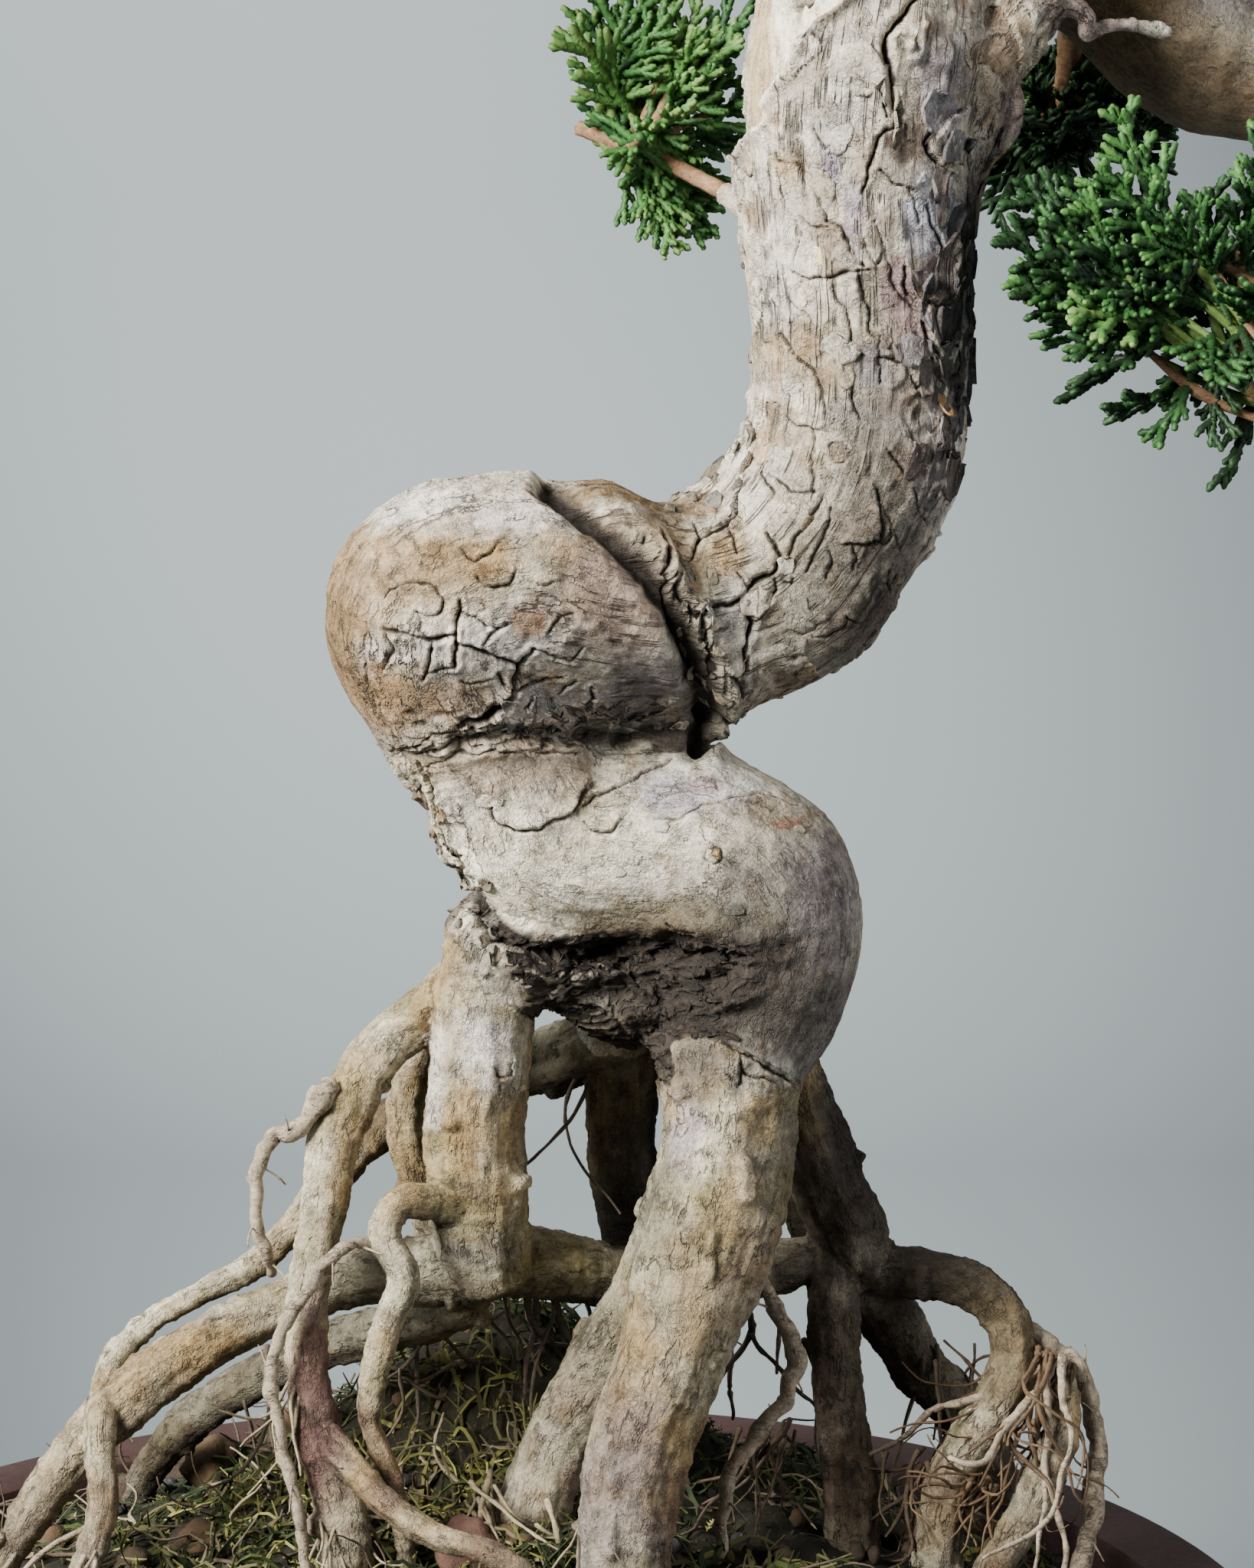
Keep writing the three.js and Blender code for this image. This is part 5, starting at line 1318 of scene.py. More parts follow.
@dataclass
class Wood:
    """The trunk, its foot and its roots as one skin with bark relief, and the crown's boughs."""

    voxel: float = 0.42
    crown_voxel: float = 0.88
    root_share: float = 0.5
    smoothing: int = 6
    trunk_top: float = 288.0
    crack_reach: float = 0.7
    crack_facing: float = 0.35
    solids: tuple[str, ...] = ("trunk", "limb_right", "dead_spur", "soil")
    lines: list[np.ndarray] = field(default_factory=list)
    web: Stations = (
        (-2, -3, 185, 7.5), (8, -2, 185.2, 7.2), (15, -1, 185.2, 6.6), (21.5, 0, 185.6, 5),
        (26, 0.5, 186, 3.8),
    )
    fold_end: Stations = ((19, -2.5, 184.4, 4.4), (25, -2, 184.6, 3.9), (30, -1.2, 186.2, 2.6))
    under_web: Stations = ((2, -3, 155, 4.2), (9, -3.5, 152.2, 4.6), (16, -3, 150.6, 5), (24, -2, 149, 6))
    flare: Stations = ((58, -3, 258, 6), (62, -2, 268, 6.4), (67, -1, 276, 6.2), (73, 1, 284, 6.5))
    callus: Stations = (
        (60.5, 1, 250, 0.9), (64.5, -1, 257, 1.0), (67.4, -2.5, 261.3, 1.15), (67.9, -3, 265.1, 1.2),
        (66.8, -3.5, 267.8, 1.1), (68.7, -3.5, 270.8, 1.2), (71.1, -3.5, 272.6, 1.2),
        (71.4, -3.5, 274.6, 1.1),
        (74.0, -3, 276.8, 1.2), (77.2, -2, 275.4, 1.1), (77.1, -1, 273.3, 0.9), (78.9, 0, 274.2, 0.85),
        (83, 2, 274.8, 0.75), (88, 4, 274, 0.7),
    )
    rim: tuple[tuple[float, float], ...] = (
        (257.2, 31.5), (258.6, 33.2), (262, 36.4), (264.8, 35.9), (267.3, 38.8), (271.7, 40.3),
        (273.7, 42.2), (275.7, 45.2), (277.5, 47.6), (290, 54),
    )
    folds: tuple[Crease, ...] = (
        Crease(
            ((8.8, 216.5), (13.1, 213.1), (16.9, 210), (21.2, 205.7), (24.6, 200.5), (26.8, 195.7),
             (28.3, 190.4), (28.6, 186), (28, 182.7)),
            1.6, 2.6,
        ),
        Crease(
            ((-2.4, 184), (2.4, 185), (7.2, 185), (13, 184.3), (16.9, 183.6), (20.2, 184.5), (25, 185)),
            1.1, 1.5, 0.55, 4.0,
        ),
        Crease(
            ((-3.7, 166), (-0.3, 161.4), (3.1, 158.5), (7, 156.8), (12.9, 155.9), (18.8, 156.4),
             (24.7, 157.2), (29.6, 156.8), (32, 155)),
            1.4, 2.2,
        ),
    )

    def lobes(self) -> tuple[Stations, ...]:
        """Returns the lobes that fill out the trunk."""
        return (*FOOT_LOBES, self.web, self.fold_end, self.under_web, self.flare, self.callus)

    def limbs(self) -> list[tuple[str, Stations]]:
        """Returns the lower skin's limbs by name, the trunk's stretch first and then its lobes."""
        trunk = tuple(s for s in TRUNK if s[2] < self.trunk_top + 6)
        lobes = [(f"lobe_{i}", lobe) for i, lobe in enumerate(self.lobes())]
        return [("trunk", trunk), *lobes, *STOUT_ROOTS.items()]

    def tubes(self, limbs: list[tuple[str, Stations]], seed: int) -> Sheaf:
        """Makes a lumpy, sinewy tube of each limb.

        Args:
            limbs: the limbs by name.
            seed: picks the lumps.

        Returns:
            The tubes.
        """
        sheaf, sides = Sheaf(), 32
        turn = np.linspace(0, 2 * np.pi, sides, endpoint=False)
        for index, (_, stations) in enumerate(limbs):
            path = path_of(stations, 1.0)
            points, triangles = tube_shape(path, sides)
            middle = np.repeat(path.points, sides, axis=0)
            radii = np.repeat(path.radii, sides)
            body = points[:-2]
            root = radii < 8.5
            lump = layered_noise(body / (1.2 + 1.3 * radii[:, None]), seed + index, 2)
            drift = 2.2 * layered_noise(path.points / 16 + index, seed + 50, 2)
            sinew = 0.6 * np.cos(3 * turn + drift[:, None])
            sinew = sinew + 0.4 * np.cos(5 * turn - 1.7 * drift[:, None])
            bulge = layered_noise(path.points / (2.2 * path.radii[:, None]), seed + 90 + index, 2)
            swell = np.repeat(bulge, sides)
            share = (0.09 + 0.05 * root) * lump + 0.06 * root * sinew.ravel() + 0.08 * root * swell
            points[:-2] = middle + (body - middle) * (1 + share)[:, None]
            sheaf.add(points, triangles)
        return sheaf

    def skin(self, name: str, limbs: list[tuple[str, Stations]], voxel: float, seed: int) -> bpy.types.Object:
        """Joins limbs into one smooth skin.

        Args:
            name: the skin's name.
            limbs: the limbs by name.
            voxel: the mesh's fineness.
            seed: picks the lumps.

        Returns:
            The skin's object.
        """
        piece = self.tubes(limbs, seed).made(name, [])
        apply_modifier(piece, "REMESH", mode="VOXEL", voxel_size=voxel * MM, use_smooth_shade=True)
        apply_modifier(piece, "SMOOTH", factor=0.5, iterations=self.smoothing)
        return piece

    def traced(self) -> list[list[tuple[float, float]]]:
        """Casts each crack's line from the camera onto the solids of the trunk, roots and soil.

        Returns:
            The (x, z) places of each line, to a tenth of a millimetre. A place that misses is left out.
        """
        solids = []
        for solid in bpy.data.objects:
            if solid.name in self.solids or solid.name.startswith("root_"):
                corners = [solid.matrix_world @ v.co for v in solid.data.vertices]
                solids.append(BVHTree.FromPolygons(corners, [f.vertices for f in solid.data.polygons]))
        studio, lines = Studio(), []
        for crack in CRACKS:
            line = []
            for across, down in crack.line:
                casts = [solid.ray_cast(*studio.ray(across, down)) for solid in solids]
                hits = [(away, hit) for hit, _, _, away in casts if hit is not None]
                if hits:
                    hit = min(hits, key=lambda row: row[0])[1] * 1000
                    line.append((round(hit.x, 1), round(hit.z, 1)))
            lines.append(line)
        return lines

    def seated(self, places: np.ndarray, normals: np.ndarray) -> list[np.ndarray]:
        """Lays each crack's line on the front of the skin.

        Args:
            places: the skin's vertices.
            normals: their directions.

        Returns:
            One line of places for each crack.
        """
        front = places[normals[:, 1] < self.crack_facing]
        front = front[np.argsort(front[:, 0])]
        lines = []
        for line in self.traced():
            rows = []
            for x, z in line:
                low, high = np.searchsorted(front[:, 0], (x - self.crack_reach, x + self.crack_reach))
                near = front[low:high][np.abs(front[low:high, 2] - z) < self.crack_reach]
                if len(near):
                    rows.append((x, float(near[:, 1].min()), z))
            lines.append(np.array(rows, np.float32))
        return lines

    def refine(self, piece: bpy.types.Object) -> None:
        """Halves the mesh's faces along the cracks.

        Args:
            piece: the smooth skin.
        """
        mesh = piece.data
        places, normals = vertex_rows(mesh, "co"), vertex_rows(mesh, "normal")
        near = np.zeros(len(places), bool)
        self.lines = self.seated(places, normals)
        for crack, line in zip(CRACKS, self.lines):
            index, away, _ = near_line(places, normals, line, 1.2)
            near[index[away < 0.75 + crack.width]] = True
        corners = np.empty(len(mesh.loops), np.int32)
        mesh.loops.foreach_get("vertex_index", corners)
        starts = np.empty(len(mesh.polygons), np.int32)
        mesh.polygons.foreach_get("loop_start", starts)
        chosen = np.logical_and.reduceat(near[corners], starts)
        only_select(piece)
        bpy.ops.object.mode_set(mode="EDIT")
        bpy.ops.mesh.select_mode(type="FACE")
        bpy.ops.mesh.select_all(action="DESELECT")
        bpy.ops.object.mode_set(mode="OBJECT")
        mesh.polygons.foreach_set("select", chosen)
        bpy.ops.object.mode_set(mode="EDIT")
        bpy.ops.mesh.subdivide(number_cuts=1, quadcorner="INNERVERT")
        bpy.ops.mesh.select_all(action="DESELECT")
        bpy.ops.object.mode_set(mode="OBJECT")

    def owners(self, places: np.ndarray, limbs: list[tuple[str, Stations]]) -> tuple[np.ndarray, ...]:
        """Finds the limb and the stretch of it that each place of the skin belongs to.

        Args:
            places: the skin's vertices.
            limbs: the limbs by name.

        Returns:
            The limb's number, the run along it, its radius there, and a place wrapped round its axis.
        """
        paths = [path_of(stations, 1.6) for _, stations in limbs]
        middle = np.concatenate([p.points for p in paths]).astype(np.float32)
        radius = np.concatenate([p.radii for p in paths]).astype(np.float32)
        run = np.concatenate([p.run for p in paths]).astype(np.float32)
        number = np.concatenate([np.full(len(p.points), i) for i, p in enumerate(paths)])
        side = np.concatenate([p.side for p in paths]).astype(np.float32)
        across = np.concatenate([p.across for p in paths]).astype(np.float32)
        along = np.concatenate([p.along for p in paths]).astype(np.float32)
        best = np.empty(len(places), int)
        square = (middle**2).sum(1)
        for start in range(0, len(places), 20000):
            rows = places[start : start + 20000]
            away = np.sqrt(np.maximum((rows**2).sum(1)[:, None] + square - 2 * rows @ middle.T, 0))
            best[start : start + 20000] = (away - radius).argmin(axis=1)
        out = places - middle[best]
        reach = run[best] + (out * along[best]).sum(1)
        wrapped = np.stack([reach, (out * side[best]).sum(1), (out * across[best]).sum(1)], axis=1)
        return number[best], run[best], radius[best], wrapped

    def hollows(self, mesh: bpy.types.Mesh, places: np.ndarray, normals: np.ndarray) -> np.ndarray:
        """Returns how far each vertex lies below the mean of its neighbours, smoothed a little.

        Args:
            mesh: the mesh.
            places: its vertices.
            normals: their directions.

        Returns:
            A height in millimetres for each vertex, above 0 in hollows.
        """
        ends = np.empty(len(mesh.edges) * 2, np.int32)
        mesh.edges.foreach_get("vertices", ends)
        a, b = ends.reshape(-1, 2).T
        size = len(places)
        count = np.maximum(np.bincount(a, minlength=size) + np.bincount(b, minlength=size), 1)

        def mean(rows: np.ndarray) -> np.ndarray:
            """Returns the mean of each vertex's neighbours."""
            return (np.bincount(a, rows[b], size) + np.bincount(b, rows[a], size)) / count

        bend = sum((mean(places[:, k]) - places[:, k]) * normals[:, k] for k in range(3))
        for _ in range(4):
            bend = 0.4 * bend + 0.6 * mean(bend)
        return bend

    def shed_layers(
        self, places: np.ndarray, normals: np.ndarray, size: tuple[float, float, float], layers: float,
        seed: int, octaves: int = 3,
    ) -> tuple[np.ndarray, np.ndarray, np.ndarray]:
        """Splits bark into thin layers that have come away along ragged edges.

        Args:
            places: the skin's vertices.
            normals: their directions.
            size: the patches' size along each axis.
            layers: about how many layers lie over one another.
            seed: picks the pattern.
            octaves: how ragged the edges are.

        Returns:
            The layer's number, how far inside its own edge each place lies, and how far from any edge.
        """
        scale = np.array(size, np.float32)
        side = unit(np.cross(normals, np.array([0.3, 0.2, 1.0], np.float32)))
        rise = np.cross(side, normals)
        here = layers * layered_noise(places / scale, seed, octaves)
        step = 0.4
        slopes = [
            layers * layered_noise((places + step * way) / scale, seed, octaves) - here
            for way in (side, rise)
        ]
        slope = np.maximum(np.hypot(*slopes) / step, 0.15)
        level = np.floor(here)
        part = here - level
        return level, part / slope, np.minimum(part, 1 - part) / slope

    def relief(self, piece: bpy.types.Object, limbs: list[tuple[str, Stations]]) -> np.ndarray:
        """Carves plates, cracks, folds, wrinkles and stripped wood, and paints tones with light and shade.

        Args:
            piece: the lower skin.
            limbs: its limbs by name.

        Returns:
            The limb's number for each vertex.
        """
        bark = LowerBark(self, piece.data, limbs)
        bark.carve()
        bark.colour()
        return bark.owner

    def paint(self, mesh: bpy.types.Mesh, name: str, rows: np.ndarray) -> None:
        """Writes a painted layer to the mesh.

        Args:
            mesh: the mesh.
            name: the layer's name.
            rows: one row of three numbers for each vertex.
        """
        layer = mesh.color_attributes.new(name, "FLOAT_COLOR", "POINT")
        values = np.ones((len(rows), 4), np.float32)
        values[:, :3] = np.clip(rows, 0.0, 1.0)
        layer.data.foreach_set("color", values.ravel())

    def painted(self, mesh: bpy.types.Mesh, name: str) -> np.ndarray:
        """Returns a painted layer's rows."""
        rows = np.empty(len(mesh.vertices) * 4, np.float32)
        mesh.color_attributes[name].data.foreach_get("color", rows)
        return rows.reshape(-1, 4)[:, :3]

    def parted(
        self, piece: bpy.types.Object, part: np.ndarray, names: Sequence[str]
    ) -> list[bpy.types.Object]:
        """Splits a skin into pieces that keep its shading across their seams.

        Args:
            piece: the whole skin.
            part: the number of the piece that each vertex belongs to.
            names: the pieces' names.

        Returns:
            The pieces.
        """
        mesh = piece.data
        mesh.calc_loop_triangles()
        corners = np.empty(len(mesh.loop_triangles) * 3, np.int32)
        mesh.loop_triangles.foreach_get("vertices", corners)
        corners = corners.reshape(-1, 3)
        places, normals = vertex_rows(mesh, "co"), vertex_rows(mesh, "normal")
        layers = {name: self.painted(mesh, name) for name in ("Tone", "Marks", "Grain")}
        made = []
        for number, name in enumerate(names):
            own = corners[part[corners[:, 0]] == number]
            used, index = np.unique(own, return_inverse=True)
            sheaf = Sheaf()
            sheaf.add(places[used], index.reshape(-1, 3))
            fresh = sheaf.made(name, piece.data.materials[:])
            for layer, rows in layers.items():
                self.paint(fresh.data, layer, rows[used])
            fresh.data.normals_split_custom_set_from_vertices(normals[used])
            made.append(fresh)
        bpy.data.objects.remove(piece)
        return made

    def build_lower(self) -> list[bpy.types.Object]:
        """Builds and registers the trunk and the stout roots.

        Returns:
            The pieces, the three of the trunk first.
        """
        limbs = self.limbs()
        piece = self.skin("wood", limbs, self.voxel, 200)
        self.refine(piece)
        piece.data.materials.append(WoodFinish("flaking bark", relief=0.5).material())
        owner = self.relief(piece, limbs)
        places = vertex_rows(piece.data, "co")
        trunk = owner <= len(self.lobes())
        low, right = self.shares(places[trunk, 2], 3), self.shares(places[~trunk, 0], 3)
        part = np.where(trunk, np.searchsorted(low, places[:, 2]), 3 + np.searchsorted(right, places[:, 0]))
        names = ("trunk_foot", "trunk_folds", "trunk_upright", "roots_left", "roots_middle", "roots_right")
        nodes: list[list[str]] = [["trunk"], [], [], [], [], []]
        for name, stations in STOUT_ROOTS.items():
            middle = float(np.mean([s[0] for s in stations]))
            nodes[3 + int(np.searchsorted(right, middle))].append(f"root_{name}")
        pieces = self.parted(piece, part, names)
        for fresh, own in zip(pieces, nodes):
            if fresh.name.startswith("roots"):
                apply_modifier(fresh, "DECIMATE", ratio=self.root_share)
            keep(fresh, "bark" if fresh.name.startswith("trunk") else "root_bark", *own)
        return pieces

    def shares(self, values: np.ndarray, count: int) -> np.ndarray:
        """Returns the values that part a row of numbers into equal shares."""
        return np.quantile(values, np.arange(1, count) / count)

    def build_upper(self) -> bpy.types.Object:
        """Builds and registers the leader, the heavy limb and the boughs.

        Returns:
            The piece.
        """
        leader = tuple(s for s in TRUNK if s[2] > self.trunk_top - 12 and s[2] > 250)
        limbs = [("leader", leader), *BOUGHS.items(), ("dead_spur", DEAD_SPUR)]
        piece = self.skin("crown_wood", limbs, self.crown_voxel, 300)
        mesh = piece.data
        mesh.materials.append(WoodFinish("crown bark").material())
        p, n = vertex_rows(mesh, "co"), vertex_rows(mesh, "normal")
        owner, _, radius, wrapped = self.owners(p, limbs)
        thick = ease(4, 9, radius)
        edge, label = plates((p + 1.5 * layered_noise(p / 6, 90, 2)[:, None]) / 5, 6)
        smooth_limb = (owner == 1).astype(np.float32)
        flaky = thick * (1 - 0.9 * smooth_limb)
        crack = ease(0.14, 0.03, edge) * flaky
        lift = 0.6 * (label - 0.4) * flaky - 0.6 * crack
        lift += 0.12 * layered_noise(wrapped * np.array([0.2, 1.0, 1.0]), 91, 3)
        lift += 0.10 * layered_noise(wrapped * np.array([0.9, 0.25, 0.25]), 92, 2)
        lift += 0.5 * smooth_limb * layered_noise(p / 8, 95, 2)
        spur = (owner == len(limbs) - 1).astype(np.float32)
        mesh.vertices.foreach_set("co", ((p + n * lift[:, None]) * MM).astype(np.float32).ravel())
        mesh.update()
        tone = np.tile(np.array(BarkTone.MID.value), (len(p), 1))
        pale = ease(-0.1, 0.6, layered_noise(p / 10, 93, 3)) * (1 - 0.4 * smooth_limb)
        tone = blend(tone, BarkTone.PALE.value, pale)
        tone = blend(tone, BarkTone.OCHRE.value, 0.7 * ease(0.1, 0.8, layered_noise(p / 12, 94, 3)))
        cool = smooth_limb * ease(0, 0.5, layered_noise(p / 7 + 9, 96, 3))
        tone = blend(tone, BarkTone.LAVENDER.value, 0.6 * cool)
        shadowed = smooth_limb * ease(92, 80, p[:, 0] - 0.5 * (p[:, 2] - 272))
        tone = blend(tone, BarkTone.DARK.value, 0.85 * shadowed)
        tone = blend(tone, BarkTone.OCHRE.value, 0.7 * smooth_limb * ease(0.1, -0.6, n[:, 2]))
        tone = tone * (1 - 0.3 * smooth_limb)[:, None]
        tone = blend(tone, BarkTone.DARK.value, 0.8 * crack)
        tone = blend(tone, BarkTone.BARE.value, spur)
        self.paint(mesh, "Tone", tone)
        self.paint(mesh, "Marks", np.stack([np.ones(len(p)), flaky, 1 - spur], 1))
        self.paint(mesh, "Grain", wrapped / 200 + 0.5)
        return keep(piece, "bark", "dead_spur", *BOUGHS)


class LowerBark:
    """The lower skin's relief and tones, worked out in layers that hold one value for each vertex.

    Lift is the relief in millimetres, and gap the distance to the nearest crack or edge of a plate.
    Places are p, and the directions of the smooth skin are n.
    """

    def __init__(self, wood: Wood, mesh: bpy.types.Mesh, limbs: list[tuple[str, Stations]]) -> None:
        """Finds the masks that the layers share.

        Args:
            wood: the folds, the cracks' lines and the edge of the stripped wood.
            mesh: the smooth skin.
            limbs: its limbs by name.
        """
        self.wood, self.mesh = wood, mesh
        self.p = p = vertex_rows(mesh, "co")
        self.n = n = vertex_rows(mesh, "normal")
        self.owner, _, self.radius, self.wrapped = wood.owners(p, limbs)
        x, _, z = p.T
        self.trunk = trunk = (self.owner <= len(wood.lobes())).astype(np.float32)
        self.front = ease(0.35, -0.1, n[:, 1])
        self.upright = ease(207, 219, z) * trunk
        elbow = trunk * ease(25, 28, x + 0.2 * (z - 200)) * ease(183, 189, z) * ease(224, 212, z)
        plated = trunk * ease(27, 22, x) * ease(183, 187, z) * ease(204, 198, z - 0.2 * x)
        plated = plated * ease(-0.35, 0.15, 1.1 - np.hypot((x - 3) / 17, (z - 194) / 10))
        self.flaky = np.clip(self.upright + elbow + 0.8 * plated, 0, 1)
        self.cloud = layered_noise(p / 10 + 5, 81, 3)
        self.patchy = layered_noise(p / 7 + 3, 86, 2)
        self.gap = np.full(len(p), 3.0, np.float32)
        self.lift = np.zeros(len(p), np.float32)
        self.traced = np.zeros(len(p), np.float32)
        # Painted shade, with some darker patches, that the folds and the coarse bark fill in.
        self.dark = np.zeros(len(p), np.float32)

    def carve(self) -> None:
        """Works out the relief, layer upon layer, and moves the skin's vertices by it."""
        self.cut_cracks()
        self.shed_plates()
        self.add_grain()
        self.raise_knobs()
        self.fill_out()
        self.press_folds()
        self.break_folds()
        self.strip_bark()
        places = (self.p + self.n * self.lift[:, None]) * MM
        self.mesh.vertices.foreach_set("co", places.astype(np.float32).ravel())
        self.mesh.update()

    def cut_cracks(self) -> None:
        """Cuts the cracks that were read off the photograph."""
        p, n, lift, gap, traced = self.p, self.n, self.lift, self.gap, self.traced
        bent = p + 0.55 * np.stack([layered_noise(p / 1.9, 65 + k, 3) for k in range(3)], 1)
        swell = 0.35 + 0.85 * ease(-0.5, 0.5, layered_noise(p / 1.7, 61, 2))
        for crack, line in zip(CRACKS, self.wood.lines):
            index, away, turned = near_line(bent, n, line, 4.0)
            near = away < 4
            index, away, turned = index[near], away[near], turned[near]
            ends = [np.linalg.norm(p[index] - line[k], axis=1) for k in (0, -1)]
            width = crack.width * swell[index] * (0.4 + 0.6 * ease(0.2, 2.4, np.minimum(*ends)))
            pit = np.exp(-((away / (0.65 * width + 0.1)) ** 2))
            brow = np.exp(-(((away - 0.45 - 1.3 * width) / 0.4) ** 2))
            lift[index] -= 0.85 * crack.depth * pit * (1 - 0.6 * (lift[index] < -0.5))
            lift[index] += 0.22 * crack.depth * brow
            faint = np.interp(width, (0.05, 0.16, 0.4), (0.21, 0.14, 0.06))
            gap[index] = np.minimum(gap[index], np.maximum(away - 0.55 * width + 0.17, faint))
            traced[index] = np.maximum(traced[index], ease(3, 1, away))
            if crack.step:
                high = (turned * n[index]).sum(1) > 0
                lift[index] += 1.3 * crack.step * high * np.exp(-((away / 2.0) ** 2)) * ease(0, 0.2, away)

    def shed_plates(self) -> None:
        """Lets the bark shed in large plates, and in small scales over them."""
        p, n, trunk, flaky, cloud = self.p, self.n, self.trunk, self.flaky, self.cloud
        self.level, up, edge = self.wood.shed_layers(p, n, (6.5, 6.5, 10.0), 2.6, 78)
        self.shed = shed = flaky * (1 - 0.5 * self.traced) * ease(-0.55, 0.1, self.patchy)
        curl = ease(-0.1, 0.5, cloud)
        lip = np.exp(-(((up - 0.5) / 0.4) ** 2))
        self.lift += 0.3 * (self.level + ease(0, 0.3, up)) * shed + 0.28 * curl * shed * lip
        drawn = np.clip(shed * ease(-0.25, 0.35, layered_noise(p / 5, 87, 2)) * 1.2, 0, 1)
        gap = np.minimum(self.gap, edge + 0.07 + 0.3 * (1 - drawn) + 3 * (shed < 0.08))
        small, small_up, small_edge = self.wood.shed_layers(p, n, (2.6, 2.6, 3.4), 1.7, 178, 2)
        self.scaly = ease(-0.3, 0.3, layered_noise(p / 9 + 9, 21, 2)) * (1 - trunk)
        thin = np.clip(0.8 * flaky + 0.9 * self.scaly, 0, 1) * ease(-0.3, 0.3, cloud)
        self.lift += (0.10 + 0.07 * (1 - trunk)) * (small + ease(0, 0.25, small_up)) * thin
        self.gap = np.minimum(gap, small_edge + 0.14 + 0.3 * (1 - thin) + 3 * (thin < 0.08))
        # The lips of the shed plates, which take a painted highlight.
        self.lip = np.exp(-(((up - 0.55) / 0.35) ** 2)) * shed

    def add_grain(self) -> None:
        """Adds wrinkles and grain along each limb, and swellings on the roots."""
        p, trunk, flaky = self.p, self.trunk, self.flaky
        self.wrinkle = layered_noise(self.wrapped * np.array([1.0, 0.22, 0.22]), 31, 3)
        grain = (0.09 + 0.2 * (1 - trunk)) * layered_noise(self.wrapped * np.array([0.16, 0.95, 0.95]), 33, 3)
        self.lift += (0.07 + 0.2 * (1 - trunk)) * self.wrinkle * (1 - flaky) + grain
        self.lift += 0.5 * layered_noise(p / 9, 35, 2) * trunk * (1 - 0.4 * flaky)
        self.lift += 0.13 * layered_noise(p / 1.3, 36, 2)
        knot = ease(0.66, 0.9, soft_noise(p / 4.2, 50)) * (1 - trunk) * ease(2.0, 3.0, self.radius)
        self.lift += 1.1 * knot

    def raise_knobs(self) -> None:
        """Raises the healed knobs with their rings."""
        for knob in KNOBS:
            spread = np.linalg.norm(self.p - np.array(knob.place), axis=1) / knob.radius
            self.lift += knob.height * np.exp(-(spread**2)) * (1 + knob.ring * np.cos(5.5 * spread))
            ringed = np.minimum(self.gap, 0.2 + 0.7 * np.abs(np.sin(2.9 * spread)))
            self.gap = np.where(spread < 1.6, ringed, self.gap)

    def fill_out(self) -> None:
        """Fills out the elbow's underside, and slims the right-hand side of the roots' top."""
        n, trunk, (x, _, z) = self.n, self.trunk, self.p.T
        hanging = trunk * ease(-0.15, -0.65, n[:, 2]) * ease(26, 29, x) * ease(55, 46, x)
        hanging = hanging * ease(183.5, 185, z)
        self.lift += hanging * ease(206, 201, z) * (1.5 + 0.7 * ease(38, 30, x))
        slim = (1 - trunk) * ease(0.2, 0.7, n[:, 0]) * ease(42, 45, x) * ease(60, 56, x) * ease(118, 124, z)
        self.lift -= 1.6 * slim * ease(146, 140, z)

    def press_folds(self) -> None:
        """Presses the folds in, with a shoulder beside each, and marks painted shade in them."""
        p, front, trunk = self.p, self.front, self.trunk
        for fold in self.wood.folds:
            away = fold.distance(p) + 0.5 * layered_noise(p / 2.2, 60, 2)
            press = np.exp(-((np.maximum(away, 0) / fold.width) ** 2)) * front * trunk
            shoulder = np.exp(-(((away - 2.1 * fold.width) / fold.width) ** 2)) * front * trunk
            self.lift += -fold.depth * press + 0.18 * fold.depth * shoulder
            # Painted shade in the fold, left out where x lies below its pale end.
            dim = ease(0.15, 0.8, press) * ease(fold.pale_end, fold.pale_end + 12, p[:, 0])
            self.dark = np.maximum(self.dark, fold.dark * dim)

    def break_folds(self) -> None:
        """Breaks the bark into coarse layers under the folds and on the trunk's left-hand edge, and darkens
        them.
        """
        p, n, trunk, (x, y, z) = self.p, self.n, self.trunk, self.p.T
        waist = trunk * ease(190, 187, z) * ease(181.5, 183.5, z) * ease(27, 20, x) * ease(-14, -9, x)
        first = self.wood.folds[0]
        groove = np.array(first.line)[::-1]
        rim = np.exp(-((first.distance(p) - 2.0) ** 2) / 2.6) * trunk * self.front
        rim = rim * ease(0.2, 1.6, x - np.interp(z, groove[:, 1], groove[:, 0])) * ease(213, 209, z)
        under = trunk * ease(159.5, 157, z) * ease(36, 32, x - 0.9 * (z - 150))
        under = under * ease(4, 8, x + 0.3 * (z - 150))
        under = under * ease(7, 3, y)
        left = trunk * ease(3.5, -0.5, x + 0.35 * (z - 168))
        left = left * ease(150, 155, z) * ease(186, 180, z) * ease(7, 3, y)
        self.rim, self.coarse = rim, np.clip(under + 0.7 * waist + 0.6 * left, 0, 1)
        drawn_out = p + 0.8 * self.wrinkle[:, None]
        bed, up, edge = self.wood.shed_layers(drawn_out, n, (7.0, 7.0, 2.6), 2.6, 62)
        lip = np.exp(-(((up - 0.4) / 0.4) ** 2))
        self.lift += self.coarse * (0.55 * (bed + ease(0, 0.4, up)) + 0.3 * lip)
        away = edge - 0.12 * under + 0.5 * (1 - self.coarse) + 3 * (self.coarse < 0.15)
        self.gap = np.minimum(self.gap, away)
        strip, up, edge = self.wood.shed_layers(p, n, (2.6, 5.0, 8.0), 2.2, 63)
        self.lift += rim * (0.5 * (strip + ease(0, 0.4, up)) + 0.5)
        self.gap = np.maximum(np.minimum(self.gap, edge + 0.5 * (1 - rim) + 3 * (rim < 0.2)), 0)
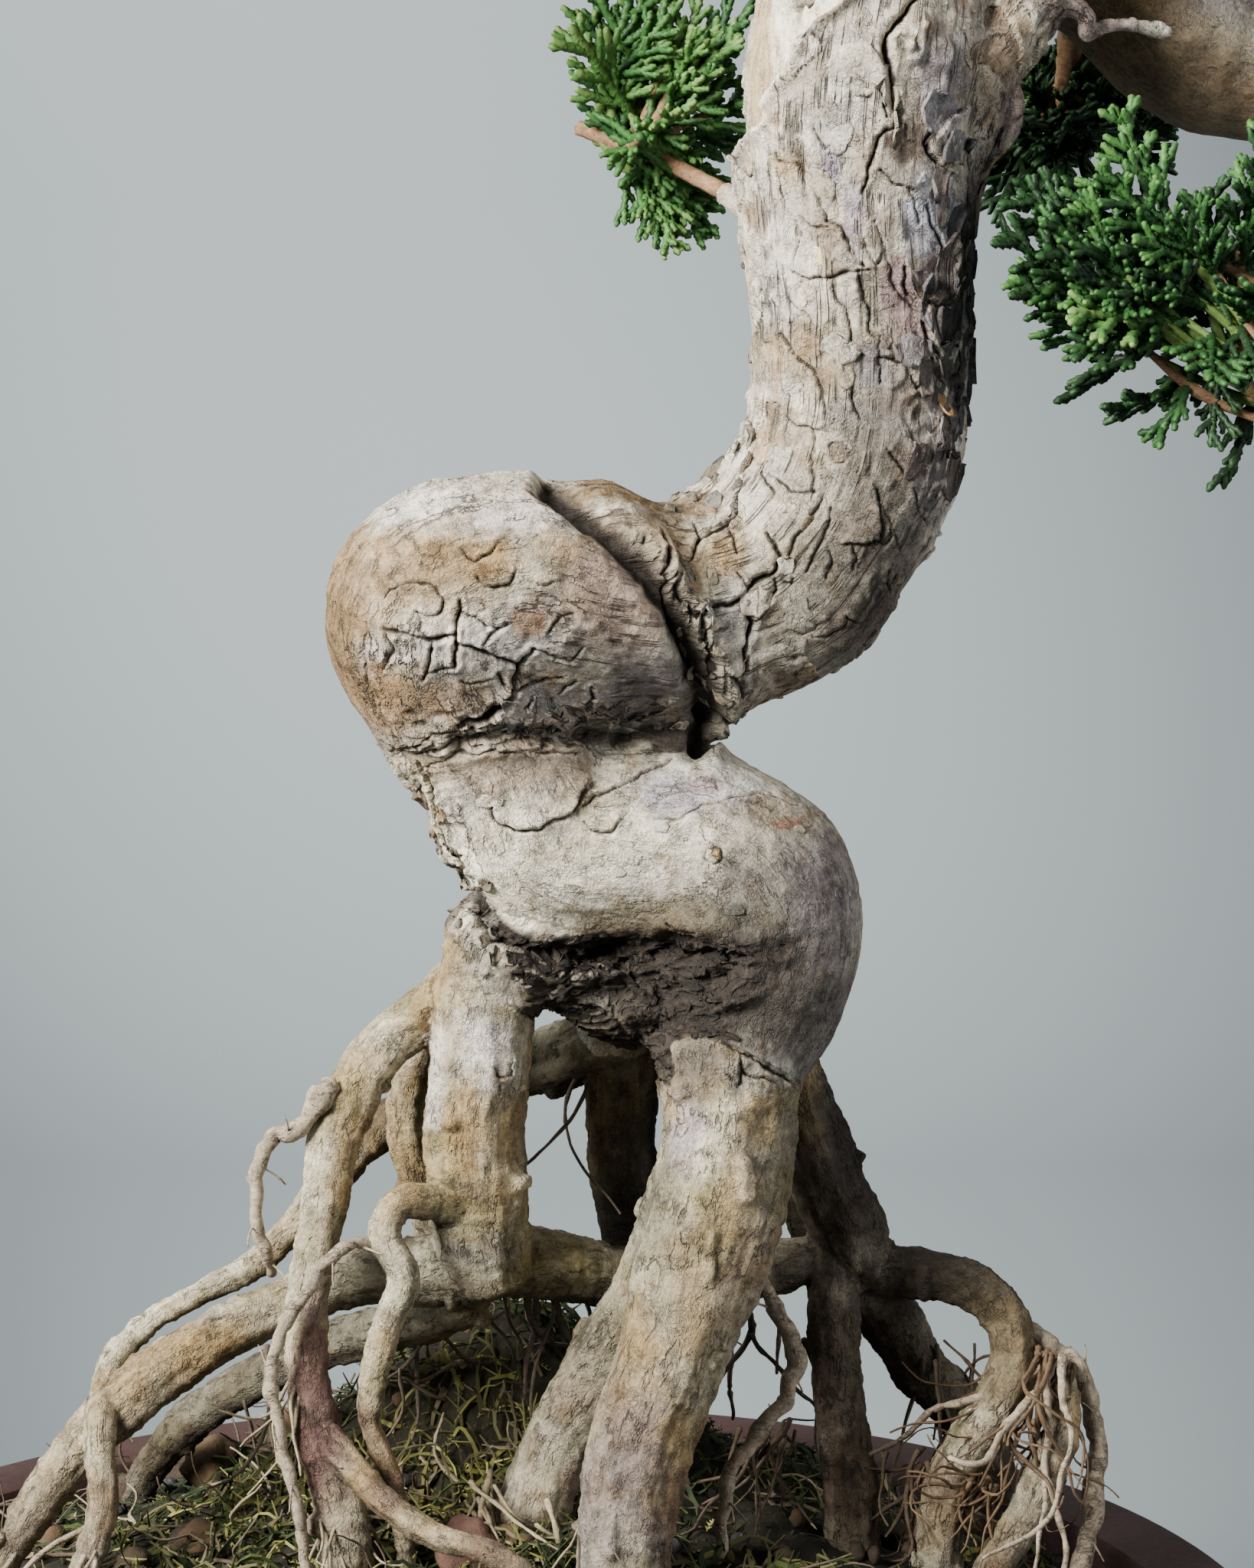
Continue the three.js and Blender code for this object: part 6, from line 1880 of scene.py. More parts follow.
        # Painted shade under the knee; the waist a little darker, and the left-hand edge darker in patches.
        deep = under * (0.9 + 0.1 * ease(-0.3, 0.4, self.patchy)) * (0.6 + 0.4 * ease(11, 19, x))
        self.dark = np.maximum(self.dark, deep)
        self.dark = np.maximum(self.dark, 0.08 * waist + 0.4 * left * ease(-0.2, 0.3, self.patchy))

    def strip_bark(self) -> None:
        """Strips the bark off the wood at the trunk's upper left, and raises a brim round it."""
        p, (x, y, z) = self.p, self.p.T
        edge = np.interp(z, [r[0] for r in self.wood.rim], [r[1] for r in self.wood.rim])
        inside = edge - x + 0.8 * layered_noise(p / 2.6, 71, 2)
        stripped = self.trunk * ease(257, 258.5, z) * ease(7, 2, y)
        self.bare = bare = ease(-0.1, 0.4, inside) * stripped
        brim = np.exp(-(((inside + 0.6) / 0.7) ** 2)) * stripped
        self.fibre = layered_noise(p * np.array([1.3, 1.3, 0.05]), 72, 3)
        self.lift = self.lift * (1 - bare) + bare * (0.3 * self.fibre - 1.9) + 1.1 * brim
        self.gap = np.where(bare > 0.3, 3, self.gap)

    def colour(self) -> None:
        """Paints the carved skin's tones, the marks that its finish reads and its grain."""
        tone = self.painted_shade_rust_and_bare_wood(self.stains_and_painted_light(self.mottled_and_lit()))
        paint, mesh = self.wood.paint, self.mesh
        paint(mesh, "Tone", tone)
        flaking = np.clip(self.flaky + 0.35 * self.scaly + 0.5 * self.coarse + 0.25, 0, 1) * (1 - self.bare)
        paint(mesh, "Marks", np.stack([self.gap / 3, flaking, 1 - self.bare], 1))
        paint(mesh, "Grain", self.wrapped / 200 + 0.5)

    def mottled_and_lit(self) -> np.ndarray:
        """Returns the bark's tones, mottled from grey to ochre, olive and lavender, some of it painted light.
        """
        p, n, trunk, shed = self.p, self.n, self.trunk, self.shed
        tone = np.tile(np.array(BarkTone.MID.value), (len(p), 1))
        # Paler in random patches, and, as a painted highlight, where the bark faces up and to the left.
        pale = ease(-0.35, 0.4, self.cloud + 0.25 * n[:, 2] - 0.3 * n[:, 0] + 0.2 * trunk)
        tone = blend(tone, BarkTone.PALE.value, pale)
        inner = ease(-0.5, -2.0, self.level + 0.5 * self.patchy) * shed
        inner = inner + 0.75 * ease(0.22, 0.6, layered_noise(p / 3.4, 88, 3)) * self.flaky
        tone = blend(tone, BarkTone.INNER.value, 0.75 * np.clip(inner, 0, 1))
        earthy = layered_noise(p / 13 + 31, 82, 3) + 0.1 * (1 - trunk) - 0.25 * self.upright
        tone = blend(tone, BarkTone.OCHRE.value, 0.8 * ease(-0.02, 0.55, earthy))
        mossy = layered_noise(p / 6 + 77, 97, 3) * (1 - trunk)
        tone = blend(tone, BarkTone.OLIVE.value, 0.6 * ease(0.05, 0.55, mossy))
        # More lavender in random patches, and, as painted shade, where the upright faces right.
        cool = layered_noise(p / 9 + 57, 83, 3) + 0.35 * self.upright * n[:, 0]
        tone = blend(tone, BarkTone.LAVENDER.value, 0.6 * ease(0.3, 0.8, cool))
        return tone * (1 + 0.2 * ((self.level % 3) - 1) * shed)[:, None]

    def stains_and_painted_light(self, tone: np.ndarray) -> np.ndarray:
        """Returns the tones with the stains and the painted light and shade on them."""
        p, n, trunk, (x, _, z) = self.p, self.n, self.trunk, self.p.T
        # Painted light on the upright's right-facing side, and painted shade on the undersides of the roots.
        painted_shade_and_light = -0.8 * ease(0.55, 0.95, n[:, 0]) * self.upright * ease(258, 250, z)
        painted_shade_and_light = painted_shade_and_light + (1 - trunk) * ease(0.1, -0.8, n[:, 2]) * 0.5
        tone = tone * (1 - painted_shade_and_light)[:, None] * (1 - (1 - trunk)[:, None] * np.array([0.12, 0.13, 0.24]))
        # Stains, and patches of painted shade and painted light.
        for toned_patch in STAINS_LIGHT_AND_SHADE:
            away = np.linalg.norm((p - np.array(toned_patch.place)) / np.array(toned_patch.reach), axis=1)
            near = away < 1.8
            ragged = away[near] + 0.4 * layered_noise(p[near] / (0.45 * min(toned_patch.reach)), 85, 3)
            held = toned_patch.strength * ease(1.15, 0.5, ragged) * (trunk[near] if toned_patch.trunk_only else 1.0)
            tone[near] = blend(tone[near], toned_patch.tone, held)
        # Painted highlight on the lips of the shed plates, except where they face right.
        tone = tone * (1 + 0.35 * self.lip * (1 - ease(0.3, 0.9, n[:, 0])))[:, None]
        # Painted light and painted shade, patch by patch, on the bark's front.
        for shade in SHADES:
            away = ((x - shade.x) / shade.wide) ** 2 + ((z - shade.z) / shade.high) ** 2
            tone = tone * (shade.factor ** (np.exp(-away) * ease(0.6, 0.1, n[:, 1])))[:, None]
        return tone

    def painted_shade_rust_and_bare_wood(self, tone: np.ndarray) -> np.ndarray:
        """Returns the tones with the low roots darker, painted light and shade, and the wood bare."""
        p, trunk, bare, (x, y, z) = self.p, self.trunk, self.bare, self.p.T
        fresh, facing = vertex_rows(self.mesh, "co"), vertex_rows(self.mesh, "normal")
        bend = self.wood.hollows(self.mesh, fresh, facing)
        tone = blend(tone, (0.3, 0.275, 0.205), 0.5 * self.rim)
        low = (1 - trunk) * ease(108, 82, z + 6 * self.cloud)
        rusty = 0.75 * low * ease(-0.2, 0.4, layered_noise(p / 6, 84, 3))
        tone = blend(tone, BarkTone.RUST.value, rusty)
        tone = blend(tone, BarkTone.DARK.value, 0.5 * low * ease(92, 72, z))
        # Painted shade on the roots that stand further back.
        behind = (1 - trunk) * ease(1, 16, y)
        tone = tone * (1 - 0.6 * behind)[:, None]
        # Painted highlight on the bumps, and painted shade in the hollows.
        tone = tone * (1 + 0.3 * ease(-0.012, -0.05, bend))[:, None]
        tone = blend(tone, BarkTone.DARK.value, 0.45 * ease(0.008, 0.05, bend) * (1 - bare))
        # Painted shade in the folds and under the knee, and the darker waist and left-hand edge.
        tone = blend(tone, BarkTone.DARK.value, np.clip(self.dark, 0, 1) * (1 - bare))
        wood = np.tile(np.array(BarkTone.BARE.value), (len(p), 1))
        wood = blend(wood, (0.5, 0.38, 0.24), 0.7 * ease(0.1, 0.7, self.fibre))
        wood = blend(wood, (0.50, 0.36, 0.19), ease(36.3, 34.6, x) * 0.85)
        return tone * (1 - bare[:, None]) + wood * bare[:, None]


@dataclass(frozen=True)
class PlateBed:
    """A stretch of bark that sheds flakes of one kind."""

    name: str
    low: tuple[float, float, float]
    high: tuple[float, float, float]
    count: int
    size: tuple[float, float]
    stretch: float
    lift: tuple[float, float]
    spacing: float
    jut: float = 0.0
    tone: tuple[float, float, float] | None = None


@dataclass(frozen=True)
class LoosePlate:
    """A single large plate that has come away from the bark at its rim."""

    place: tuple[float, float, float]
    size: float
    stretch: float
    lean: float
    lift: float
    tone: tuple[float, float, float]


@dataclass
class BarkPlates:
    """Loose flakes that lie on the bark with raised edges, and the ragged ones under the folds.

    A flake's profile gives each of its rings a share of the radius, a height and a share of the lift.
    """

    corners: int = 12
    profile: tuple[tuple[float, float, float], ...] = (
        (0.0, 0.06, 0.0), (0.45, 0.08, 0.1), (0.8, 0.08, 0.5), (0.99, 0.06, 1.0), (1.0, -0.3, 0.6),
    )
    beds: tuple[PlateBed, ...] = (
        PlateBed("upright", (30, -20, 214), (58, 22, 286), 34, (0.9, 2.6), 1.7, (0.1, 0.4), 4.4),
        PlateBed(
            "right_edge", (56, -12, 216), (70, 16, 262), 70, (1.2, 3.2), 2.2, (0.3, 1.1), 2.2, 0.0,
            (0.19, 0.165, 0.155),
        ),
        PlateBed("elbow", (27, -20, 186), (66, 20, 214), 30, (0.9, 2.2), 1.25, (0.1, 0.35), 4.2),
        PlateBed(
            "elbow_top", (24, -8, 211), (35, 12, 222), 16, (0.6, 1.4), 1.5, (0.3, 0.9), 2.0, 0.2,
            (0.2, 0.175, 0.135),
        ),
        PlateBed(
            "fold_rim", (4, -24, 184), (26, 0, 189), 28, (0.8, 1.9), 0.45, (0.2, 0.6), 1.9, 0.2,
            (0.26, 0.225, 0.18),
        ),
        PlateBed(
            "fold_side", (24, -24, 187), (31, 0, 208), 16, (0.5, 1.1), 2.2, (0.2, 0.5), 1.8, 0.2,
            (0.3, 0.27, 0.21),
        ),
        # The flakes under the knee are near black, a painted shade.
        PlateBed(
            "underfold", (4, -14, 140), (33, 5, 158), 110, (0.6, 1.6), 0.4, (0.2, 0.6), 1.5, 0.22,
            (0.028, 0.022, 0.017),
        ),
        PlateBed(
            "left_edge", (-9, -13, 153), (2, 5, 183), 46, (0.7, 1.6), 1.3, (0.2, 0.8), 1.5, 0.3,
            (0.2, 0.165, 0.12),
        ),
        PlateBed("tube", (0, -20, 160), (48, 10, 184), 12, (0.7, 1.5), 0.6, (0.05, 0.2), 5.5),
    )
    plates: tuple[LoosePlate, ...] = (
        LoosePlate((58.3, -11, 242.2), 3.7, 0.9, 0.0, 0.9, (0.15, 0.115, 0.11)),
        LoosePlate((60.6, -10, 236.2), 3.1, 1.3, 0.2, 0.9, (0.16, 0.13, 0.13)),
        LoosePlate((54.8, -13, 233.2), 2.3, 0.8, 0.3, 0.6, (0.24, 0.215, 0.21)),
        LoosePlate((57.5, -13, 262.4), 2.9, 1.5, -0.5, 0.9, (0.25, 0.23, 0.235)),
        LoosePlate((59.2, -11.5, 258.5), 2.4, 1.2, -0.1, 0.7, (0.2, 0.18, 0.18)),
        LoosePlate((56.4, -12, 218.6), 2.0, 1.5, 0.1, 0.6, (0.17, 0.13, 0.11)),
        LoosePlate((62.6, -6, 224.5), 1.9, 3.0, 0.1, 1.0, (0.19, 0.165, 0.165)),
        LoosePlate((60.2, -9, 222.5), 1.6, 3.2, 0.0, 0.9, (0.22, 0.19, 0.185)),
        LoosePlate((60.0, -9, 226.3), 1.2, 2.6, -0.55, 1.5, (0.50, 0.31, 0.14)),
        LoosePlate((50.6, -14, 262.0), 2.6, 1.4, 0.1, 0.7, (0.46, 0.40, 0.30)),
        LoosePlate((47.6, -14, 268.4), 3.0, 0.8, 0.5, 0.9, (0.52, 0.47, 0.37)),
        LoosePlate((44.0, -15, 233.5), 2.6, 1.2, 0.1, 0.6, (0.46, 0.42, 0.33)),
    )

    def build(self, skins: Sequence[bpy.types.Object], wood: Wood) -> bpy.types.Object:
        """Lays the flakes on the trunk and registers them.

        Args:
            skins: the trunk's pieces that the flakes lie on.
            wood: paints the flakes like the skin below them.

        Returns:
            The flakes' object.
        """
        places = np.concatenate([vertex_rows(s.data, "co") for s in skins])
        tones = np.concatenate([wood.painted(s.data, "Tone") for s in skins])
        bark = np.concatenate([wood.painted(s.data, "Marks")[:, 2] for s in skins])
        trees = [
            BVHTree.FromPolygons([v.co for v in s.data.vertices], [p.vertices for p in s.data.polygons])
            for s in skins
        ]
        rng = seeded_random(41)
        sheaf, painted = Sheaf(), []
        for bed in self.beds:
            inside = np.all((places > bed.low) & (places < bed.high), axis=1) & (bark > 0.9)
            taken: list[np.ndarray] = []
            for index in rng.permutation(inside.nonzero()[0])[: bed.count * 14]:
                seat = places[index]
                if taken and np.min(np.linalg.norm(np.array(taken) - seat, axis=1)) < bed.spacing:
                    continue
                taken.append(seat)
                before = sheaf.count
                size, lift = rng.uniform(*bed.size), rng.uniform(*bed.lift)
                self.flake(sheaf, trees, seat, size, bed.stretch, 0.25 * rng.normal(), lift, bed.jut, rng)
                tone = np.maximum(tones[index], 0.05) if bed.tone is None else np.array(bed.tone)
                tone = tone * rng.uniform(0.7, 1.3) * (1 + 0.05 * rng.normal() * np.array([1, 0, -1.4]))
                painted.append(np.tile(tone, (sheaf.count - before, 1)))
                if len(taken) >= bed.count:
                    break
        for plate in self.plates:
            before = sheaf.count
            place = np.array(plate.place)
            self.flake(sheaf, trees, place, plate.size, plate.stretch, plate.lean, plate.lift, 0.0, rng)
            painted.append(np.tile(plate.tone, (sheaf.count - before, 1)))
        piece = sheaf.made("bark_flakes", [WoodFinish("loose bark", relief=0.35).material()])
        rows = np.concatenate(painted)
        wood.paint(piece.data, "Tone", rows)
        wood.paint(piece.data, "Marks", np.tile(np.array([1, 0.7, 0.9]), (len(rows), 1)))
        wood.paint(piece.data, "Grain", np.concatenate(sheaf.points) / 200 + 0.3)
        return keep(piece, "bark")

    def flake(
        self, sheaf: Sheaf, trees: list[BVHTree], seat: np.ndarray, size: float, stretch: float, lean: float,
        lift: float, jut: float, rng: np.random.Generator,
    ) -> None:
        """Adds one flake, thin at its ragged rim and raised on one side.

        Args:
            sheaf: takes its triangles.
            trees: find the nearest skin.
            seat: its middle, on or near the skin.
            size: its radius.
            stretch: how many times longer it is than wide.
            lean: how far its length leans from the upright.
            lift: how high its rim rises.
            jut: how crookedly it stands.
            rng: the random numbers.
        """
        k = self.corners
        seat, normal = nearest_skin(trees, seat)
        up = np.array([lean, 0.0, 1.0])
        long = unit(up - normal * up.dot(normal))
        wide = np.cross(normal, long)
        turn = np.linspace(0, 2 * np.pi, k, endpoint=False) + 0.22 * rng.uniform(-1, 1, k)
        reach = size * (1 + 0.16 * np.sin(2 * turn + rng.uniform(0, 6)) + 0.2 * rng.uniform(-1, 1, k))
        flat = np.stack([np.cos(turn) * reach * stretch**0.5, np.sin(turn) * reach / stretch**0.5], 1)
        tilt = np.clip(0.3 + 0.8 * np.cos(turn - rng.uniform(0, 2 * np.pi)), 0, 1)
        tilt = tilt * (1 + 0.3 * rng.uniform(-1, 1, k))
        rings: list[np.ndarray] = []
        for share, rise, raised in self.profile:
            rows = flat * share if share else flat[:1] * 0
            for index, (a, b) in enumerate(rows):
                near, face = nearest_skin(trees, seat + long * a + wide * b)
                out = unit(face + jut * rng.uniform(-1, 1, 3) * share) if jut else face
                own = rise + 0.05 * rng.uniform(-1, 1) * share + lift * raised * (tilt[index] if share else 0)
                rings.append(near + out * own * (1 + jut * share))
        points = np.array(rings)
        i = np.arange(k)
        j = (i + 1) % k
        triangles = [np.stack([np.zeros(k, int), 1 + i, 1 + j], 1)]
        for ring in range(3):
            inner, outer = 1 + ring * k, 1 + (ring + 1) * k
            triangles.append(np.stack([inner + i, outer + i, outer + j], 1))
            triangles.append(np.stack([inner + i, outer + j, inner + j], 1))
        sheaf.add(points, np.vstack(triangles))


def nearest_skin(trees: list[BVHTree], spot: np.ndarray) -> tuple[np.ndarray, np.ndarray]:
    """Finds the nearest place on any of several skins.

    Args:
        trees: one search tree for each skin.
        spot: a place in millimetres.

    Returns:
        The nearest place in millimetres and the skin's direction there.
    """
    best = None
    for tree in trees:
        found = tree.find_nearest(Vector(spot * MM))
        if found[0] is not None and (best is None or found[3] < best[3]):
            best = found
    return np.array(best[0]) / MM, np.array(best[1])


# The soil and pot


@dataclass(frozen=True)
class SoilForm:
    """The soil's surface, from the same sizes as its solid."""

    edge_height: float = 56.0
    edge_radius: float = 92.7
    rise: float = 22.0
    power: float = 2.5
    tilt: float = 0.05
    heap: tuple[float, float, float, float] = (2.0, 32.0, 22.0, 17.0)

    def height(self, x: np.ndarray | float, y: np.ndarray | float) -> np.ndarray | float:
        """Returns the smooth surface's height at a place."""
        share = np.minimum(1, np.hypot(x, y) / self.edge_radius)
        hx, hy, rise, spread = self.heap
        away = (x - hx) ** 2 + (y - hy) ** 2
        heap = rise * np.exp(-away / (2 * spread**2)) * (1 - share**4)
        return self.edge_height + self.rise * (1 - share**self.power) + self.tilt * y * (1 - share**2) + heap


class MossPatch(Enum):
    """A patch of moss, as the leaf colours of its sprigs and of its strands, by number."""

    BRIGHT = ((1, 1, 2, 0, 4, 4), (1, 1, 2, 2, 4, 4, 0, 1))
    FRONT = ((0, 0, 1, 3, 3, 4), (1, 2, 4, 4, 0, 3, 3, 3))
    BACK = ((3, 3, 3, 3, 4, 0), (3, 3, 3, 3, 3, 4, 4, 0))


@dataclass
class SoilBed:
    """The soil with its moss, baked clay grains, a cinder lump and loose fibres."""

    form: SoilForm = SoilForm()
    rings: int = 88
    spokes: int = 330
    sprigs: int = 4200
    strands: int = 2300
    grains: int = 600
    lumps: int = 36
    stones: tuple[tuple[float, float, float, int], ...] = (
        (-40, 34, 4.2, 0), (-30, 37, 3.6, 0), (-52, 30, 3.0, 1), (-2, -14, 3.6, 3), (-60, 12, 2.6, 0),
        (33, -37, 6.5, 2), (26, -30, 4.5, 2), (42, -30, 4.0, 2), (30, -22, 3.5, 2), (-48, -24, 2.6, 1),
        (52, -18, 2.6, 1),
    )

    def bumps(self, places: np.ndarray) -> np.ndarray:
        """Returns how far the uneven surface stands above the smooth one."""
        flat = places * np.array([1, 1, 0])
        return 1.9 * layered_noise(flat / 13, 401, 2) + 1.3 * layered_noise(flat / 3.6, 402, 3) - 0.6

    def surface(self, x: np.ndarray, y: np.ndarray) -> np.ndarray:
        """Returns the uneven surface's height at each place."""
        places = np.stack([x, y, 0 * x], 1)
        fade = 1 - (np.hypot(x, y) / self.form.edge_radius) ** 8
        return self.form.height(x, y) + self.bumps(places) * fade

    def build(self) -> None:
        """Builds and registers the soil and all that lies on it."""
        self.build_ground()
        self.build_moss()
        self.build_grains()

    def build_ground(self) -> None:
        """Builds the soil's surface and its hidden sides."""
        radius = self.form.edge_radius * np.linspace(0, 1, self.rings) ** 0.85
        turn = np.linspace(0, 2 * np.pi, self.spokes, endpoint=False)
        x = (radius[:, None] * np.cos(turn)).ravel()
        y = (radius[:, None] * np.sin(turn)).ravel()
        top = np.stack([x, y, self.surface(x, y)], 1)
        foot = top[-self.spokes :] * np.array([0.86, 0.86, 0])
        foot[:, 2] = 12.0
        points = np.vstack([top, foot, [[0, 0, 12.0]]])
        ring = np.arange(self.rings)[:, None] * self.spokes
        k = np.arange(self.spokes)[None, :]
        k2 = (k + 1) % self.spokes
        outer = ring + self.spokes
        a, b, c, d = (v.ravel() for v in (ring + k, outer + k, outer + k2, ring + k2))
        base = self.rings * self.spokes
        under = np.stack([base + k2.ravel(), base + k.ravel(), np.full(self.spokes, base + self.spokes)], 1)
        triangles = np.vstack([np.stack([a, b, c], 1), np.stack([a, c, d], 1), under])
        sheaf = Sheaf()
        sheaf.add(points, triangles)
        soil = GritFinish("damp soil", (0.018, 0.016, 0.008), (0.062, 0.054, 0.026), 0.7, 0.95, 0.6)
        keep(sheaf.made("soil_ground", [soil.material()]), "soil", "soil")

    def mossy(self, x: np.ndarray, y: np.ndarray) -> np.ndarray:
        """Returns how thickly moss grows at each place, from 0 to 1."""
        places = np.stack([x, y, 0 * x], 1)
        patch = layered_noise(places / 20, 410, 3) + 0.4 * ease(30, -30, x) + 0.15
        return ease(-0.05, 0.35, patch)

    def patch(self, place: np.ndarray) -> MossPatch:
        """Returns the patch of moss that a place lies in."""
        if math.hypot((place[0] + 6) / 19, (place[1] - 9) / 14) < 1:
            return MossPatch.BRIGHT
        return MossPatch.FRONT if place[1] < 20 else MossPatch.BACK

    def scattered(self, count: int, rng: np.random.Generator) -> np.ndarray:
        """Picks places for moss.

        Args:
            count: how many.
            rng: the random numbers.

        Returns:
            Places on the uneven soil, in rows of three.
        """
        radius = self.form.edge_radius * 0.97 * np.sqrt(rng.uniform(0, 1, count * 6))
        turn = rng.uniform(0, 2 * np.pi, count * 6)
        x, y = radius * np.cos(turn), radius * np.sin(turn)
        good = rng.uniform(0, 1, len(x)) < self.mossy(x, y) * np.where(y < 12, 1, 0.4)
        x, y = x[good][:count], y[good][:count]
        return np.stack([x, y, self.surface(x, y)], 1)

    def build_moss(self) -> None:
        """Scatters sprigs of moss, each a stem with small leaves, and its long creeping strands."""
        rng = seeded_random(42)
        leaves = [
            LeafFinish("moss green", (0.046, 0.066, 0.014), 0.85),
            LeafFinish("moss yellow", (0.27, 0.255, 0.075), 0.85),
            LeafFinish("moss dry", (0.17, 0.14, 0.076), 0.9),
            LeafFinish("moss deep", (0.022, 0.032, 0.010), 0.85),
            LeafFinish("moss olive", (0.09, 0.088, 0.03), 0.85),
        ]
        leaves = [leaf.material() for leaf in leaves]
        kinds = (("sprigs", self.sprigs, self.sprig), ("strands", self.strands, self.strand))
        for name, count, grow in kinds:
            sheaf = Sheaf()
            for place in self.scattered(count, rng):
                grow(sheaf, place, rng)
            keep(sheaf.made(f"soil_{name}", leaves, False), "foliage")

    def strand(self, sheaf: Sheaf, place: np.ndarray, rng: np.random.Generator) -> None:
        """Adds one creeping strand, with a few side shoots.

        Args:
            sheaf: takes its triangles.
            place: where it starts.
            rng: the random numbers.
        """
        count, step = int(rng.integers(5, 10)), 1.35
        turn = rng.uniform(0, 2 * np.pi) + np.cumsum(rng.normal(size=count) * 0.42)
        flat = place[:2] + np.cumsum(np.stack([np.cos(turn), np.sin(turn)], 1), axis=0) * step
        away = np.hypot(flat[:, 0], flat[:, 1])
        flat *= np.minimum(1, self.form.edge_radius * 0.98 / np.maximum(away, 1))[:, None]
        arch = np.sin(np.linspace(0, np.pi, count)) * rng.uniform(0.5, 3.4)
        height = self.surface(flat[:, 0], flat[:, 1]) + 0.2 + arch
        line = np.column_stack([flat, height])
        thick = rng.uniform(0.2, 0.46) * np.linspace(1, 0.5, count) * (1 + 0.25 * rng.normal(size=count))
        slot = int(rng.choice(self.patch(place).value[1]))
        sheaf.tube(Path(line, np.maximum(thick, 0.08)), 3, slot)
        for _ in range(int(rng.integers(1, 4))):
            start = line[int(rng.integers(1, count - 2))]
            way = unit(rng.normal(size=3) + np.array([0, 0, 0.7]))
            side = start + np.linspace(0, rng.uniform(1.2, 3.2), 3)[:, None] * way
            sheaf.tube(Path(side, np.linspace(0.2, 0.09, 3)), 3, slot)

    def sprig(self, sheaf: Sheaf, place: np.ndarray, rng: np.random.Generator) -> None:
        """Adds one sprig of moss: a bent stem with pairs of pointed leaves.

        Args:
            sheaf: takes its triangles.
            place: where it grows.
            rng: the random numbers.
        """
        length = rng.uniform(1.6, 4.6)
        lean = unit(np.array([rng.normal(), rng.normal(), rng.uniform(0.15, 1.1)]))
        side = unit(np.cross(lean, [0, 0, 1.0]) + 1e-6)
        up = np.cross(side, lean)
        pairs = 4
        share = np.linspace(0.1, 1, pairs)[:, None]
        stem = place + lean * length * share - np.array([0, 0, 1.0]) * 0.35 * length * share**2
        span = rng.uniform(0.4, 0.75) * (1.15 - 0.6 * share)
        rows, faces = [], []
        for way in (-1, 1):
            tip = stem + way * side * span + lean * span * 0.7 + up * 0.2
            back = stem + lean * 0.3
            start = len(rows) * pairs
            rows += [stem - lean * 0.12, back, tip]
            i = np.arange(pairs)
            faces.append(np.stack([start + i, start + pairs + i, start + 2 * pairs + i], 1))
        line = np.vstack([place, stem])
        stalk, bark = tube_shape(Path(line, np.linspace(0.14, 0.08, len(line))), 3)
        points = np.vstack([*rows, stalk])
        triangles = np.vstack([*faces, bark + len(rows) * pairs])
        sheaf.add(points, triangles, int(rng.choice(self.patch(place).value[0])))

    def lump(self, body: np.ndarray, size: float, number: int, rng: np.random.Generator) -> np.ndarray:
        """Returns a ball's corners knocked into an irregular lump."""
        ragged = 1 + 0.4 * layered_noise(body * 1.7 + number * 3.1, 420, 3)
        facet = 0.12 * np.round(3 * layered_noise(body * 0.9 + number * 1.7, 421, 1)) / 3
        return body * (rng.uniform(0.7, 1.3, 3) * size) * (ragged + facet)[:, None]

    def build_grains(self) -> None:
        """Scatters baked clay grains and sets the larger stones and the cinders."""
        rng = seeded_random(43)
        sheaf = Sheaf()
        small, large = self.ball(2), self.ball(3)
        radius = self.form.edge_radius * 0.96 * np.sqrt(rng.uniform(0, 1, self.grains))
        turn = rng.uniform(0, 2 * np.pi, self.grains)
        x, y = radius * np.cos(turn), radius * np.sin(turn)
        size = 0.35 + 1.1 * rng.uniform(0, 1, self.grains) ** 2
        z = self.surface(x, y) + 0.2 * size
        for number, place in enumerate(np.column_stack([x, y, z])):
            own = self.lump(small[0], size[number], number, rng)
            sheaf.add(own + place, small[1], int(rng.choice([0, 1, 1, 2, 2])))
        around = self.scattered(self.lumps, rng)
        loose = [(x, y, rng.uniform(1.5, 3.3), int(rng.choice([0, 0, 1]))) for x, y, _ in around]
        for number, (x, y, girth, slot) in enumerate([*self.stones, *loose]):
            own = self.lump(large[0], girth, 900 + number, rng)
            own += 0.05 * girth * layered_noise(own / (0.22 * girth) + number, 422, 3)[:, None] * unit(own)
            sheaf.add(own + np.array([x, y, self.form.height(x, y) + 0.2 * girth]), large[1], slot)
        finishes = (
            GritFinish("baked clay grain", (0.10, 0.063, 0.033), (0.18, 0.125, 0.07), 1.4, 0.9, 0.25),
            GritFinish("brown grain", (0.05, 0.034, 0.022), (0.10, 0.072, 0.044), 1.4, 0.9, 0.25),
            GritFinish("cinder", (0.028, 0.026, 0.025), (0.30, 0.29, 0.27), 0.7, 0.9, 0.6),
            GritFinish("reddish stone", (0.16, 0.085, 0.062), (0.26, 0.17, 0.13), 1.1, 0.9, 0.25),
        )
        keep(sheaf.made("soil_grains", [f.material() for f in finishes]), "soil")

    def ball(self, fineness: int) -> tuple[np.ndarray, np.ndarray]:
        """Returns a unit ball's corners and triangles."""
        bpy.ops.object.select_all(action="DESELECT")
        bpy.ops.mesh.primitive_ico_sphere_add(subdivisions=fineness, radius=1.0)
        ball = bpy.context.object
        points = vertex_rows(ball.data, "co") * MM
        corners = np.array([list(p.vertices) for p in ball.data.polygons])
        bpy.data.objects.remove(ball)
        return points, corners


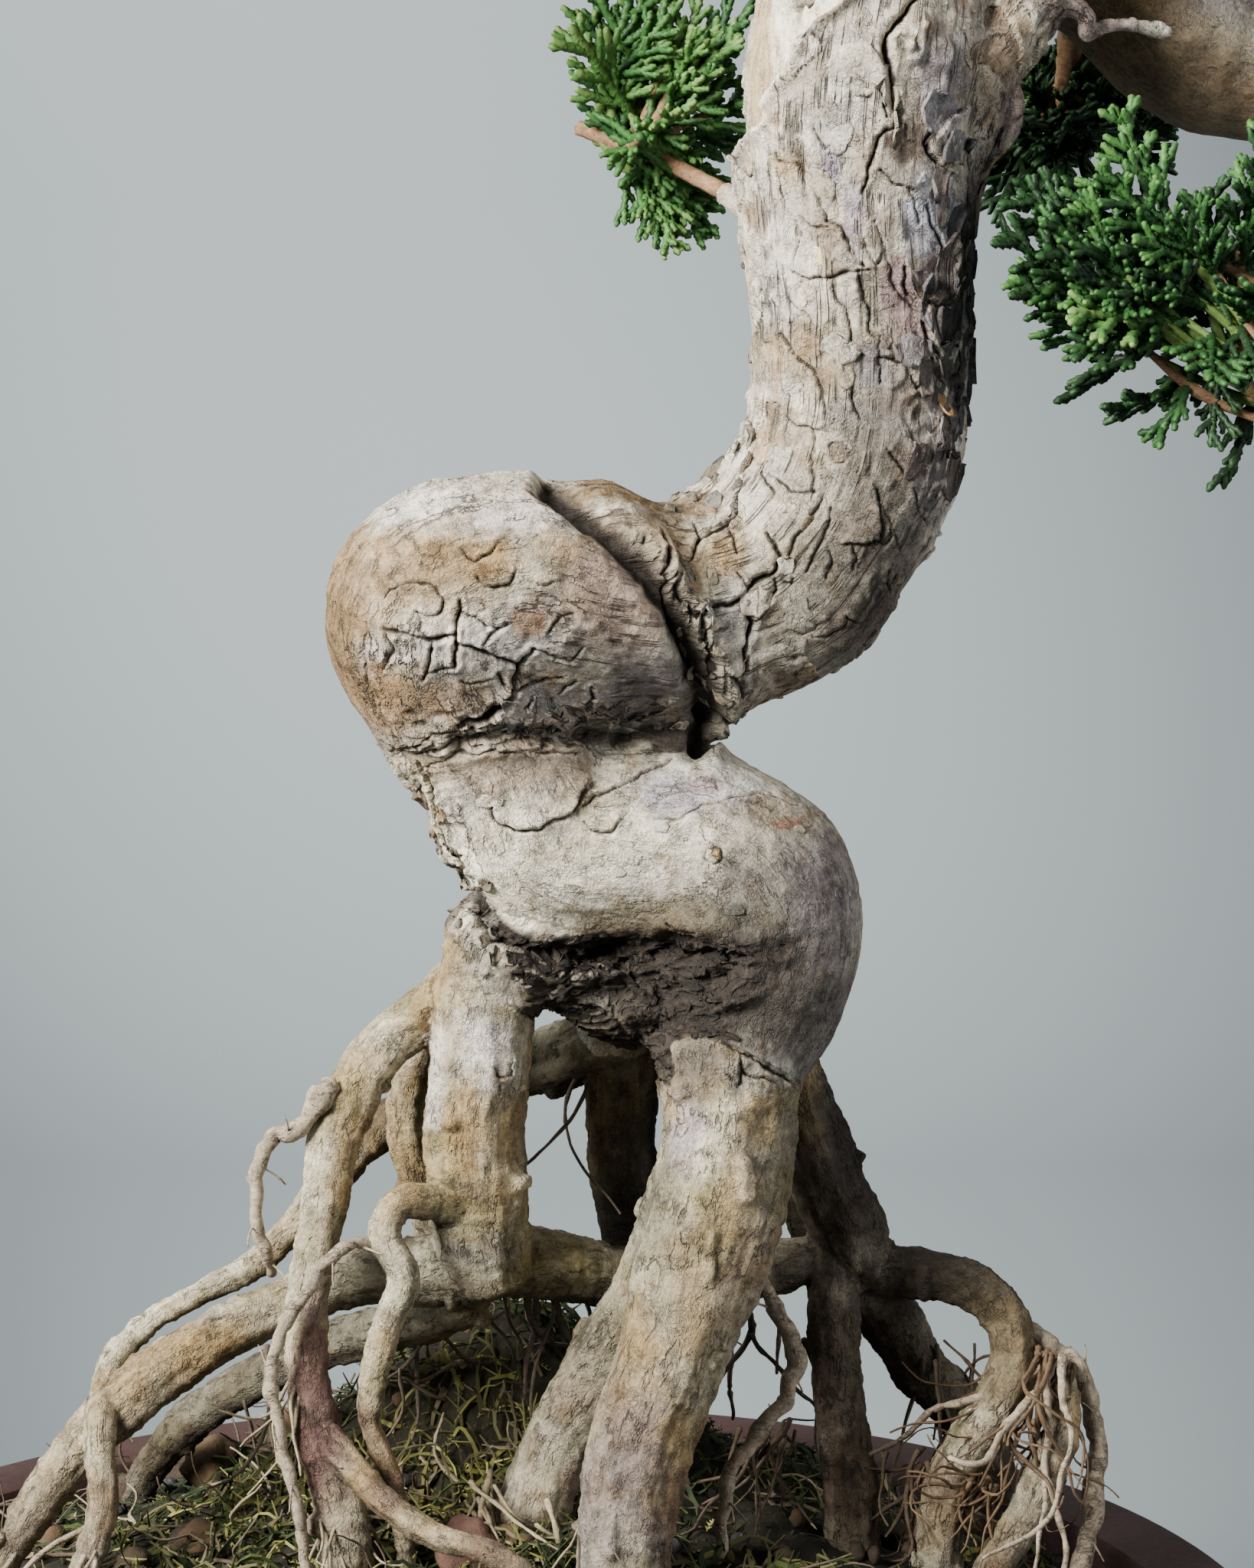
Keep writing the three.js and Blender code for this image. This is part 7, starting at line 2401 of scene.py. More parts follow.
@dataclass
class ClayPot:
    """The round clay pot, turned from its section."""

    rim_radius: float = 105.0
    foot_radius: float = 82.0
    height: float = 65.0
    wall: float = 8.0
    floor: float = 9.0
    lip_height: float = 10.0
    lip_proud: float = 4.0
    edge: float = 1.6
    steps: int = 144
    hole_radius: float = 6.0
    hole_ring: float = 44.0

    def section(self) -> list[tuple[float, float]]:
        """Returns the outline of half the pot, from the middle of its underside round to its floor."""
        lip, foot = self.rim_radius - self.lip_proud, self.height - self.lip_height
        inner = lip - self.wall
        side, top = self.rim_radius - self.edge, self.height - self.edge
        turns = np.linspace(0, math.pi / 2, 5)
        rounded = [(side + self.edge * math.cos(a), top + self.edge * math.sin(a)) for a in turns]
        return [
            (self.foot_radius - 14, 0), (self.foot_radius - 1.4, 0), (self.foot_radius - 0.4, 0.4),
            (self.foot_radius, 1.6), (self.foot_radius + 4, 10), (self.foot_radius + 8, 19.5),
            (self.foot_radius + 13.5, 36), (lip - 1.6, foot - 4), (lip - 1.1, foot - 1.6),
            (lip - 0.2, foot - 0.4), (self.rim_radius - 1.2, foot), (self.rim_radius - 0.2, foot + 0.6),
            (self.rim_radius, foot + 1.6), *rounded, (inner + 2, self.height),
            (inner + 0.6, self.height - 0.5),
            (inner, self.height - 1.8), (inner, 50), (self.foot_radius - self.wall, self.floor),
            (self.foot_radius - 20, self.floor),
        ]

    def build(self) -> None:
        """Builds and registers the pot."""
        outline = self.section()
        mesh = bpy.data.meshes.new("pot_clay")
        corners = [(r * MM, 0, z * MM) for r, z in outline]
        mesh.from_pydata(corners, [(i, i + 1) for i in range(len(outline) - 1)], [])
        piece = bpy.data.objects.new("pot_clay", mesh)
        bpy.context.scene.collection.objects.link(piece)
        only_select(piece)
        bpy.ops.object.mode_set(mode="EDIT")
        bpy.ops.mesh.select_all(action="SELECT")
        bpy.ops.mesh.spin(steps=self.steps, angle=2 * math.pi, center=(0, 0, 0), axis=(0, 0, 1))
        bpy.ops.mesh.select_all(action="SELECT")
        bpy.ops.mesh.remove_doubles(threshold=0.02 * MM)
        bpy.ops.mesh.select_all(action="DESELECT")
        bpy.ops.object.mode_set(mode="OBJECT")
        self.close_floor(piece)
        self.bore_holes(piece)
        bpy.ops.object.mode_set(mode="EDIT")
        bpy.ops.mesh.select_all(action="SELECT")
        bpy.ops.mesh.normals_make_consistent(inside=False)
        bpy.ops.object.mode_set(mode="OBJECT")
        bpy.ops.object.shade_smooth_by_angle(angle=math.radians(40))
        clay = GritFinish("unglazed clay", (0.042, 0.019, 0.016), (0.076, 0.040, 0.034), 0.8, 0.72, 0.12)
        mesh.materials.append(clay.material())
        keep(piece, "clay", "pot")

    def close_floor(self, piece: bpy.types.Object) -> None:
        """Fills the middle of the underside and of the floor.

        Args:
            piece: the turned pot.
        """
        for radius, level in ((self.foot_radius - 14, 0.0), (self.foot_radius - 20, self.floor)):
            bpy.ops.object.mode_set(mode="OBJECT")
            for vertex in piece.data.vertices:
                x, y, z = vertex.co / MM
                vertex.select = abs(math.hypot(x, y) - radius) < 0.3 and abs(z - level) < 0.1
            bpy.ops.object.mode_set(mode="EDIT")
            bpy.ops.mesh.select_mode(type="VERT")
            bpy.ops.mesh.edge_face_add()
            bpy.ops.mesh.select_all(action="DESELECT")
        bpy.ops.object.mode_set(mode="OBJECT")

    def bore_holes(self, piece: bpy.types.Object) -> None:
        """Cuts the three drainage holes.

        Args:
            piece: the closed pot.
        """
        for index in range(3):
            turn = 2 * math.pi * index / 3 + math.pi / 2
            place = (self.hole_ring * MM * math.cos(turn), self.hole_ring * MM * math.sin(turn), 0)
            bpy.ops.object.select_all(action="DESELECT")
            bpy.ops.mesh.primitive_cylinder_add(
                vertices=36, radius=self.hole_radius * MM, depth=3 * self.floor * MM, location=place
            )
            drill = bpy.context.object
            apply_modifier(piece, "BOOLEAN", object=drill, operation="DIFFERENCE", solver="EXACT")
            bpy.data.objects.remove(drill)
        only_select(piece)


# Fine roots


@dataclass(frozen=True)
class RootTuft:
    """A tuft of wandering fine roots."""

    start: tuple[float, float, float]
    spread: float
    heading: tuple[float, float, float]
    count: int
    length: tuple[float, float]
    radius: tuple[float, float]
    wander: float
    slot: int


@dataclass
class FineRoots:
    """The thin roots and the tufts of hair roots."""

    form: SoilForm
    tufts: tuple[RootTuft, ...] = (
        RootTuft((75, 4, 100), 1.8, (-0.4, -0.3, -1), 14, (16, 30), (0.2, 0.5), 0.34, 2),
        RootTuft((78, 6, 98), 1.8, (-0.4, -0.25, -1), 7, (14, 24), (0.2, 0.5), 0.32, 2),
        RootTuft((71, 2, 92), 2.0, (-0.42, -0.35, -1), 14, (14, 26), (0.18, 0.42), 0.45, 2),
        RootTuft((66, -2, 84), 3.0, (-0.5, -0.3, -0.7), 18, (10, 20), (0.16, 0.4), 0.5, 2),
        RootTuft((76, 5, 99), 1.4, (-0.3, -0.2, -1), 6, (24, 36), (0.6, 1.0), 0.3, 0),
        RootTuft((-60, -13.5, 81), 1.6, (-0.55, -0.2, -1), 9, (18, 30), (0.4, 0.9), 0.2, 0),
        RootTuft((-49, -17, 84), 1.2, (-0.2, -0.3, -1), 7, (12, 22), (0.3, 0.6), 0.25, 0),
        RootTuft((4, 12, 108), 9.0, (0.1, 0.6, -1), 8, (20, 34), (0.3, 0.8), 0.2, 3),
        RootTuft((30, 22, 103), 12.0, (0.4, 0.5, -1), 9, (20, 34), (0.3, 0.8), 0.2, 3),
        RootTuft((62, 18, 96), 6.0, (0.1, 0.1, -1), 7, (14, 26), (0.2, 0.5), 0.22, 3),
        RootTuft((-10, 10, 100), 8.0, (-0.3, 0.4, -1), 6, (14, 26), (0.25, 0.6), 0.22, 3),
        RootTuft((-30, 14, 94), 8.0, (0.1, 0.2, -1), 6, (12, 20), (0.25, 0.6), 0.22, 3),
        RootTuft((14, 13, 138), 2.0, (-0.4, -0.3, -1), 2, (24, 34), (0.3, 0.4), 0.25, 3),
        RootTuft((-20, -18, 88), 2.0, (0.4, -0.5, -0.7), 9, (14, 26), (0.25, 0.5), 0.3, 1),
        RootTuft((-22, -16, 104), 1.5, (-0.5, -0.5, -0.8), 4, (14, 26), (0.2, 0.35), 0.3, 1),
        RootTuft((38, 2, 90), 4.0, (-0.2, 0.1, -1), 12, (12, 22), (0.22, 0.5), 0.3, 4),
        RootTuft((58, 4, 84), 4.0, (-0.4, -0.3, -1), 12, (10, 20), (0.22, 0.5), 0.3, 4),
        RootTuft((2, -6, 84), 7.0, (0.2, -0.5, -0.6), 16, (12, 24), (0.22, 0.5), 0.35, 1),
    )
    litter: int = 380

    def wandering(
        self, start: np.ndarray, heading: np.ndarray, length: float, radius: float, wander: float,
        rng: np.random.Generator,
    ) -> Path:
        """Grows one fine root, which bends at random and creeps where it meets the soil.

        Args:
            start: where it begins.
            heading: its first direction.
            length: its length.
            radius: its radius at the start.
            wander: how much it bends.
            rng: the random numbers.

        Returns:
            Its path.
        """
        step = 1.1
        place, way, home = start.copy(), unit(heading), unit(heading)
        rows = [place.copy()]
        bend = rng.normal(size=3)
        for _ in range(max(4, int(length / step))):
            bend = 0.75 * bend + 0.66 * rng.normal(size=3)
            way = unit(way + wander * 0.5 * bend + 0.12 * home)
            ground = self.form.height(place[0], place[1]) + 0.6
            if place[2] < ground + 1 and way[2] < 0:
                way = unit(way * np.array([1, 1, 0.15]))
            place = place + way * step
            if place[2] < ground - 1.2:
                place[2] = ground - 1.2
            rows.append(place.copy())
        points = np.array(rows)
        reach = np.hypot(points[:, 0], points[:, 1])
        limit = self.form.edge_radius - 4
        points[:, :2] *= np.minimum(1, limit / np.maximum(reach, 1))[:, None]
        radii = radius * np.linspace(1, 0.4, len(points)) * (1 + 0.15 * rng.normal(size=len(points)))
        return Path(points, np.maximum(radii, 0.08))

    def build(self) -> None:
        """Builds and registers the thin roots, the tufts and the litter on the soil."""
        rng = seeded_random(44)
        sheaf = Sheaf()
        for stations in THIN_ROOTS.values():
            path = path_of(stations, 0.7)
            wobble = np.stack([layered_noise(path.points / 2.6 + 7 * k, 430 + k, 2) for k in range(3)], 1)
            knots = ease(0.4, 0.8, soft_noise(path.points / 3, 435))
            lumps = 1 + 0.3 * layered_noise(path.points / 1.3, 434, 2) + 0.3 * knots
            sheaf.tube(Path(path.points + 0.6 * wobble, path.radii * lumps), 12, 0)
            for start in path.points[5::9]:
                heading = rng.normal(size=3) + np.array([0, -0.3, -0.6])
                sheaf.tube(self.wandering(start, heading, rng.uniform(2, 6), 0.22, 0.4, rng), 4, 0)
        for tuft in self.tufts:
            for _ in range(tuft.count):
                start = np.array(tuft.start) + tuft.spread * rng.normal(size=3) * np.array([0.5, 0.5, 0.25])
                heading = np.array(tuft.heading) + 0.3 * min(1.0, tuft.wander * 2) * rng.normal(size=3)
                length, radius = rng.uniform(*tuft.length), rng.uniform(*tuft.radius)
                sheaf.tube(self.wandering(start, heading, length, radius, tuft.wander, rng), 5, tuft.slot)
        for _ in range(self.litter):
            away, turn = 88 * math.sqrt(rng.uniform(0, 1)), rng.uniform(0, 2 * math.pi)
            x, y = away * math.cos(turn), away * math.sin(turn)
            start = np.array([x, y, self.form.height(x, y) + 0.8])
            heading = np.array([rng.normal(), rng.normal(), 0.1])
            path = self.wandering(start, heading, rng.uniform(6, 20), rng.uniform(0.15, 0.4), 0.5, rng)
            sheaf.tube(path, 4, int(rng.choice([1, 3, 4, 4])))
        finishes = (
            WoodFinish("thin root", (0.34, 0.275, 0.195), 0.6, 0.9, 0.85, 0.2),
            WoodFinish("pale rootlet", (0.30, 0.245, 0.15), 0.2, 0.6, 0.85, 0.08),
            WoodFinish("fresh rootlet", (0.11, 0.07, 0.038), 0.0, 0.5, 0.75, 0.1),
            WoodFinish("dark rootlet", (0.115, 0.088, 0.062), 0.0, 0.3, 0.85, 0.06),
            WoodFinish("brown rootlet", (0.085, 0.06, 0.04), 0.1, 0.5, 0.85, 0.06),
        )
        piece = sheaf.made("fine_roots", [f.material() for f in finishes])
        keep(piece, "root_bark", *[f"root_{name}" for name in THIN_ROOTS])


# The foliage


@dataclass(frozen=True)
class Mass:
    """A foliage mass: its ellipsoid, its stem and how richly it is dressed.

    Twigs in extra are set one by one, and no spray reaches past the corner towards the lower left.
    """

    name: str
    centre: tuple[float, float, float]
    radii: tuple[float, float, float]
    stem: Stations
    twigs: int = 26
    fine: bool = False
    fans: int = 4
    # light makes a mass's greens lighter or darker, as painted light and shade.
    light: float = 0.0
    extra: tuple[tuple[float, float, float], ...] = ()
    corner: float = -9.0


MASSES: tuple[Mass, ...] = (
    Mass(
        "foliage_right_low", (94, -7, 241), (37, 20, 26),
        ((129, -6, 232.5, 1.9), (114, -7, 222, 1.7), (98, -8, 228, 1.5)), 26, True, 2, -0.5,
        ((65, -15, 242), (66, -14, 248), (68, -12, 254), (72, -14, 246), (75, -12, 253), (70, -15, 251),
         (79, -14, 257), (81, -12, 250)),
    ),
    Mass(
        "foliage_right_shade", (80, 52, 266), (28, 19, 19),
        ((80, 36, 278, 2.7), (80, 44, 271, 2), (79, 54, 266, 1.4)), 26, False, 4, -2.0,
    ),
    Mass(
        "foliage_right_top", (102, 26, 322), (39, 31, 18),
        ((93, 20.5, 305.5, 3.1), (96, 22, 313, 2.2), (102, 24, 320, 1.4)),
    ),
    Mass(
        "foliage_right_tip", (164, 4, 295), (34, 30, 19),
        ((133, 10, 284, 4.4), (147, 7, 290, 3), (166, 4, 294, 1.4)),
    ),
    Mass(
        "foliage_left_low", (24, 35, 265), (24, 18, 23),
        ((31.5, 25, 255, 1.5), (24, 29, 259, 1.4), (12, 33, 264, 1.2)), 14, True, 2, 1.0,
        ((15, 34, 271), (18, 35, 261), (20, 34, 252), (25, 34, 246), (20, 34, 282),
         (28, 34, 252), (29, 36, 262), (30, 36, 273), (32, 34, 247), (27, 35, 284), (31, 36, 282),
         (22, 34, 286)), -0.54,
    ),
    Mass(
        "foliage_left_back", (-20, 46, 306), (36, 26, 17),
        ((11, 29, 303.5, 3.1), (-2, 35, 304, 2.2), (-22, 42, 306, 1.4)),
    ),
    Mass(
        "foliage_left_tip", (-56, -6, 318), (38, 29, 18),
        ((-22, 3, 320.5, 3), (-36, -1, 319, 2.2), (-58, -6, 317, 1.4)),
    ),
    Mass(
        "foliage_front", (70, -43, 324), (35, 25, 18),
        ((57, -20.5, 313, 3), (62, -30, 318, 2.2), (69, -42, 323, 1.4)),
    ),
    Mass(
        "foliage_front_upper", (10, -40, 346), (29, 23, 15),
        ((20, -16.5, 339.5, 2.6), (17, -26, 342, 2), (11, -38, 345, 1.4)),
    ),
    Mass(
        "foliage_left_upper", (-25, 2, 360), (36, 27, 17),
        ((12.8, 0, 354, 2.9), (-3, 0, 356, 2.2), (-26, 0, 358, 1.4)),
    ),
    Mass(
        "foliage_right_upper", (78, 5, 361), (35, 29, 17),
        ((39.5, 4, 357, 3), (54, 5, 359, 2.2), (78, 6, 360, 1.4)),
    ),
    Mass(
        "foliage_back", (38, 55, 351), (37, 28, 18),
        ((31.5, 26.5, 341.5, 2.9), (34, 36, 346, 2.2), (38, 52, 350, 1.4)),
    ),
    Mass(
        "foliage_apex", (27, 0, 395), (44, 37, 25),
        ((30, 0, 372, 4), (29, 0, 382, 3), (26, 0, 396, 1.6)), 40,
    ),
)


class Leaf(Enum):
    """The foliage's plain colours, which are dealt out by spray."""

    SHADE = (0.012, 0.034, 0.010)
    DEEP = (0.020, 0.066, 0.017)
    GREEN = (0.038, 0.118, 0.026)
    BRIGHT = (0.074, 0.185, 0.042)
    YOUNG = (0.16, 0.27, 0.075)


@dataclass(frozen=True)
class Sprig:
    """One spray of scale-leaf cords, lying flat along +X, as corners, triangles and tip marks."""

    points: np.ndarray
    triangles: np.ndarray
    young: np.ndarray


@dataclass
class SprigMaker:
    """Grows sprays of scale-leaf cords by one seeded rule."""

    length: float = 13.0
    cord: float = 0.7
    fine: bool = True

    def grow(self, seed: int) -> Sprig:
        """Grows one spray along +X, flattened towards the XY plane.

        Args:
            seed: picks the spray.

        Returns:
            The spray.
        """
        rng = seeded_random(seed)
        sheaf = Sheaf()
        young: list[np.ndarray] = []
        axis = self.line(np.zeros(3), np.array([1.0, 0, 0]), self.length, rng)
        self.cord_on(sheaf, young, axis, 1.0)
        count = 6
        for index in range(count):
            share = 0.1 + 0.74 * index / (count - 1)
            way = 1 if index % 2 else -1
            reach = self.length * (0.56 - 0.34 * share) * rng.uniform(0.75, 1.2)
            branch = self.line(self.at(axis, share), self.fork(way, rng.uniform(0.65, 0.95), rng), reach, rng)
            self.cord_on(sheaf, young, branch, 0.95)
            for step in range(2 if reach > 4 else 1):
                side = way * (1 if step % 2 else -1)
                heading = self.fork(way, 0.75, rng)
                heading = heading + 0.75 * np.array([-0.25, side, rng.normal() * 0.3])
                start = self.at(branch, 0.3 + 0.34 * step)
                shoot = self.line(start, heading, reach * rng.uniform(0.32, 0.46), rng)
                self.cord_on(sheaf, young, shoot, 0.88)
        return Sprig(np.concatenate(sheaf.points), np.concatenate(sheaf.triangles), np.concatenate(young))

    def fork(self, way: int, turn: float, rng: np.random.Generator) -> np.ndarray:
        """Returns the direction of a fork to one side, tilted at random out of the spray's plane."""
        return np.array([math.cos(turn), way * math.sin(turn), rng.normal() * 0.28])

    def at(self, line: np.ndarray, share: float) -> np.ndarray:
        """Returns a place part of the way along a line of points."""
        place = share * (len(line) - 1)
        low = min(int(place), len(line) - 2)
        return line[low] + (line[low + 1] - line[low]) * (place - low)

    def line(
        self, start: np.ndarray, heading: np.ndarray, length: float, rng: np.random.Generator
    ) -> np.ndarray:
        """Lays a cord's middle line, which bends a little towards the spray's own axis.

        Args:
            start: where it begins.
            heading: its first direction.
            length: its length.
            rng: the random numbers.

        Returns:
            Its points.
        """
        step = 0.56 if self.fine else 1.5
        count = max(3, int(length / step) + 1)
        share = np.linspace(0, 1, count)[:, None]
        rise = rng.uniform(-0.1, 0.3)
        drift = share**1.5 * np.array([0.55, 0, rise])
        way = unit(unit(heading) + drift + 0.06 * rng.normal(size=(count, 3)))
        gap = length / (count - 1)
        return start + np.concatenate([np.zeros((1, 3)), np.cumsum(way[1:] * gap, axis=0)])

    def cord_on(self, sheaf: Sheaf, young: list[np.ndarray], line: np.ndarray, thick: float) -> None:
        """Adds a cord of overlapping scales.

        Args:
            sheaf: takes its triangles.
            young: takes a mark for each triangle, 1 near the cord's tip.
            line: its middle line.
            thick: its thickness as a share of the full cord's.
        """
        count, sides = len(line), 5 if self.fine else 3
        share = np.linspace(0, 1, count)
        radii = self.cord * thick * (1 - 0.16 * share)
        if self.fine:
            radii = radii * np.where(np.arange(count) % 2, 0.8, 1.14)
        radii[-1] *= 0.72
        points, triangles = tube_shape(Path(line, radii), sides, 0.63 if self.fine else 0.0)
        mark = (triangles.min(axis=1) // sides) / count
        sheaf.add(points, triangles)
        young.append(mark)


@dataclass
class Crown:
    """The foliage masses, dressed with twigs and sprays by the rule of their solids."""

    reach: float = 0.96
    spray_length: float = 14.0
    share: float = 0.62
    limit: int = 190000
    patterns: int = 8
    limb_gap: float = 0.4
    too_far: float = 1.45
    shrink: float = 1.4
    least_size: float = 0.45
    corner_lean: float = 0.37
    paths: list[Path] = field(default_factory=list)

    def near_limbs(self, places: np.ndarray) -> np.ndarray:
        """Returns how far each place is from the nearest limb's surface."""
        least = np.full(len(places), 1e3)
        for path in self.paths:
            away = np.linalg.norm(places[:, None] - path.points[None], axis=2) - path.radii
            least = np.minimum(least, away.min(axis=1))
        return least

    def build(self) -> None:
        """Builds and registers every mass's twigs and sprays."""
        self.paths = [path_of(stations, 3.0) for stations in (TRUNK, DEAD_SPUR, *BOUGHS.values())]
        plain = [SprigMaker(fine=False).grow(500 + i) for i in range(self.patterns)]
        fine = [SprigMaker(fine=True).grow(520 + i) for i in range(self.patterns)]
        leaves = [LeafFinish(f"leaf {tone.name.lower()}", tone.value).material() for tone in Leaf]
        twigs = Sheaf()
        batch, nodes, number = Sheaf(), [], 1
        for index, mass in enumerate(MASSES):
            own = Sheaf()
            self.dress(mass, 101 + index, own, twigs, fine if mass.fine else plain)
            LOG.info("%s: %d triangles", mass.name, own.faces())
            if batch.faces() and batch.faces() + own.faces() > self.limit:
                keep(batch.made(f"crown_sprays_{number}", leaves), "foliage", *nodes)
                batch, nodes, number = Sheaf(), [], number + 1
            batch.add(np.concatenate(own.points), np.concatenate(own.triangles), np.concatenate(own.slots))
            nodes.append(mass.name)
        keep(batch.made(f"crown_sprays_{number}", leaves), "foliage", *nodes)
        finishes = (
            WoodFinish("brown twig", (0.26, 0.15, 0.08), 0.2, 0.6, 0.75, 0.1),
            WoodFinish("orange twig", (0.30, 0.175, 0.095), 0.2, 0.6, 0.75, 0.1),
            WoodFinish("green twig", (0.15, 0.24, 0.06), 0.0, 0.0, 0.6, 0.05),
        )
        keep(twigs.made("crown_twigs", [f.material() for f in finishes]), "foliage")

    def dress(self, mass: Mass, seed: int, sprays: Sheaf, twigs: Sheaf, patterns: list[Sprig]) -> None:
        """Grows one mass.

        Args:
            mass: the mass.
            seed: its solid's own seed.
            sprays: takes its sprays.
            twigs: takes its stem and twigs.
            patterns: the sprays to choose from.
        """
        random, rng = StepRandom(seed), seeded_random(seed)
        centre, radii = np.array(mass.centre, float), np.array(mass.radii, float)
        stem = path_of(mass.stem, 1.0)
        knobbly = 1 + 0.16 * layered_noise(stem.points / 1.1, 450, 1)
        twigs.tube(Path(stem.points, stem.radii * 0.8 * knobbly), 8, 1)
        golden = math.pi * (3 - math.sqrt(5))
        for i in range(mass.twigs):
            height = 1 - 2 * (i + 0.5) / mass.twigs
            angle = golden * i + 0.6 * random()
            ring = math.sqrt(1 - height * height)
            out = np.array([ring * math.cos(angle), ring * math.sin(angle), height])
            spoke = out * radii
            end = centre + spoke * self.reach * rng.uniform(0.62 if mass.fine else 0.75, 1.0)
            length = min(self.spray_length, self.share * float(np.linalg.norm(spoke)))
            tip = end - unit(spoke) * length
            start = spline(mass.stem, np.array([(0.4 + 0.6 * random()) * (len(mass.stem) - 1)]))[0, :3]
            if self.near_limbs(np.array([end, tip])).min() < 2:
                continue
            line = self.twig(twigs, start, tip, rng)
            fans = mass.fans
            for fan in range(fans):
                swing = (fan - (fans - 1) / 2) * 0.75 + 0.2 * rng.normal()
                flat = unit(np.array([0.5 * rng.normal(), 0.5 * rng.normal(), 1.0]))
                away = self.swung(spoke, flat, swing)
                base = line[int((0.62 + 0.38 * rng.uniform()) * (len(line) - 1))] if fan else tip
                self.spray(sprays, base, away + np.array([0, 0, 0.15]), flat, length, mass, patterns, rng)
        for place in mass.extra:
            end = np.array(place, float)
            start = stem.points[-int(rng.integers(1, len(stem.points) // 2))]
            tip = end - unit(end - start) * self.spray_length
            line = self.twig(twigs, start, tip, rng)
            for swing in (-0.5, 0.1, 0.6):
                flat = unit(np.array([0.4 * rng.normal(), -0.8, 0.8]))
                away = self.swung(end - start, flat, swing)
                base = line[int((0.7 + 0.3 * rng.uniform()) * (len(line) - 1))] if swing != 0.1 else tip
                self.spray(sprays, base, away, flat, self.spray_length, mass, patterns, rng)

    def swung(self, way: np.ndarray, flat: np.ndarray, swing: float) -> np.ndarray:
        """Returns a direction that is swung to one side, in the plane that flat stands on."""
        return unit(way) * math.cos(swing) + unit(np.cross(flat, way)) * math.sin(swing)

    def twig(self, twigs: Sheaf, start: np.ndarray, tip: np.ndarray, rng: np.random.Generator) -> np.ndarray:
        """Adds a bent twig from the stem towards its sprays.

        Args:
            twigs: takes its triangles.
            start: where it leaves the stem.
            tip: where its sprays spread.
            rng: the random numbers.

        Returns:
            Its middle line.
        """
        share = np.linspace(0, 1, 11)[:, None]
        reach = float(np.linalg.norm(tip - start))
        bend = rng.normal(size=3) * 0.07 * reach
        line = start + (tip - start) * share + np.sin(np.pi * share) * bend
        line[:, 2] -= (0.07 * reach * np.sin(np.pi * share))[:, 0]
        radii = np.linspace(0.85, 0.55, 11) * (1 + 0.12 * rng.normal(size=11))
        twigs.tube(Path(line, radii), 6, int(rng.choice([0, 1, 2, 2])))
        return line

    def spray(
        self, sprays: Sheaf, base: np.ndarray, away: np.ndarray, flat: np.ndarray, length: float,
        mass: Mass, patterns: list[Sprig], rng: np.random.Generator,
    ) -> None:
        """Sets one spray, shortened where it would leave the mass, and skips it where it meets a limb.

        Args:
            sprays: takes its triangles.
            base: where it starts.
            away: its direction.
            flat: the direction that its flat side faces.
            length: its length.
            mass: the mass that it belongs to.
            patterns: the sprays to choose from.
            rng: the random numbers.
        """
        away = unit(away)
        wide = unit(np.cross(flat, away))
        face = np.cross(away, wide)
        pattern = patterns[int(rng.integers(len(patterns)))]
        size = length / SprigMaker.length * rng.uniform(0.8, 1.15)
        stretch = np.array([size, size, 1 if mass.fine else size])
        points = base + (pattern.points * stretch) @ np.stack([away, wide, face])
        inside = ((points - np.array(mass.centre)) / (np.array(mass.radii) + 1.5)) ** 2
        over = math.sqrt(float(inside.sum(axis=1).max()))
        if over > self.too_far:
            return
        if over > 1:
            points = base + (points - base) * max(self.least_size, 1 - self.shrink * (over - 1))
        if self.near_limbs(points[::7]).min() < self.limb_gap:
            return
        spread = (points - np.array(mass.centre)) / np.array(mass.radii)
        if (spread[:, 0] + self.corner_lean * spread[:, 2]).min() < mass.corner:
            return
        # Painted light: sprays high in their mass, and masses with more light, take lighter greens.
        high = (base[2] - mass.centre[2]) / mass.radii[2]
        tone = int(np.clip(round(1.25 + mass.light + 0.8 * high + 0.75 * rng.normal()), 0, 3))
        slots = np.where(pattern.young > 0.62, min(tone + 1, 4), tone)
        sprays.add(points, pattern.triangles, slots)


# The studio


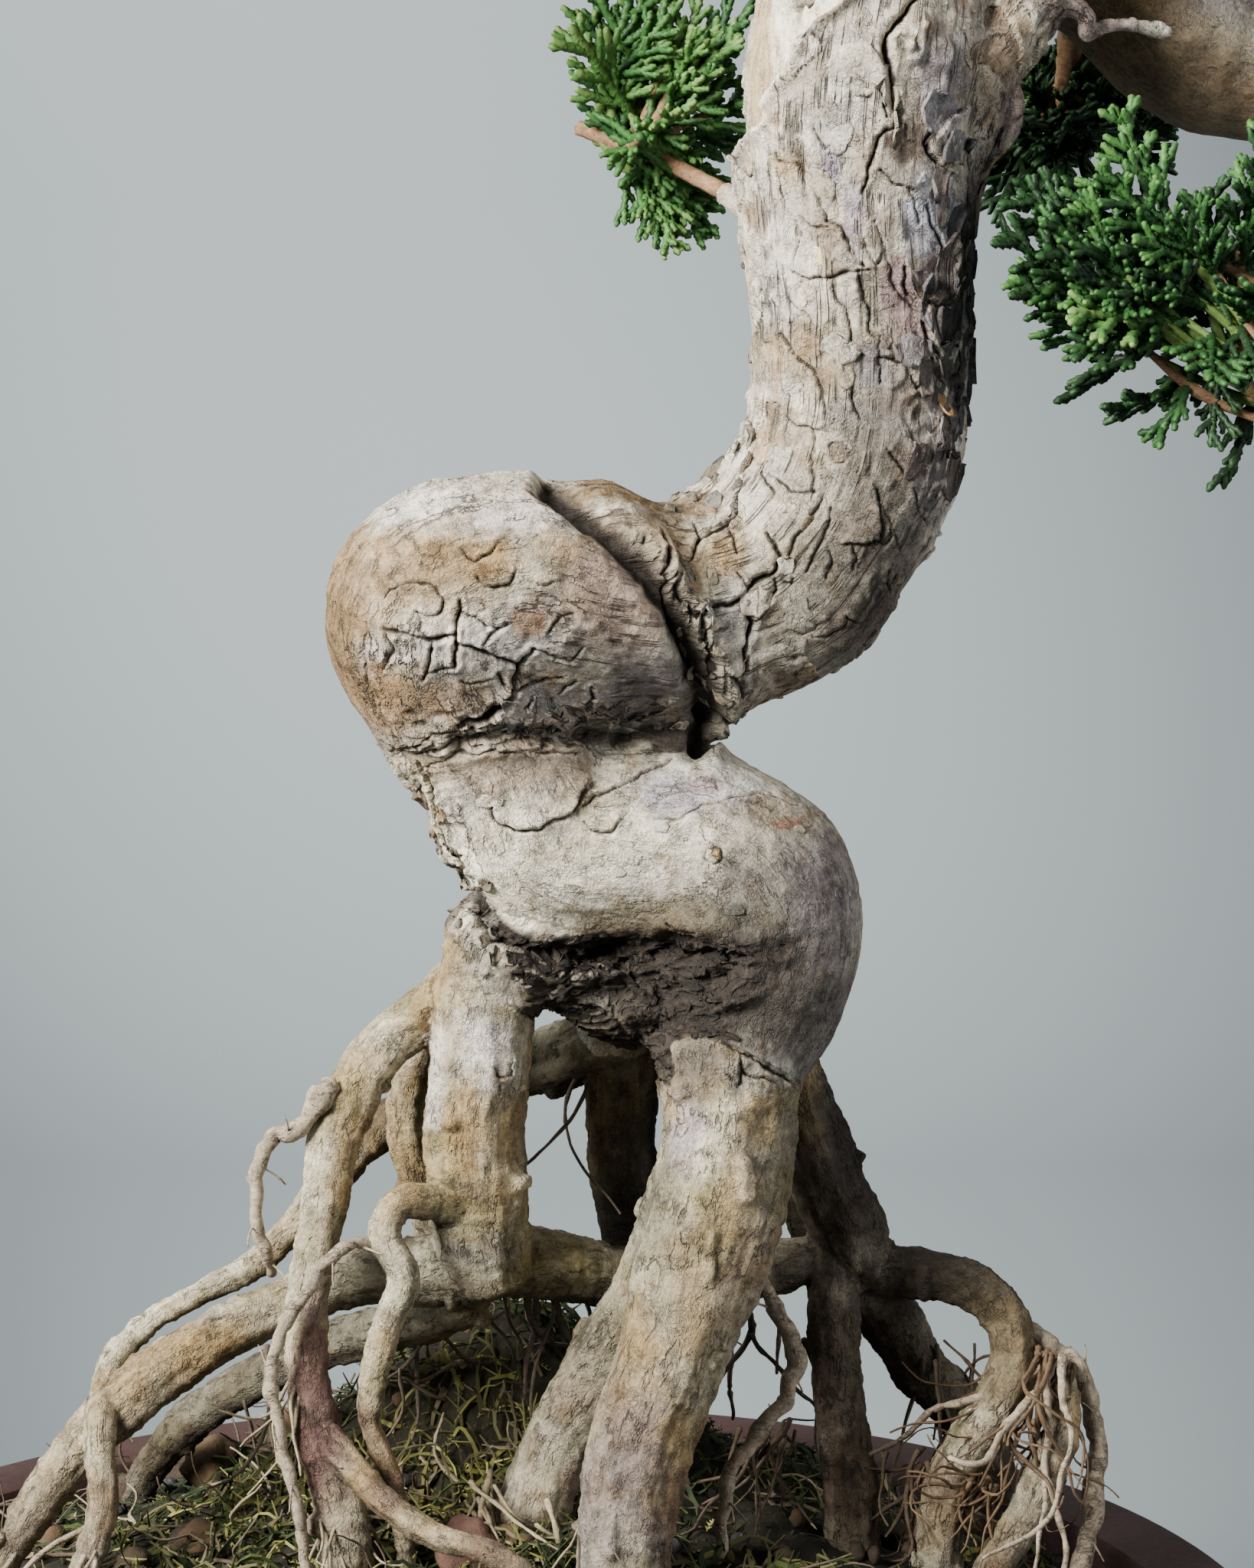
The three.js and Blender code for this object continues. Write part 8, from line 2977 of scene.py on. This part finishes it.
@dataclass
class Studio:
    """The camera at the photograph's angle, the soft lights, the floor and the backdrop."""

    target: tuple[float, float, float] = (18.7, 0, 177)
    distance: float = 481.8
    pitch: float = 6.0
    view_angle: float = 24.0
    eye: tuple[float, float, float] = (18.7, -479.1, 227.4)
    focal: float = 4817.6
    photo: tuple[int, int] = (1638, 2048)

    def ray(self, across: int, down: int) -> tuple[Vector, Vector]:
        """Works out where a place in the photograph lies.

        The eye is the camera's place to a tenth of a millimetre, and focal its focal length in pixels.

        Args:
            across: pixels from the photograph's left edge.
            down: pixels from its top edge.

        Returns:
            The eye in metres, and the direction from it.
        """
        eye, (wide, high) = Vector(self.eye), self.photo
        ahead = (Vector(self.target) - eye).normalized()
        up = Vector((1, 0, 0)).cross(ahead)
        way = ahead * self.focal + up * (high / 2 - down) + Vector((across - wide / 2, 0, 0))
        return eye * MM, way.normalized()

    def build(self) -> None:
        """Sets up the camera, lights and stage."""
        self.camera()
        self.lights()
        self.stage()

    def camera(self) -> None:
        """Places the camera."""
        data = bpy.data.cameras.new("camera")
        data.sensor_fit = "AUTO"
        data.sensor_width = 36.0
        data.lens = 18.0 / math.tan(math.radians(self.view_angle / 2))
        data.clip_end = 20
        camera = bpy.data.objects.new("camera", data)
        tilt = math.radians(self.pitch)
        back = Vector((0, -math.cos(tilt), math.sin(tilt))) * self.distance
        camera.location = (Vector(self.target) + back) * MM
        camera.rotation_euler = Euler((math.pi / 2 - tilt, 0, 0))
        bpy.context.scene.collection.objects.link(camera)
        bpy.context.scene.camera = camera

    def lights(self) -> None:
        """Hangs a soft light at the upper left, a weak fill, and one that washes the backdrop."""
        rows = (
            ("key", (-670, -570, 640), (20, 0, 190), 480, 44.0, (1.0, 0.985, 0.95)),
            ("fill", (900, -210, 310), (20, 0, 170), 620, 4.4, (0.95, 0.96, 1.0)),
            ("wash", (-500, 420, 900), (-250, 900, 350), 500, 6.4, (0.96, 0.98, 1.0)),
        )
        for name, place, target, size, power, colour in rows:
            data = bpy.data.lights.new(name, "AREA")
            data.size = size * MM
            data.energy = power
            data.color = colour
            lamp = bpy.data.objects.new(name, data)
            lamp.location = Vector(place) * MM
            aim = Vector(target) - Vector(place)
            lamp.rotation_euler = aim.to_track_quat("-Z", "Y").to_euler()
            bpy.context.scene.collection.objects.link(lamp)
        world = bpy.data.worlds.new("studio air")
        world.use_nodes = True
        background = world.node_tree.nodes["Background"]
        background.inputs["Color"].default_value = (0.80, 0.86, 0.92, 1)
        background.inputs["Strength"].default_value = 0.18
        bpy.context.scene.world = world

    def stage(self) -> None:
        """Lays a pale floor that curves up into a backdrop, whose painted light falls off from a bright
        middle.
        """
        radius, depth, height = 300, 900, 1900
        outline = [(-1500, 0), (depth - radius, 0)]
        for a in np.linspace(0, math.pi / 2, 10)[1:]:
            outline.append((depth - radius + radius * math.sin(a), radius - radius * math.cos(a)))
        outline.append((depth, height))
        half = 2200
        points = np.array([(x, y, z - 0.05) for y, z in outline for x in (-half, half)], float)
        i = np.arange(len(outline) - 1) * 2
        triangles = np.vstack([np.stack([i, i + 1, i + 3], 1), np.stack([i, i + 3, i + 2], 1)])
        sheaf = Sheaf()
        sheaf.add(points, triangles)
        material, sheet, shader = new_material("pale paper")
        place = sheet.add("SeparateXYZ", {0: sheet.add("TexCoord").outputs["Object"]}).outputs
        away = sheet.math("ADD", place["Y"], 0.479)
        side = sheet.math("DIVIDE", sheet.math("ADD", place["X"], 0.03), away)
        drop = sheet.math("DIVIDE", sheet.math("SUBTRACT", 0.232, place["Z"]), away)
        across = sheet.math("SUBTRACT", side, sheet.math("MULTIPLY", drop, 0.3))
        fall = sheet.math("MULTIPLY", sheet.math("MULTIPLY", across, across), 9.6)
        fall = sheet.math("ADD", fall, sheet.math("MULTIPLY", sheet.math("MULTIPLY", drop, drop), 2.3))
        # Painted light: the paper is pale in the middle and darkens towards its edges.
        lit, dim = (0.34, 0.382, 0.393, 1), (0.0, 0.012, 0.017, 1)
        colour = sheet.mix(sheet.span(fall, 0.0, 0.9, 0.0, 0.9), lit, dim)
        sheet.tree.links.new(colour, shader.inputs["Base Color"])
        shader.inputs["Roughness"].default_value = 0.9
        sheaf.made("backdrop", [material])


def main() -> None:
    """Builds the whole tree in order and reports each piece."""
    logging.basicConfig(level=logging.INFO, format="%(message)s")
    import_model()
    Studio().build()
    wood = Wood()
    skins = wood.build_lower()
    wood.build_upper()
    BarkPlates().build(skins[:3], wood)
    ClayPot().build()
    SoilBed().build()
    FineRoots(SoilForm()).build()
    Crown().build()


if __name__ == "__main__":
    main()
